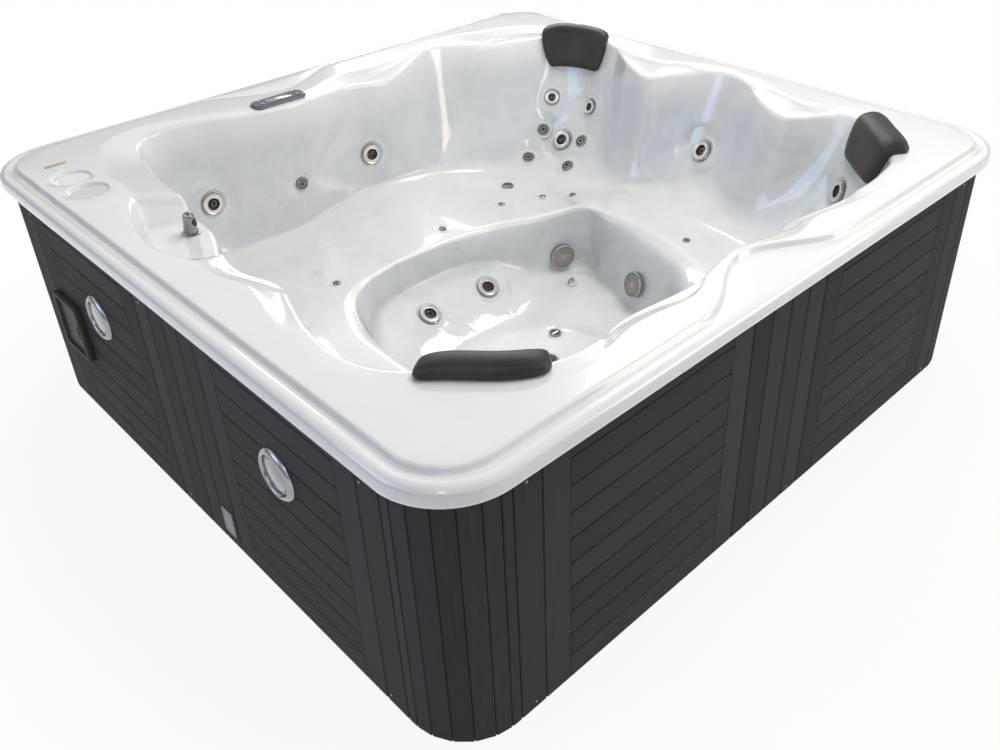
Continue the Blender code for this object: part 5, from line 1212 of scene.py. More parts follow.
                a = (station * stride + step) * rings
                b = ((station * stride + step + 1) % count) * rings
                faces.append((b, a, here if step < stride // 2 else there))
            middle = (station * stride + stride // 2) * rings
            faces.append((middle, here, there))
        shell = MeshMaker.mesh(points, faces)
        self.add_cups(shell)
        whole = MeshMaker.joined([shell, *(self.halo(seat) for seat in self.seats)])
        # steepness of each point; the acrylic paints shade onto steep faces from it
        tilt = np.abs(np.array([vertex.normal.z for vertex in whole.vertices]))
        steep = whole.attributes.new("steep", "FLOAT", "POINT")
        steep.data.foreach_set("value", 1.0 - smoothstep(tilt, 0.58, 0.93))
        return MeshMaker.place("moulded_shell", whole, [Finish.SHELL], "tub", ["tub_shell"],
                               "shell_acrylic", 50.0)


# ---- the cabinet
@dataclass
class BoardCabinet:
    """Panels of bevelled boards: upright at corners and middles, level between them."""

    half: Pair = CABINET_HALF
    corner: float = 0.160
    thick: float = 0.018
    foot: float = 0.003
    top: float = 0.722
    pitch: float = 0.075
    rows: int = 10
    joint: float = 0.0008
    corner_shares: Tuple[float, ...] = (0.095, 0.286, 0.446, 0.558)
    opening: Pair = (0.144, 0.170)
    names: Tuple[str, ...] = ("front", "right", "back", "left")
    # share of the groove's half width, depth in metres
    edge: Tuple[Pair, ...] = ((0.12, 0.0058), (0.32, 0.0026), (0.62, 0.0008), (1.0, 0.0))
    groove: float = 0.0030
    # seeds of the boards' shades, one for each kind of panel
    seeds: Tuple[int, ...] = (11, 31, 51, 71)
    cut_through: Tuple[str, ...] = ("side_panel_left_a", "corner_panel_back")

    def at(self, side: int, along: float, inset: float) -> Vector:
        """Plan point at a distance from a side's middle, running on round the corner.

        Args:
            side: the side, 0 to 3, from the front anticlockwise.
            along: distance from its middle.
            inset: depth behind the face.

        Returns:
            The point.
        """
        flats = (self.half[0] - self.corner, self.half[1] - self.corner) * 2
        arc = math.tau * self.corner / 4.0
        flat = flats[side]
        turn = math.tau * (side - 1) / 4.0
        out = Vector((math.cos(turn), math.sin(turn)))
        run = Vector((-out.y, out.x))
        half = self.half[(side + 1) % 2]
        if along <= flat:
            return out * (half - inset) + run * along
        if along <= flat + arc:
            angle = turn + (along - flat) / self.corner
            centre = out * (half - self.corner) + run * flat
            return centre + Vector((math.cos(angle), math.sin(angle))) * (self.corner - inset)
        return self.at((side + 1) % 4, along - flat - arc - flats[(side + 1) % 4], inset)

    def corner_cuts(self, side: int) -> List[float]:
        """Board joints of the corner panel that starts on a side.

        Args:
            side: the side, 0 to 3.

        Returns:
            Distances from the side's middle.
        """
        arc = math.tau * self.corner / 4.0
        flat = self.half[side % 2] - self.corner
        reach = [share * arc for share in self.corner_shares]
        reach += [reach[-1] + self.pitch, reach[-1] + 2.0 * self.pitch]
        middle = flat + arc / 2.0
        return [middle - away for away in reversed(reach)] + [middle + away for away in reach]

    def board(self, outline: Sequence[Pair], to_space: Callable[[float, float, float], Vector],
              length: Pair, shade: float) -> bpy.types.Mesh:
        """One board as a closed bar.

        Args:
            outline: (across, inset) pairs of its cross-section.
            to_space: gives a point for (across, inset, along).
            length: where it starts and ends along its run.
            shade: its own shade, from 0 to 1.

        Returns:
            The board's mesh, with its map and shade.
        """
        count = len(outline)
        chamfer = 0.0012
        stops = ((length[0], chamfer), (length[0] + chamfer, 0.0),
                 (length[1] - chamfer, 0.0), (length[1], chamfer))
        points, chart = [], []
        for along, pull in stops:
            for across, inset in outline:
                depth = inset + (pull if inset < self.thick * 0.5 else 0.0)
                points.append(to_space(across, depth, along))
                chart.append((along + shade * 7.0, across + inset + shade * 3.0))
        last = (len(stops) - 1) * count
        faces = tube_faces(len(stops), count)
        faces += [tuple(reversed(range(count))), tuple(range(last, last + count))]
        data = MeshMaker.mesh(points, faces, recalc=True)
        chart_layer = data.uv_layers.new(name="UVMap")
        for loop in data.loops:
            chart_layer.data[loop.index].uv = chart[loop.vertex_index]
        mark = data.attributes.new("board_shade", "FLOAT", "POINT")
        mark.data.foreach_set("value", [shade] * len(points))
        return data

    def outline(self, low: float, high: float, low_edge: bool = True, high_edge: bool = True
                ) -> List[Pair]:
        """Cross-section of a board between two joints: bevelled front, flat back.

        Args:
            low: where one joint is.
            high: where the other is.
            low_edge: the first edge is grooved.
            high_edge: the second edge is grooved.

        Returns:
            (across, depth) pairs.
        """
        def joint(at: float, way: float, grooved: bool) -> List[Pair]:
            """One edge of the face, from its joint inwards."""
            return [(at + way * (self.groove * share if grooved
                                 else self.joint / 2.0 + 0.0006 * share),
                     depth if grooved else depth * 0.25) for share, depth in self.edge]
        end = self.groove * self.edge[0][0]
        return [*joint(low, 1.0, low_edge), *reversed(joint(high, -1.0, high_edge)),
                (high - end, self.thick), (low + end, self.thick)]

    def upright(self, side: int, cuts: Sequence[float], seed: int) -> bpy.types.Mesh:
        """A panel of upright boards between joints.

        Args:
            side: the side it starts on.
            cuts: where its joints are.
            seed: seed of the boards' shades.

        Returns:
            The panel's mesh.
        """
        shades = np.random.default_rng(seed).random(len(cuts))
        boards = []
        for index in range(len(cuts) - 1):
            low, high = cuts[index], cuts[index + 1]
            first, last = index == 0, index == len(cuts) - 2
            start, end = self.at(side, low, 0.0), self.at(side, high, 0.0)
            run = (end - start).normalized()

            def to_space(across: float, depth: float, along: float, start: Vector = start,
                         run: Vector = run) -> Vector:
                """A point of this upright board."""
                spot = start + run * across - Vector((run.y, -run.x)) * depth
                return Vector((spot.x, spot.y, along))
            section = self.outline(0.0, (end - start).length, not first, not last)
            boards.append(self.board(section, to_space, (self.foot, self.top),
                                     float(shades[index])))
        return MeshMaker.joined(boards)

    def level(self, side: int, start: float, end: float, seed: int) -> bpy.types.Mesh:
        """A panel of level boards between two distances along a side.

        Args:
            side: the side.
            start: where it starts.
            end: where it ends.
            seed: seed of the boards' shades.

        Returns:
            The panel's mesh.
        """
        shades = np.random.default_rng(seed).random(self.rows) * 0.55 + 0.2
        rise = (self.top - self.foot) / self.rows
        boards = []

        def to_space(across: float, depth: float, along: float) -> Vector:
            """A point of a level board."""
            spot = self.at(side, along, depth)
            return Vector((spot.x, spot.y, across))
        ends = (start + self.joint / 2.0, end - self.joint / 2.0)
        for row in range(self.rows):
            low = self.foot + row * rise
            section = self.outline(low, low + rise, row > 0, row < self.rows - 1)
            boards.append(self.board(section, to_space, ends, float(shades[row])))
        return MeshMaker.joined(boards)

    def hatch_block(self) -> bpy.types.Mesh:
        """What is cut out of the left face for the service hatch."""
        half = (self.opening[0] / 2.0, self.opening[1] / 2.0)
        return plate(inset(half, [(0.0, 0.004, -0.05), (0.0, 0.004, 0.05)]),
                     (-self.half[0], *HATCH_AT), LEFT, BACK, 2)

    def build(self) -> List[bpy.types.Object]:
        """Build the sixteen panels.

        Returns:
            Their objects.
        """
        made = []
        inner = 3.0 * self.pitch
        for side, name in enumerate(self.names):
            cuts = self.corner_cuts(side)
            middle = [self.pitch * (step - 3) for step in range(7)]
            corner, centre, first, second = (seed + side for seed in self.seeds)
            panels = {
                "corner_panel_" + name: self.upright(side, cuts, corner),
                "middle_panel_" + name: self.upright(side, middle, centre),
                "side_panel_" + name + "_a": self.level(side, -cuts[0], -inner, first),
                "side_panel_" + name + "_b": self.level(side, inner, cuts[0], second)}
            for title, data in panels.items():
                if title in self.cut_through:
                    data = carve(data, self.hatch_block())
                made.append(MeshMaker.place(title.replace("panel", "boards"), data,
                                            [Finish.BOARD], "tub", [title], "cabinet_board",
                                            35.0))
        return made


# ---- finding fittings in the frame
class FrameReader:
    """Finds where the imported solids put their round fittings."""

    # how far past a triangle's edge still counts as a hit, as a share of the triangle
    SLACK = 0.02
    # how near a triangle is to the hit to belong to the same fitting, in metres
    NEAR = 0.016
    # how near two corners are to be one point
    SAME = 1e-5

    def __init__(self, nodes: Dict[str, bpy.types.Object]) -> None:
        """Keep the frame's nodes by name."""
        self.nodes = nodes

    def vertices(self, node: str) -> np.ndarray:
        """The corners of a CAD node, in the tub's frame."""
        data = self.nodes[node].data
        flat = np.empty(len(data.vertices) * 3)
        data.vertices.foreach_get("co", flat)
        return flat.reshape(-1, 3)

    def triangles(self, node: str) -> np.ndarray:
        """The faces of a CAD node as rows of three corners.

        Args:
            node: the node's name.

        Returns:
            An array of (face, corner, xyz).
        """
        data = self.nodes[node].data
        data.calc_loop_triangles()
        flat = np.empty(len(data.loop_triangles) * 3, dtype=np.int64)
        data.loop_triangles.foreach_get("vertices", flat)
        return self.vertices(node)[flat.reshape(-1, 3)]

    def struck(self, node: str, start: Point, heading: Point) -> Tuple[Vector, Vector]:
        """Where a ray meets a fixed fitting, and the way the fitting faces.

        Args:
            node: the CAD node that holds the fitting.
            start: start of the ray.
            heading: its direction.

        Returns:
            The middle of the fitting's face and its outward direction.
        """
        corners = self.triangles(node)
        origin = np.array(start, dtype=float)
        ray = np.array(heading, dtype=float) / np.linalg.norm(heading)
        a, b, c = corners[:, 0], corners[:, 1], corners[:, 2]
        first, second = b - a, c - a
        crossed = np.cross(ray, second)
        scale = np.einsum("ij,ij->i", first, crossed)
        scale = np.where(np.abs(scale) < 1e-14, np.nan, scale)
        away = origin - a
        u = np.einsum("ij,ij->i", away, crossed) / scale
        crossed = np.cross(away, first)
        v = (crossed @ ray) / scale
        reach = np.einsum("ij,ij->i", second, crossed) / scale
        hit = ((u >= -self.SLACK) & (v >= -self.SLACK) & (u + v <= 1.0 + self.SLACK)
               & (reach > 0.0))
        if not hit.any():
            raise ValueError("no fitting of %s on this ray" % node)
        spot = origin + ray * np.nanmin(np.where(hit, reach, np.nan))
        near = np.linalg.norm(corners - spot, axis=2).min(axis=1) < self.NEAR
        close = corners[near].reshape(-1, 3)
        centre = close[np.argmin(np.linalg.norm(close - spot, axis=1))]
        touching = np.linalg.norm(corners - centre, axis=2).min(axis=1) < self.SAME
        fan = corners[touching]
        normal = np.cross(fan[:, 1] - fan[:, 0], fan[:, 2] - fan[:, 0]).sum(axis=0)
        if normal @ ray > 0.0:
            normal = -normal
        return Vector(centre), Vector(normal).normalized()


# ---- jets and fittings
class Nozzle(Enum):
    """What sits in a turning face's bowl."""

    SINGLE = "one nozzle off the middle"
    TWIN = "two slots that spin"
    FOOT = "a wide nozzle in the middle"


@dataclass
class TurningJet:
    """A jet face that turns by hand: chromed side, pale annulus, and a bowl and nozzle darkened
    with painted shade.
    """

    name: str
    spot: Spot
    axis: Spot
    radius: float
    nozzle: Nozzle
    proud_share: float = 0.24

    FINISHES = (Finish.CHROME, Finish.FACE, Finish.DARK_METAL, Finish.STEEL)
    WIDE = 0.038
    NARROW = 0.028
    TWINS = ("lounger", "back_middle")

    @classmethod
    def on_joint(cls, joint: Dict[str, Any]) -> "TurningJet":
        """The jet face that turns on a joint of the frame, sized by where it is.

        Args:
            joint: the joint's row in the frame.

        Returns:
            The jet.
        """
        title = joint["name"][len("jet_"):-len("_turn")]
        kind = Nozzle.FOOT if title.startswith("foot") else Nozzle.SINGLE
        if title in cls.TWINS:
            kind = Nozzle.TWIN
        radius = cls.NARROW if title.startswith("shoulder") else cls.WIDE
        return cls(title, tuple(joint["pos_m"]), tuple(joint["axis"]), radius, kind)

    def seat(self) -> Seat:
        """The flat and halo that this jet needs in the shell."""
        return Seat(self.spot, self.axis, self.radius, 1.28)

    def eye(self, offset: float, size: float) -> bpy.types.Mesh:
        """A nozzle with concentric rings, off the middle by offset.

        Args:
            offset: how far off the middle it sits.
            size: its share of the face's radius.

        Returns:
            The nozzle's mesh.
        """
        across, _, along = frame_for(self.axis)
        spot = Vector(self.spot) + across * offset + along * (self.radius * 0.02)
        r = self.radius * size
        rows = [(0.0, -0.0050), (r, -0.0050), (r * 1.02, 0.0008), (r * 0.95, 0.0020),
                (r * 0.80, 0.0022), (r * 0.72, 0.0006), (r * 0.66, 0.0004), (r * 0.60, 0.0014),
                (r * 0.50, 0.0014), (r * 0.42, -0.0008), (r * 0.38, -0.0030), (0.0, -0.0032)]
        # band 2 paints shade into the nozzle's hollows
        bands = [2, 3, 3, 3, 2, 2, 3, 3, 2, 2, 2]
        return lathe(rows, spot, self.axis, 32, bands)

    def slots(self) -> List[bpy.types.Mesh]:
        """Two slotted outlets on a spinning cross piece."""
        across, up, along = frame_for(self.axis)
        layers = [(0.0060, 0.0078, 0.0055, -0.004), (0.0060, 0.0078, 0.0055, 0.0014),
                  (0.0050, 0.0068, 0.0045, 0.0024), (0.0034, 0.0050, 0.0030, 0.0022),
                  (0.0030, 0.0046, 0.0026, -0.0010)]
        # band 2 paints shade inside each slot
        return [plate(layers, Vector(self.spot) + (across * 0.0078 + up * 0.0030) * sign, along,
                      across, 6, [3, 3, 3, 2, 2, 2]) for sign in (1.0, -1.0)]

    def build(self) -> bpy.types.Object:
        """Build the face and put it on its own body."""
        r, p = self.radius, self.radius * self.proud_share
        rows = [(0.0, -0.006), (r * 0.985, -0.006), (r, -0.0045), (r, p * 0.40),
                (r * 0.992, p * 0.50), (r * 0.962, p * 0.56), (r * 0.955, p * 0.66),
                (r * 0.945, p * 0.88), (r * 0.915, p), (r * 0.875, p * 1.0), (r * 0.85, p * 0.93),
                (r * 0.70, p * 0.86), (r * 0.60, p * 0.86), (r * 0.555, p * 0.93),
                (r * 0.525, p * 0.86), (r * 0.505, p * 0.55), (r * 0.490, -0.0006),
                (r * 0.440, -0.0022), (r * 0.20, -0.0026), (0.0, -0.0026)]
        # band 2 paints shade into the face's bowl and onto its hidden back
        bands = [2, 3, 3, 3, 0, 0, 3, 0, 0, 1, 1, 1, 1, 0, 3, 2, 2, 2, 2]
        if self.nozzle is Nozzle.FOOT:
            bands[8:13] = [1] * 5
        parts = [lathe(rows, self.spot, self.axis, 64, bands)]
        if self.nozzle is Nozzle.SINGLE:
            parts.append(self.eye(r * 0.075, 0.30))
        elif self.nozzle is Nozzle.FOOT:
            parts.append(self.eye(r * 0.03, 0.37))
        else:
            parts += self.slots()
        return MeshMaker.place("jet_" + self.name + "_face", MeshMaker.joined(parts),
                               self.FINISHES, "jet_" + self.name, ["jet_face_" + self.name],
                               "jet_steel", 38.0)


class Outlet(Enum):
    """What a fixed fitting's middle looks like."""

    ROUND = "round hole"
    STAR = "hole with five lobes"
    SLOT = "thin slot"
    DOME = "perforated dome"


@dataclass
class FixedFitting:
    """A small fixed fitting: chrome ring, pale annulus and an outlet darkened with painted shade.
    """

    name: str
    spot: Vector
    axis: Vector
    radius: float
    outlet: Outlet

    FINISHES = (Finish.CHROME, Finish.FACE, Finish.DARK_METAL, Finish.NOZZLE, Finish.STEEL)

    def seat(self) -> Seat:
        """The flat and halo that this fitting needs in the shell."""
        return Seat(tuple(self.spot), tuple(self.axis), self.radius, 1.36)

    def mesh(self) -> bpy.types.Mesh:
        """The fitting's closed body."""
        r = self.radius * 1.05
        p = self.radius * 0.30 + 0.0004
        if self.outlet is Outlet.SLOT:
            rows = [(0.0, -0.004), (r, -0.004), (r, p * 0.45), (r * 0.94, p * 0.85), (r * 0.84, p),
                    (r * 0.78, p * 0.85), (r * 0.75, 0.0018), (0.0, 0.0018)]
            # band 2 paints shade on the hollow round the slot and behind the ring
            ring = lathe(rows, self.spot, self.axis, 32, [2, 4, 0, 0, 2, 2, 2])
            across, _, along = frame_for(self.axis)
            bar = plate([(r * 0.66, r * 0.17, r * 0.08, 0.0),
                         (r * 0.66, r * 0.15, r * 0.08, p * 0.80)],
                        self.spot, along, across, 5)
            return MeshMaker.joined([ring, bar])
        if self.outlet is Outlet.DOME:
            rows = [(0.0, -0.004), (r, -0.004), (r * 1.02, p * 0.2), (r * 0.98, p * 0.55),
                    (r * 0.86, p * 0.90), (r * 0.80, p * 0.80), (r * 0.70, p * 1.25),
                    (r * 0.45, p * 1.75), (r * 0.20, p * 2.0), (0.0, p * 2.05)]
            return lathe(rows, self.spot, self.axis, 40, [2, 0, 0, 0, 0, 3, 3, 3, 3])
        rows = [(0.0, -0.004), (r, -0.004), (r, p * 0.30), (r * 0.975, p * 0.62),
                (r * 0.94, p * 0.88), (r * 0.89, p), (r * 0.84, p * 0.92), (r * 0.79, p * 0.62),
                (r * 0.77, 0.0022), (r * 0.52, 0.0020), (r * 0.50, p * 0.55), (r * 0.46, p * 0.72),
                (r * 0.38, p * 0.74), (r * 0.33, p * 0.60), (r * 0.30, 0.0022), (0.0, 0.0020)]
        # band 2 paints shade in the recess and the outlet
        bands = [2, 4, 4, 0, 0, 0, 2, 2, 2, 4, 0, 1, 2, 2, 2]

        def lobes(row: int, angle: float) -> float:
            """Five lobes in the rows that edge the outlet."""
            return 1.0 + (0.16 * math.cos(5.0 * angle) if 9 <= row <= 14 else 0.0)
        wave = lobes if self.outlet is Outlet.STAR else None
        return lathe(rows, self.spot, self.axis, 40, bands, wave)


@dataclass
class FixedFittings:
    """Every fitting that doesn't turn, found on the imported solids."""

    reader: FrameReader
    # turn, height share; and plan shares for those on seats and floor
    wall: Tuple[Tuple[str, float, float, Outlet], ...] = (
        ("a", 0.1167, 0.564, Outlet.ROUND), ("b", 0.0911, 0.548, Outlet.ROUND),
        ("c", 0.1261, 0.450, Outlet.ROUND), ("d", 0.0986, 0.445, Outlet.ROUND),
        ("e", 0.2908, 0.621, Outlet.STAR))
    bed: Tuple[Tuple[str, str, float, float, float, Outlet], ...] = (
        ("f", "water_manifold", 0.447, 0.480, 0.020, Outlet.ROUND),
        ("floor_small", "water_manifold", 0.111, -0.107, 0.020, Outlet.SLOT),
        ("floor_inlet", "water_manifold", 0.006, -0.195, 0.024, Outlet.DOME),
        ("air_1", "air_manifold", 0.497, -0.288, 0.012, Outlet.SLOT),
        ("air_2", "air_manifold", 0.530, 0.240, 0.012, Outlet.SLOT),
        ("air_3", "air_manifold", 0.462, 0.318, 0.012, Outlet.SLOT),
        ("air_4", "air_manifold", 0.322, 0.370, 0.012, Outlet.SLOT),
        ("air_5", "air_manifold", 0.056, 0.350, 0.012, Outlet.SLOT),
        ("air_6", "air_manifold", -0.372, 0.300, 0.012, Outlet.SLOT))
    found: List[FixedFitting] = field(default_factory=list)

    def locate(self) -> None:
        """Find each fitting by a ray from where a bather would see it."""
        for name, turn, height, outlet in self.wall:
            angle = turn * math.tau
            heading = Vector((math.cos(angle), math.sin(angle), 0.0))
            start = Vector((*POLE, height * DECK))
            spot, axis = self.reader.struck("water_manifold", start, heading)
            self.found.append(FixedFitting(name, spot, axis, 0.020, outlet))
        for name, node, share_x, share_y, radius, outlet in self.bed:
            start = Vector((share_x * SHELL_HALF[0], share_y * SHELL_HALF[1], 1.0))
            spot, axis = self.reader.struck(node, start, -UP)
            self.found.append(FixedFitting(name, spot, axis, radius, outlet))

    def build(self) -> List[bpy.types.Object]:
        """Build the fittings, one piece each, over the solids that carry them."""
        return [MeshMaker.place("fitting_" + item.name, item.mesh(), item.FINISHES, "tub", (),
                                "jet_steel", 38.0) for item in self.found]


@dataclass
class SuctionDrum:
    """A drum-shaped suction cover: faceted banded wall, its groove in painted shade, and a flat
    drilled face.
    """

    number: int
    reader: FrameReader
    aim: Spot = (*POLE, 0.25)
    radius: float = 0.044
    height: float = 0.020

    def axis(self) -> Tuple[Vector, Vector]:
        """The middle of the drum's face and the way it faces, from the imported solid."""
        corners = self.reader.triangles("suction_cover_%d" % self.number)
        area = np.cross(corners[:, 1] - corners[:, 0], corners[:, 2] - corners[:, 0])
        size = np.linalg.norm(area, axis=1)
        units = area / np.maximum(size, 1e-12)[:, None]
        totals = ((units @ units.T) > 0.9995) @ size
        middle = corners.reshape(-1, 3).mean(axis=0)
        facing = (units @ (np.array(self.aim) - middle)) > 0.0
        normal = units[np.argmax(totals * facing)]
        tall = corners.reshape(-1, 3) @ normal
        front = corners.reshape(-1, 3)[tall > tall.max() - 1e-4]
        return Vector(front.min(axis=0) / 2.0 + front.max(axis=0) / 2.0), Vector(normal)

    def drilled(self, spot: Vector, normal: Vector) -> bpy.types.Mesh:
        """Small drill holes over the face, drawn as sunk discs of painted shade and laid out by
        Geometry Nodes.
        """
        return Scatter("drum_holes", 0.0021, 0.0006, 6).rings(
            spot, normal, self.radius * 0.84, (5, 11, 17, 23, 29))

    def build(self) -> bpy.types.Object:
        """Build the drum over its CAD node."""
        spot, normal = self.axis()
        r, h = self.radius, self.height
        rows = [(0.0, -h * 0.98), (r * 0.96, -h * 0.98), (r, -h * 0.90), (r, -h * 0.62),
                (r * 0.955, -h * 0.58), (r * 0.955, -h * 0.50), (r, -h * 0.46), (r, -h * 0.20),
                (r * 0.985, -h * 0.06), (r * 0.945, 0.0), (r * 0.90, -0.0005),
                (r * 0.88, -0.0016), (r * 0.40, -0.0013), (r * 0.15, -0.0005), (0.0, -0.0002)]
        # band 2 paints shade into the wall's groove, the ring round the face and the back
        bands = [2, 0, 0, 2, 2, 2, 0, 0, 0, 1, 2, 1, 1, 1]

        def facets(row: int, angle: float) -> float:
            """Eighteen soft flats round the wall."""
            return 1.0 - (0.022 * (0.5 + 0.5 * math.cos(18.0 * angle)) if 2 <= row <= 7 else 0.0)
        neck = lathe([(0.0, -0.046), (0.020, -0.046), (0.020, -h * 0.9), (0.0, -h * 0.9)],
                     spot, normal, 32)
        parts = [lathe(rows, spot, normal, 72, bands, facets), neck, self.drilled(spot, normal)]
        return MeshMaker.place("suction_drum_%d" % self.number, MeshMaker.joined(parts),
                               [Finish.CHROME, Finish.DRUM, Finish.DARK_METAL], "tub",
                               ["suction_cover_%d" % self.number], "drum_steel", 38.0)


@dataclass
class Scatter:
    """Many small studs or holes on a surface, made by one Geometry Nodes tree."""

    name: str
    radius: float
    depth: float
    sides: int = 8
    mark: int = 2

    def tree(self, finish: bpy.types.Material) -> Tuple[bpy.types.NodeTree, Dict[str, str]]:
        """The node tree: a low disc on every point, made real, with its material.

        Args:
            finish: the material that every copy gets.

        Returns:
            The tree and the identifier of each named input.
        """
        made = bpy.data.node_groups.new(self.name, "GeometryNodeTree")
        face = made.interface
        for way in ("INPUT", "OUTPUT"):
            face.new_socket("Geometry", in_out=way, socket_type="NodeSocketGeometry")
        ids = {title: face.new_socket(title, in_out="INPUT",
                                      socket_type="NodeSocketFloat").identifier
               for title in ("Radius", "Depth")}
        tree = NodeTree(made)
        spots, radius, depth = (tree.node("NodeGroupInput", output=title)
                                for title in ("Geometry", "Radius", "Depth"))
        stud = tree.node("GeometryNodeMeshCylinder", {"fill_type": "TRIANGLE_FAN"},
                         {"Vertices": self.sides, "Radius": radius, "Depth": depth})
        facing = tree.node("GeometryNodeInputNamedAttribute", {"data_type": "FLOAT_VECTOR"},
                           {"Name": "facing"}, output="Attribute")
        turn = tree.node("FunctionNodeAlignEulerToVector", {"axis": "Z"}, {"Vector": facing})
        copies = tree.node("GeometryNodeInstanceOnPoints", {},
                           {"Points": spots, "Instance": stud, "Rotation": turn})
        real = tree.node("GeometryNodeRealizeInstances", {}, {"Geometry": copies})
        tree.end("NodeGroupOutput", tree.node("GeometryNodeSetMaterial", {},
                                              {"Geometry": real, "Material": finish}))
        return made, ids

    def on(self, spots: Sequence[Point], normals: Sequence[Point],
           finish: Finish = Finish.DARK_METAL) -> bpy.types.Mesh:
        """Put one copy on each spot.

        Args:
            spots: where the copies go.
            normals: the way each one faces.
            finish: their finish.

        Returns:
            One plain mesh of all the copies.
        """
        data = bpy.data.meshes.new(self.name)
        data.from_pydata([tuple(p) for p in spots], [], [])
        facing = data.attributes.new("facing", "FLOAT_VECTOR", "POINT")
        facing.data.foreach_set("vector", [c for n in normals for c in Vector(n).normalized()])
        item = bpy.data.objects.new(self.name, data)
        bpy.context.scene.collection.objects.link(item)
        step = item.modifiers.new("copies", "NODES")
        tree, ids = self.tree(finish.get())
        step.node_group = tree
        step[ids["Radius"]] = self.radius
        step[ids["Depth"]] = self.depth
        made = bpy.data.meshes.new_from_object(
            item.evaluated_get(bpy.context.evaluated_depsgraph_get()))
        bpy.data.objects.remove(item, do_unlink=True)
        made.materials.clear()
        return mark_all(made, self.mark)

    def rings(self, spot: Vector, normal: Vector, reach: float, counts: Sequence[int]
              ) -> bpy.types.Mesh:
        """Copies in rings round a middle, the last ring at the reach.

        Args:
            spot: the middle.
            normal: the way they face.
            reach: radius of the last ring.
            counts: how many each ring has.

        Returns:
            One plain mesh of all the copies.
        """
        across, up, along = frame_for(normal)
        spots = []
        for ring, count in enumerate(counts, start=1):
            radius = reach * ring / len(counts)
            for step in range(count):
                angle = math.tau * (step + 0.5 * (ring % 2)) / count
                spots.append(spot + (across * math.cos(angle) + up * math.sin(angle)) * radius
                             - along * 0.0011)
        return self.on(spots, [along] * len(spots))


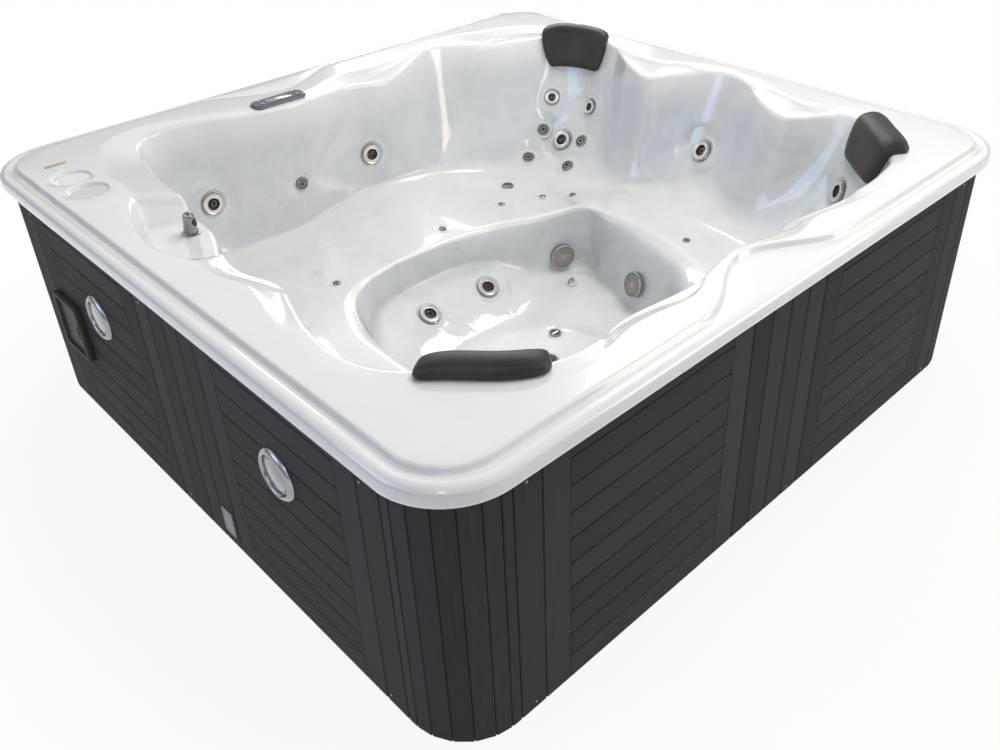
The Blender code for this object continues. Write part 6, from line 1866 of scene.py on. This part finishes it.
# ---- head cushions
@dataclass
class HeadCushion:
    """A foam head cushion: a roll bent over the lip and a tapering flap down the wall."""

    name: str
    turn: float
    flap_share: float
    rest: float
    shell: MouldedShell
    width: float = 0.270
    thick: float = 0.036
    edge: float = 0.012
    roll: float = 0.048
    flap: float = 0.125
    columns: int = 44
    rows: int = 52

    def profile(self, grid: np.ndarray, bearing: np.ndarray, turn: float) -> np.ndarray:
        """The shell's section on one bearing, from the shell's own grid.

        Args:
            grid: the shell's top surface.
            bearing: its stations' bearings.
            turn: the bearing that is wanted, in radians.

        Returns:
            Points from rim to pole.
        """
        order = np.argsort(bearing)
        sorted_bearing = bearing[order]
        angle = (turn + math.pi) % math.tau - math.pi
        index = int(np.searchsorted(sorted_bearing, angle)) % len(order)
        here, there = order[index - 1], order[index]
        span = (bearing[there] - bearing[here]) % math.tau
        share = ((angle - bearing[here]) % math.tau) / max(span, 1e-9)
        return grid[here] * (1.0 - share) + grid[there] * share

    def walk(self, section: np.ndarray, lip: int, distances: np.ndarray) -> np.ndarray:
        """Points along a section at distances past the lip; below zero is on the deck.

        Args:
            section: points from rim to pole.
            lip: the lip's place among them.
            distances: the distances.

        Returns:
            A point for each distance.
        """
        steps = np.linalg.norm(np.diff(section, axis=0), axis=1)
        run = np.concatenate([[0.0], np.cumsum(steps)])
        run -= run[lip]
        return np.column_stack([np.interp(distances, run, section[:, part])
                                for part in range(3)])

    def surfaces(self) -> Tuple[np.ndarray, np.ndarray]:
        """Shape the cushion's front and back from the shell's lip and wall.

        Returns:
            Points of the front and of the back, column after column.
        """
        grid, bearing, marks = self.shell.sheet()
        lip = marks[self.shell.LIP_LINE]
        centre = self.turn * math.tau
        pole = np.array(self.shell.pole)
        middle = self.profile(grid, bearing, centre)[lip]
        radius = float(np.hypot(*(middle[:2] - pole)))
        inward = (pole - middle[:2]) / radius
        down = np.linspace(-1.0, 1.0, self.rows + 1)
        flap = (down + 1.0) / 2.0
        distance = flap * (self.flap * self.flap_share + self.roll) - self.roll
        # the way off the shell turns from straight up on the deck to level on the wall
        tip = np.clip((distance + self.roll * 0.5) / (self.roll * 1.3), 0.0, 1.0)
        lean = math.tau * 0.21 * tip * tip * (3.0 - 2.0 * tip)
        away = np.column_stack([inward[0] * np.sin(lean), inward[1] * np.sin(lean),
                                np.cos(lean)])
        # narrower towards the flap's tip, and a little at both ends
        taper = (1.0 - 0.24 * flap * flap) * (1.0 - 0.05 * down ** 4)
        on_roll = 1.0 - smoothstep(distance, self.roll * 0.05, self.roll * 0.62)
        front, back = [], []
        for across in np.linspace(-1.0, 1.0, self.columns + 1):
            corner = 1.0 - np.clip((np.abs(down) - 0.80) / 0.20, 0.0, 1.0) ** 2.4 * 0.10
            width = self.width / 2.0 * taper * corner
            rows = []
            for row, half in enumerate(width):
                turn = centre + across * half / radius
                section = self.profile(grid, bearing, turn)
                rows.append(self.walk(section, lip, distance[row:row + 1])[0])
            spot = np.array(rows)
            # full in the middle, hollow where the neck lies, with a groove near each side
            swell = math.sqrt(max(1.0 - abs(across) ** 4.6, 0.0)) * np.sqrt(
                np.maximum(1.0 - np.abs(down) ** 5.0, 0.0))
            hollow = 0.30 * (1.0 - across * across) * np.exp(-((flap - 0.62) / 0.26) ** 2)
            side = 0.16 * np.exp(-((abs(across) - 0.86) / 0.07) ** 2) * (1.0 - on_roll)
            full = 0.86 + 0.14 * on_roll - hollow * 0.55 - side * 0.35
            tall = self.edge + (self.thick - self.edge) * swell * full
            clearance = 0.0045 * self.rest + 0.0006
            back.append(spot + away * clearance)
            front.append(spot + away * (clearance + tall)[:, None])
        return np.array(front).reshape(-1, 3), np.array(back).reshape(-1, 3)

    def closed(self, sheet: np.ndarray, under: np.ndarray) -> bpy.types.Mesh:
        """Join front and back with a soft edge.

        Args:
            sheet: the front's points.
            under: the back's points.

        Returns:
            A closed mesh.
        """
        count, stride = len(sheet), self.rows + 1
        faces: List[Tuple[int, ...]] = []
        for column in range(self.columns):
            for row in range(self.rows):
                a = column * stride + row
                faces.append((a, a + 1, a + stride + 1, a + stride))
                faces.append((count + a, count + a + stride, count + a + stride + 1,
                              count + a + 1))
        edge = list(range(stride))
        edge += [column * stride + self.rows for column in range(1, self.columns + 1)]
        edge += [self.columns * stride + row for row in range(self.rows - 1, -1, -1)]
        edge += [column * stride for column in range(self.columns - 1, 0, -1)]
        bulged = np.array([(sheet[here] + under[here]) / 2.0 + self.swelling(sheet, here, stride)
                           for here in edge])
        first = 2 * count
        points = np.concatenate([sheet, under, bulged])
        for index, here in enumerate(edge):
            after = (index + 1) % len(edge)
            there = edge[after]
            faces.append((here, there, first + after, first + index))
            faces.append((first + index, first + after, count + there, count + here))
        return MeshMaker.mesh(points, faces, recalc=True)

    def build(self) -> bpy.types.Object:
        """Build the cushion over its CAD node."""
        pillow = "pillow_" + self.name
        item = MeshMaker.place("cushion_" + self.name, self.closed(*self.surfaces()),
                               [Finish.FOAM], pillow, [pillow], "pillow_foam", 180.0)
        return item

    def swelling(self, sheet: np.ndarray, here: int, stride: int) -> np.ndarray:
        """How far the cushion's edge stands out, so that it ends in a soft round.

        Args:
            sheet: the front's points.
            here: the number of a point on its edge.
            stride: how many points a column has.

        Returns:
            The way out and how far.
        """
        column, row = divmod(here, stride)
        inner = min(max(column, 1), self.columns - 1) * stride + min(max(row, 1), self.rows - 1)
        out = sheet[here] - sheet[inner]
        size = float(np.linalg.norm(out))
        return out / max(size, 1e-9) * self.edge * 0.28


# ---- spout, controls and trim
@dataclass
class Spout:
    """The chrome spout that leans out of the alcove's floor."""

    root: Spot = (-0.846, 0.262, 0.700)
    height: float = 0.070
    lean: Pair = (-0.0119, -0.0320)
    radius: float = 0.019
    tip: float = 0.014
    # share of the height at which the domed end starts, and how high the dome is
    dome: Pair = (0.80, 0.205)
    spans: int = 24

    def build(self) -> bpy.types.Object:
        """Build the spout over its CAD node."""
        root = Vector(self.root)
        lean = Vector((*self.lean, 0.0))
        start, rise = self.dome
        path, radii = [], []
        for step in range(self.spans + 1):
            share = step / self.spans
            height = self.height * share
            path.append(root + lean * (share ** 1.5) + UP * (height + 0.0012))
            body = self.radius + (self.tip - self.radius) * share
            cap = math.sqrt(max(1.0 - max((share - start) / rise, 0.0) ** 2, 0.0))
            radii.append(max(body * (0.16 + 0.84 * cap) if share > start else body, 0.0015))
        cone = sweep(path, radii, 40)
        collar = lathe([(0.0, 0.0004), (self.radius * 1.30, 0.0004), (self.radius * 1.31, 0.0022),
                        (self.radius * 1.22, 0.0042), (self.radius * 1.02, 0.0050),
                        (self.radius * 0.6, 0.0052), (0.0, 0.0052)], root, UP, 48)
        stem = lathe([(0.0, -0.030), (0.009, -0.030), (0.009, 0.001), (0.0, 0.001)], root, UP, 24)
        # the mouth: a dark slot of painted shade on the spout's side
        mouth = root + lean * 0.62 + UP * (self.height * 0.60)
        slot = plate([(0.0052, 0.0105, 0.005, 0.0120), (0.0052, 0.0105, 0.005, 0.0178)],
                     mouth, (0.55, -0.82, 0.10), (0.83, 0.56, 0.0), 6)
        parts = [cone, collar, stem, mark_all(slot, 1)]
        return MeshMaker.place("spout_body", MeshMaker.joined(parts),
                               [Finish.SPOUT, Finish.DARK_METAL], "tub", ["spout"],
                               "spout_chrome", 40.0)


@dataclass
class ControlPanel:
    """Slim bezel with a display and four keys on the back deck."""

    centre: Spot = (-0.235, 0.806, 0.7558)
    size: Pair = (0.190, 0.064)
    height: float = 0.010
    display: Pair = (0.086, 0.034)
    key: float = 0.0075
    key_at: Pair = (0.066, 0.015)

    def build(self) -> None:
        """Build the bezel, the display and the keys over their CAD nodes."""
        h = self.height
        rows = [(0.0012, 0.019, 0.0), (0.0, 0.020, 0.0012), (0.0006, 0.0195, h * 0.36),
                (0.0034, 0.018, h * 0.80), (0.0056, 0.017, h - 0.0003), (0.0070, 0.016, h),
                (0.0078, 0.0145, h - 0.0005), (0.0086, 0.014, h - 0.0005)]
        bezel = plate(inset((self.size[0] / 2.0, self.size[1] / 2.0), rows), self.centre, UP,
                      RIGHT, 10, [0, 0, 0, 0, 0, 0, 0, 1, 0])
        top = Vector(self.centre) + UP * h
        spots = [top + Vector((sx * self.key_at[0], sy * self.key_at[1], 0.0))
                 for sx in (-1.0, 1.0) for sy in (-1.0, 1.0)]
        reach = self.key + 0.0004
        holes = [lathe([(0.0, -0.0068), (reach, -0.0068), (reach, 0.004), (0.0, 0.004)],
                       spot, UP, 32) for spot in spots]
        window = (self.display[0] / 2.0, self.display[1] / 2.0)
        holes.append(plate(inset(window, [(-0.0004, 0.003, -0.0024), (-0.0004, 0.003, 0.004)]),
                           top, UP, RIGHT, 5))
        MeshMaker.place("control_bezel", carve(bezel, MeshMaker.joined(holes)),
                        [Finish.BEZEL, Finish.KEYPAD], "tub", ["control_panel"],
                        "control_bezel", 35.0)
        glass = plate(inset(window, [(0.0, 0.003, -0.0020), (0.0, 0.003, 0.0),
                                     (0.0006, 0.0026, 0.0004)]), top, UP, RIGHT, 5)
        MeshMaker.place("control_glass", glass, [Finish.GLASS], "tub", ["control_display"],
                        "control_window", 35.0)
        for index, spot in enumerate(spots):
            r = self.key
            rows = [(0.0, -0.0048), (r, -0.0048), (r, 0.0006), (r * 0.96, 0.0012),
                    (r * 0.86, 0.0016), (r * 0.76, 0.0014), (r * 0.40, 0.0010), (0.0, 0.0009)]
            MeshMaker.place("control_key_%d" % (index + 1),
                            lathe(rows, spot, UP, 36, [0, 0, 0, 0, 1, 1, 1]),
                            [Finish.BEZEL, Finish.GREY], "button_%d" % (index + 1),
                            ["control_button_%d" % (index + 1)], "control_button", 30.0)


@dataclass
class TrimBar:
    """The plain metal bar beside the cup holders, with eased edges."""

    low: Vector
    high: Vector

    def build(self) -> bpy.types.Object:
        """Build the bar over its CAD node."""
        centre = (self.low + self.high) / 2.0
        half = (self.high - self.low) / 2.0
        base = Vector((centre.x, centre.y, self.low.z))
        tall = half.z * 2.0
        rows = [(0.0, 0.0012, 0.0), (0.0, 0.0012, tall * 0.6), (0.0004, 0.001, tall * 0.9),
                (0.0012, 0.0006, tall)]
        bar = plate(inset((half.x, half.y), rows), base, UP, RIGHT, 4)
        return MeshMaker.place("brass_bar", bar, [Finish.BRASS], "tub", ["trim_bar"],
                               "trim_brass", 30.0)


# ---- lamps, hatch, plate and plug
@dataclass
class CabinetLamp:
    """A round lamp on the left face: wide chromed ring, clear lens and a reflector behind."""

    number: int
    spot: Spot
    radius: float = 0.067
    glass: float = 0.050
    proud: float = 0.011
    depth: float = 0.022

    def build(self) -> None:
        """Build the ring and the lens over their CAD nodes."""
        r, g, p = self.radius, self.glass, self.proud
        ring = [(g + 0.0004, -self.depth), (g + 0.0004, p * 0.30), (g + 0.0012, p * 0.62),
                (g + 0.0030, p * 0.92), (g + 0.0052, p), (g + 0.0080, p * 0.94),
                (r - 0.0056, p * 0.74), (r - 0.0028, p * 0.52), (r - 0.0008, p * 0.26),
                (r, 0.0010), (0.0530, 0.0010), (0.0530, -self.depth)]
        MeshMaker.place("lamp_bezel_%d" % self.number, lathe(ring, self.spot, LEFT, 72),
                        [Finish.LAMP_RING], "tub", ["lamp_ring_%d" % self.number],
                        "lamp_chrome", 40.0)
        rows = [(0.0, -self.depth * 0.72), (g * 0.55, -self.depth * 0.72),
                (g * 0.60, -self.depth * 0.62), (g * 0.97, -self.depth * 0.20),
                (g * 0.985, -0.0020), (g * 0.60, -0.0060), (g * 0.57, -0.0075),
                (0.0, -0.0078)]
        bowl = lathe(rows, self.spot, LEFT, 56, [1, 1, 2, 1, 2, 2, 1])
        lens = lathe([(0.0, -0.0015), (g * 0.90, -0.0015), (g - 0.0004, -0.0010), (g, 0.0010),
                      (g * 0.965, p * 0.30), (g * 0.930, p * 0.34), (g * 0.900, p * 0.22),
                      (g * 0.865, p * 0.24), (g * 0.830, p * 0.44), (g * 0.50, p * 0.60),
                      (g * 0.20, p * 0.66), (0.0, p * 0.68)], self.spot, LEFT, 56, [3] * 11)
        MeshMaker.place("lamp_glass_%d" % self.number, MeshMaker.joined([bowl, lens]),
                        [Finish.PALE, Finish.GREY, Finish.LAMP_RING, Finish.LENS], "tub",
                        ["lamp_lens_%d" % self.number], "lamp_lens", 40.0)


@dataclass
class ServiceHatch:
    """The black frame on the left face and the door that swings in it."""

    centre: Spot = (-CABINET_HALF[0], *HATCH_AT)
    size: Pair = (0.160, 0.186)
    border: float = 0.016
    proud: float = 0.019
    thick: float = 0.012
    gap: float = 0.0008

    def slab(self, half: Pair, rows: Sequence[Spot]) -> bpy.types.Mesh:
        """A rounded slab facing -X about the hatch's middle, from (inset, radius, height)."""
        return plate(inset(half, rows), self.centre, LEFT, BACK, 6)

    def build(self) -> None:
        """Build the frame and the door over their CAD nodes."""
        a, b, p = self.size[0] / 2.0, self.size[1] / 2.0, self.proud
        outer = self.slab((a, b), [(0.0, 0.010, 0.0006), (0.0, 0.010, p * 0.55),
                                   (0.0010, 0.010, p * 0.80), (0.0030, 0.009, p * 0.95),
                                   (0.0060, 0.008, p)])
        i, j = a - self.border, b - self.border
        hole = self.slab((i, j), [(0.0, 0.006, -0.05), (0.0, 0.006, p * 0.70),
                                  (-0.0030, 0.008, p * 0.98), (-0.0060, 0.009, p * 1.4)])
        sleeve = self.slab((a, b), [(0.0088, 0.006, -0.008), (0.0088, 0.006, 0.0008)])
        frame = MeshMaker.joined([carve(outer, hole), carve(sleeve, hole)])
        MeshMaker.place("hatch_surround", frame, [Finish.HATCH], "tub", ["hatch_frame"],
                        "hatch_plastic", 35.0)
        m, n, face = i - self.gap, j - self.gap, p * 0.55
        rear = face - self.thick
        door = self.slab((m, n), [(0.001, 0.005, rear), (0.0, 0.005, rear + 0.001),
                                  (0.0, 0.005, face - 0.0016), (0.0006, 0.005, face - 0.0005),
                                  (0.0020, 0.004, face), (0.0090, 0.003, face),
                                  (0.0100, 0.003, face - 0.0012),
                                  (0.0120, 0.003, face - 0.0014)])
        x, y, z = self.centre
        pull = plate([(0.0050, 0.020, 0.0045, -0.001), (0.0050, 0.020, 0.0045, 0.0055),
                      (0.0044, 0.0192, 0.004, 0.0074), (0.0030, 0.0175, 0.003, 0.0080)],
                     (x - face, y - m + 0.014, z), LEFT, BACK, 6)
        MeshMaker.place("hatch_leaf", MeshMaker.joined([door, mark_all(pull, 1)]),
                        [Finish.DOOR, Finish.HATCH], "service_door", ["hatch_door"],
                        "hatch_door_board", 35.0)


@dataclass
class DrainPlate:
    """The small bare grey plate low on the left face."""

    centre: Spot = (-1.0744, -0.112, 0.082)
    size: Pair = (0.052, 0.084)
    thick: float = 0.0035

    def build(self) -> bpy.types.Object:
        """Build the plate over its CAD node."""
        tall = self.thick
        rows = [(0.0, 0.006, 0.0), (0.0, 0.006, tall * 0.5), (0.0005, 0.0056, tall * 0.86),
                (0.0014, 0.005, tall), (0.0052, 0.004, tall), (0.0060, 0.0036, tall - 0.0008)]
        made = plate(inset((self.size[0] / 2.0, self.size[1] / 2.0), rows), self.centre, LEFT,
                     BACK, 6)
        return MeshMaker.place("drain_plate", made, [Finish.GREY], "tub",
                               ["drain_cover_plate"], "plate_plastic", 35.0)


@dataclass
class DrainPlug:
    """The pale floor plug and its wire bail."""

    low: Vector
    high: Vector
    radius: float = 0.021
    height: float = 0.006
    bail: float = 0.013
    wire: float = 0.0028
    spans: int = 24

    def build(self) -> bpy.types.Object:
        """Build the plug over its CAD node."""
        spot = Vector(((self.low.x + self.high.x) / 2.0, (self.low.y + self.high.y) / 2.0,
                       self.low.z + self.height * 2.0))
        r, h = self.radius, self.height
        disc = lathe([(0.0, -h * 1.98), (r * 0.56, -h * 1.98), (r * 0.59, -h * 1.8),
                      (r * 0.59, 0.0), (r * 0.97, 0.0002), (r, h * 0.16), (r * 0.99, h * 0.42),
                      (r * 0.93, h * 0.66), (r * 0.84, h * 0.92), (r * 0.78, h),
                      (r * 0.70, h * 0.93), (r * 0.62, h * 0.97), (0.0, h * 0.99)],
                     spot, UP, 48)
        angles = [math.pi * step / self.spans for step in range(self.spans + 1)]
        path = [spot + Vector((self.bail * math.cos(angle), 0.0,
                               h * 0.7 + self.bail * 1.3 * math.sin(angle)))
                for angle in angles]
        bail = mark_all(sweep(path, [self.wire * 0.98] * len(path), 14), 1)
        return MeshMaker.place("plug_and_bail", MeshMaker.joined([disc, bail]),
                               [Finish.PALE, Finish.STEEL], "plug", ["drain_plug"],
                               "plug_steel", 40.0)


@dataclass
class PanelScrews:
    """Small pan-head screws that hold the boards, copied by Geometry Nodes."""

    left: Tuple[Pair, ...] = ((0.115, 0.654), (-0.791, 0.654), (-0.791, 0.030), (0.115, 0.030),
                              (0.791, 0.654))
    front: Tuple[Pair, ...] = ((-0.866, 0.668), (-0.858, 0.024), (0.101, 0.020), (0.866, 0.668),
                               (0.858, 0.024))

    def build(self) -> bpy.types.Object:
        """Build every screw head as one piece."""
        spots, facing = [], []
        for y, z in self.left:
            for sign in (-1.0, 1.0):
                spots.append((sign * (CABINET_HALF[0] + 0.0002), y, z))
                facing.append((sign, 0.0, 0.0))
        for x, z in self.front:
            for sign in (-1.0, 1.0):
                spots.append((x, sign * (CABINET_HALF[1] + 0.0002), z))
                facing.append((0.0, sign, 0.0))
        heads = Scatter("screw_heads", 0.0032, 0.0016, 14, 0).on(spots, facing, Finish.STEEL)
        return MeshMaker.place("panel_screws", heads, [Finish.STEEL], "tub", (),
                               "jet_steel", 50.0)


# ---- hidden works
@dataclass
class Works:
    """Everything behind the boards: kept CAD solids in their own finishes."""

    nodes: Dict[str, bpy.types.Object]
    finishes: Tuple[Tuple[str, Finish], ...] = (
        ("base_tray", Finish.TRAY), ("support_frame", Finish.TIMBER),
        ("water_manifold", Finish.PIPE), ("air_manifold", Finish.PIPE),
        ("suction_pipe", Finish.PIPE), ("massage_pump", Finish.PAINT),
        ("circulation_pump", Finish.PAINT), ("heater", Finish.HEATER),
        ("control_box", Finish.BOX), ("air_blower", Finish.BLACK))

    def build(self) -> None:
        """Give each kept node its finish."""
        for name, finish in self.finishes:
            for slot in self.nodes[name].material_slots:
                slot.material = finish.get()
            LOG.info("%s keeps its solid, in %s", name, finish.value.name)


# ---- studio
@dataclass
class Studio:
    """Plain pale floor, soft lamps, a white world and the photograph's camera."""

    azimuth: float = -0.763
    elevation: float = 0.565
    roll: float = -0.022
    focal: float = 985.83
    middle: Pair = (537.07, 306.5)
    frame: Pair = (1000.0, 750.0)
    place: Spot = (-1.78066, -2.01886, 1.90330)
    sensor: float = 36.0
    # strength of the world as a light, and half the floor's size
    dim: float = 0.36
    floor_half: float = 14.0
    # distances between which the floor fades to white
    fade: Pair = (1.25, 2.1)
    # height from -Z to Z as a share, brightness
    gradient: Tuple[Pair, ...] = ((0.0, 0.08), (0.47, 0.12), (0.52, 0.34), (0.66, 0.40),
                                  (0.70, 1.0), (0.84, 1.0), (0.88, 0.30), (1.0, 0.52))

    def camera(self) -> bpy.types.Object:
        """The camera at the photograph's viewing angle."""
        az, el = self.azimuth, self.elevation
        back = Vector((math.sin(az) * math.cos(el), -math.cos(az) * math.cos(el), math.sin(el)))
        right = (-back).cross(UP).normalized()
        up = right.cross(-back)
        turned = right * math.cos(self.roll) + up * math.sin(self.roll)
        top = up * math.cos(self.roll) - right * math.sin(self.roll)
        data = bpy.data.cameras.new("camera")
        data.sensor_fit = "HORIZONTAL"
        data.sensor_width = self.sensor
        data.lens = self.focal * self.sensor / self.frame[0]
        data.shift_x = -(self.middle[0] - self.frame[0] / 2.0) / self.frame[0]
        data.shift_y = (self.middle[1] - self.frame[1] / 2.0) / self.frame[0]
        data.clip_end = 60.0
        item = bpy.data.objects.new("camera", data)
        matrix = Matrix((turned, top, back)).transposed().to_4x4()
        matrix.translation = Vector(self.place)
        item.matrix_world = matrix
        bpy.context.scene.collection.objects.link(item)
        bpy.context.scene.camera = item
        return item

    def lamp(self, name: str, place: Point, target: Point, size: Pair, power: float,
             colour: Colour = (1.0, 1.0, 1.0), mirrored: bool = True) -> None:
        """A soft rectangular lamp aimed at a point, shown in reflections if mirrored.

        Args:
            name: the lamp's name.
            place: where it is.
            target: where it points.
            size: its width and height.
            power: its power in watts.
            colour: its colour.
            mirrored: whether reflections show it.
        """
        data = bpy.data.lights.new(name, "AREA")
        data.shape = "RECTANGLE"
        data.size, data.size_y = size
        data.energy = power
        data.color = colour
        item = bpy.data.objects.new(name, data)
        item.location = Vector(place)
        item.rotation_euler = (Vector(place) - Vector(target)).to_track_quat("Z", "Y").to_euler()
        item.visible_glossy = mirrored
        bpy.context.scene.collection.objects.link(item)

    def world(self) -> None:
        """White to the camera, a soft studio gradient to glossy rays, dim to the rest."""
        world = bpy.data.worlds.new("studio")
        bpy.context.scene.world = world
        world.use_nodes = True
        tree = NodeTree(world.node_tree)
        rise = tree.axis(tree.node("ShaderNodeTexCoord", output="Generated"), "Z")
        level = tree.node("ShaderNodeMapRange", {}, {"Value": rise, "From Min": -1.0})
        stops = [(where, (value, value, value)) for where, value in self.gradient]
        sky = tree.node("ShaderNodeValToRGB", {"stops": stops}, {"Fac": level})
        look, glossy, seen = (tree.node("ShaderNodeBackground", {}, inputs) for inputs in (
            {"Color": (0.97, 0.985, 1.0), "Strength": self.dim}, {"Color": sky},
            {"Color": (1.0, 1.0, 1.0)}))
        for ray, shown in (("Is Glossy Ray", glossy), ("Is Transmission Ray", seen),
                           ("Is Camera Ray", seen)):
            look = tree.node("ShaderNodeMixShader", {}, {
                0: tree.node("ShaderNodeLightPath", output=ray), 1: look, 2: shown})
        tree.end("ShaderNodeOutputWorld", look)

    def floor(self) -> None:
        """A wide pale floor that keeps the tub's shadow and fades to white."""
        half = self.floor_half
        data = MeshMaker.mesh([(-half, -half, 0.0), (half, -half, 0.0), (half, half, 0.0),
                               (-half, half, 0.0)], [(0, 1, 2, 3)])
        item = bpy.data.objects.new("floor", data)
        bpy.context.scene.collection.objects.link(item)
        tree = ShaderTree("studio_floor")
        place = tree.place()
        pale = tree.noise(place, 3.0, 2.0)
        body = tree.node("ShaderNodeBsdfDiffuse", {}, {
            "Color": tree.mix(pale * 0.03, (0.86, 0.86, 0.86), (0.84, 0.84, 0.84))})
        glow = tree.node("ShaderNodeEmission", {}, {"Strength": 1.0})
        x, y = tree.axis(place, "X"), tree.axis(place, "Y")
        away = (x * x + y * y).maths("SQRT").ramp(*self.fade)
        path = tree.node("ShaderNodeLightPath", output="Is Camera Ray")
        for kind in ("Is Glossy Ray", "Is Transmission Ray"):
            path = path.highest(tree.node("ShaderNodeLightPath", output=kind))
        keep = tree.node("ShaderNodeMixShader", {}, {0: path * (away * 0.10 + 0.90), 1: body,
                                                     2: glow})
        tree.end("ShaderNodeOutputMaterial", keep)
        data.materials.append(tree.material)

    def build(self) -> None:
        """Set up camera, lamps, world, floor and colour view."""
        self.camera()
        self.world()
        self.floor()
        self.lamp("over", (0.7, -0.75, 3.2), (0.0, 0.0, 0.4), (2.0, 1.5), 53.0,
                  mirrored=False)
        self.lamp("skylight", (2.25, 1.15, 3.1), (0.1, 0.2, 0.4), (0.7, 0.9), 11.0)
        self.lamp("rear", (3.0, 3.4, 2.5), (0.0, 0.0, 0.5), (2.4, 1.1), 34.0)
        self.lamp("left_rear", (-3.8, 1.0, 2.2), (0.0, 0.0, 0.4), (1.8, 1.6), 19.0,
                  (0.48, 0.70, 1.0))
        self.lamp("right_front", (2.6, -3.6, 2.0), (0.0, -0.2, 0.4), (2.0, 1.6), 41.0,
                  (1.0, 0.91, 0.79))
        self.lamp("window", (-3.0, -2.6, 3.3), (0.2, 0.2, 0.4), (0.5, 1.3), 9.0)
        self.lamp("left_low", (-3.4, -2.6, 1.1), (-1.0, -0.7, 0.35), (1.6, 0.9), 4.0,
                  (0.20, 0.42, 1.0))
        bpy.context.scene.view_settings.view_transform = "Standard"


def main() -> None:
    """Build the tub's pieces in order."""
    logging.basicConfig(level=logging.INFO, format="%(name)s: %(message)s")
    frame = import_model()
    Studio().build()
    reader = FrameReader(frame["nodes"])
    jets = [TurningJet.on_joint(joint) for joint in frame["joints"]
            if joint["name"].startswith("jet_")]
    fixed = FixedFittings(reader)
    fixed.locate()
    shell = MouldedShell(seats=[one.seat() for one in (*jets, *fixed.found)])
    shell.build()
    BoardCabinet().build()
    for jet in jets:
        jet.build()
    fixed.build()
    for number in (1, 2):
        SuctionDrum(number, reader).build()
    for name, turn, flap_share, rest in CUSHIONS:
        HeadCushion(name, turn, flap_share, rest, shell).build()
    Spout().build()
    ControlPanel().build()
    TrimBar(*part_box("trim_bar")).build()
    for number, y in enumerate(LAMPS_Y, start=1):
        CabinetLamp(number, (-CABINET_HALF[0], y, LAMP_HEIGHT)).build()
    ServiceHatch().build()
    DrainPlate().build()
    DrainPlug(*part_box("drain_plug")).build()
    PanelScrews().build()
    Works(frame["nodes"]).build()
    LOG.info("the tub is dressed")


if __name__ == "__main__":
    main()
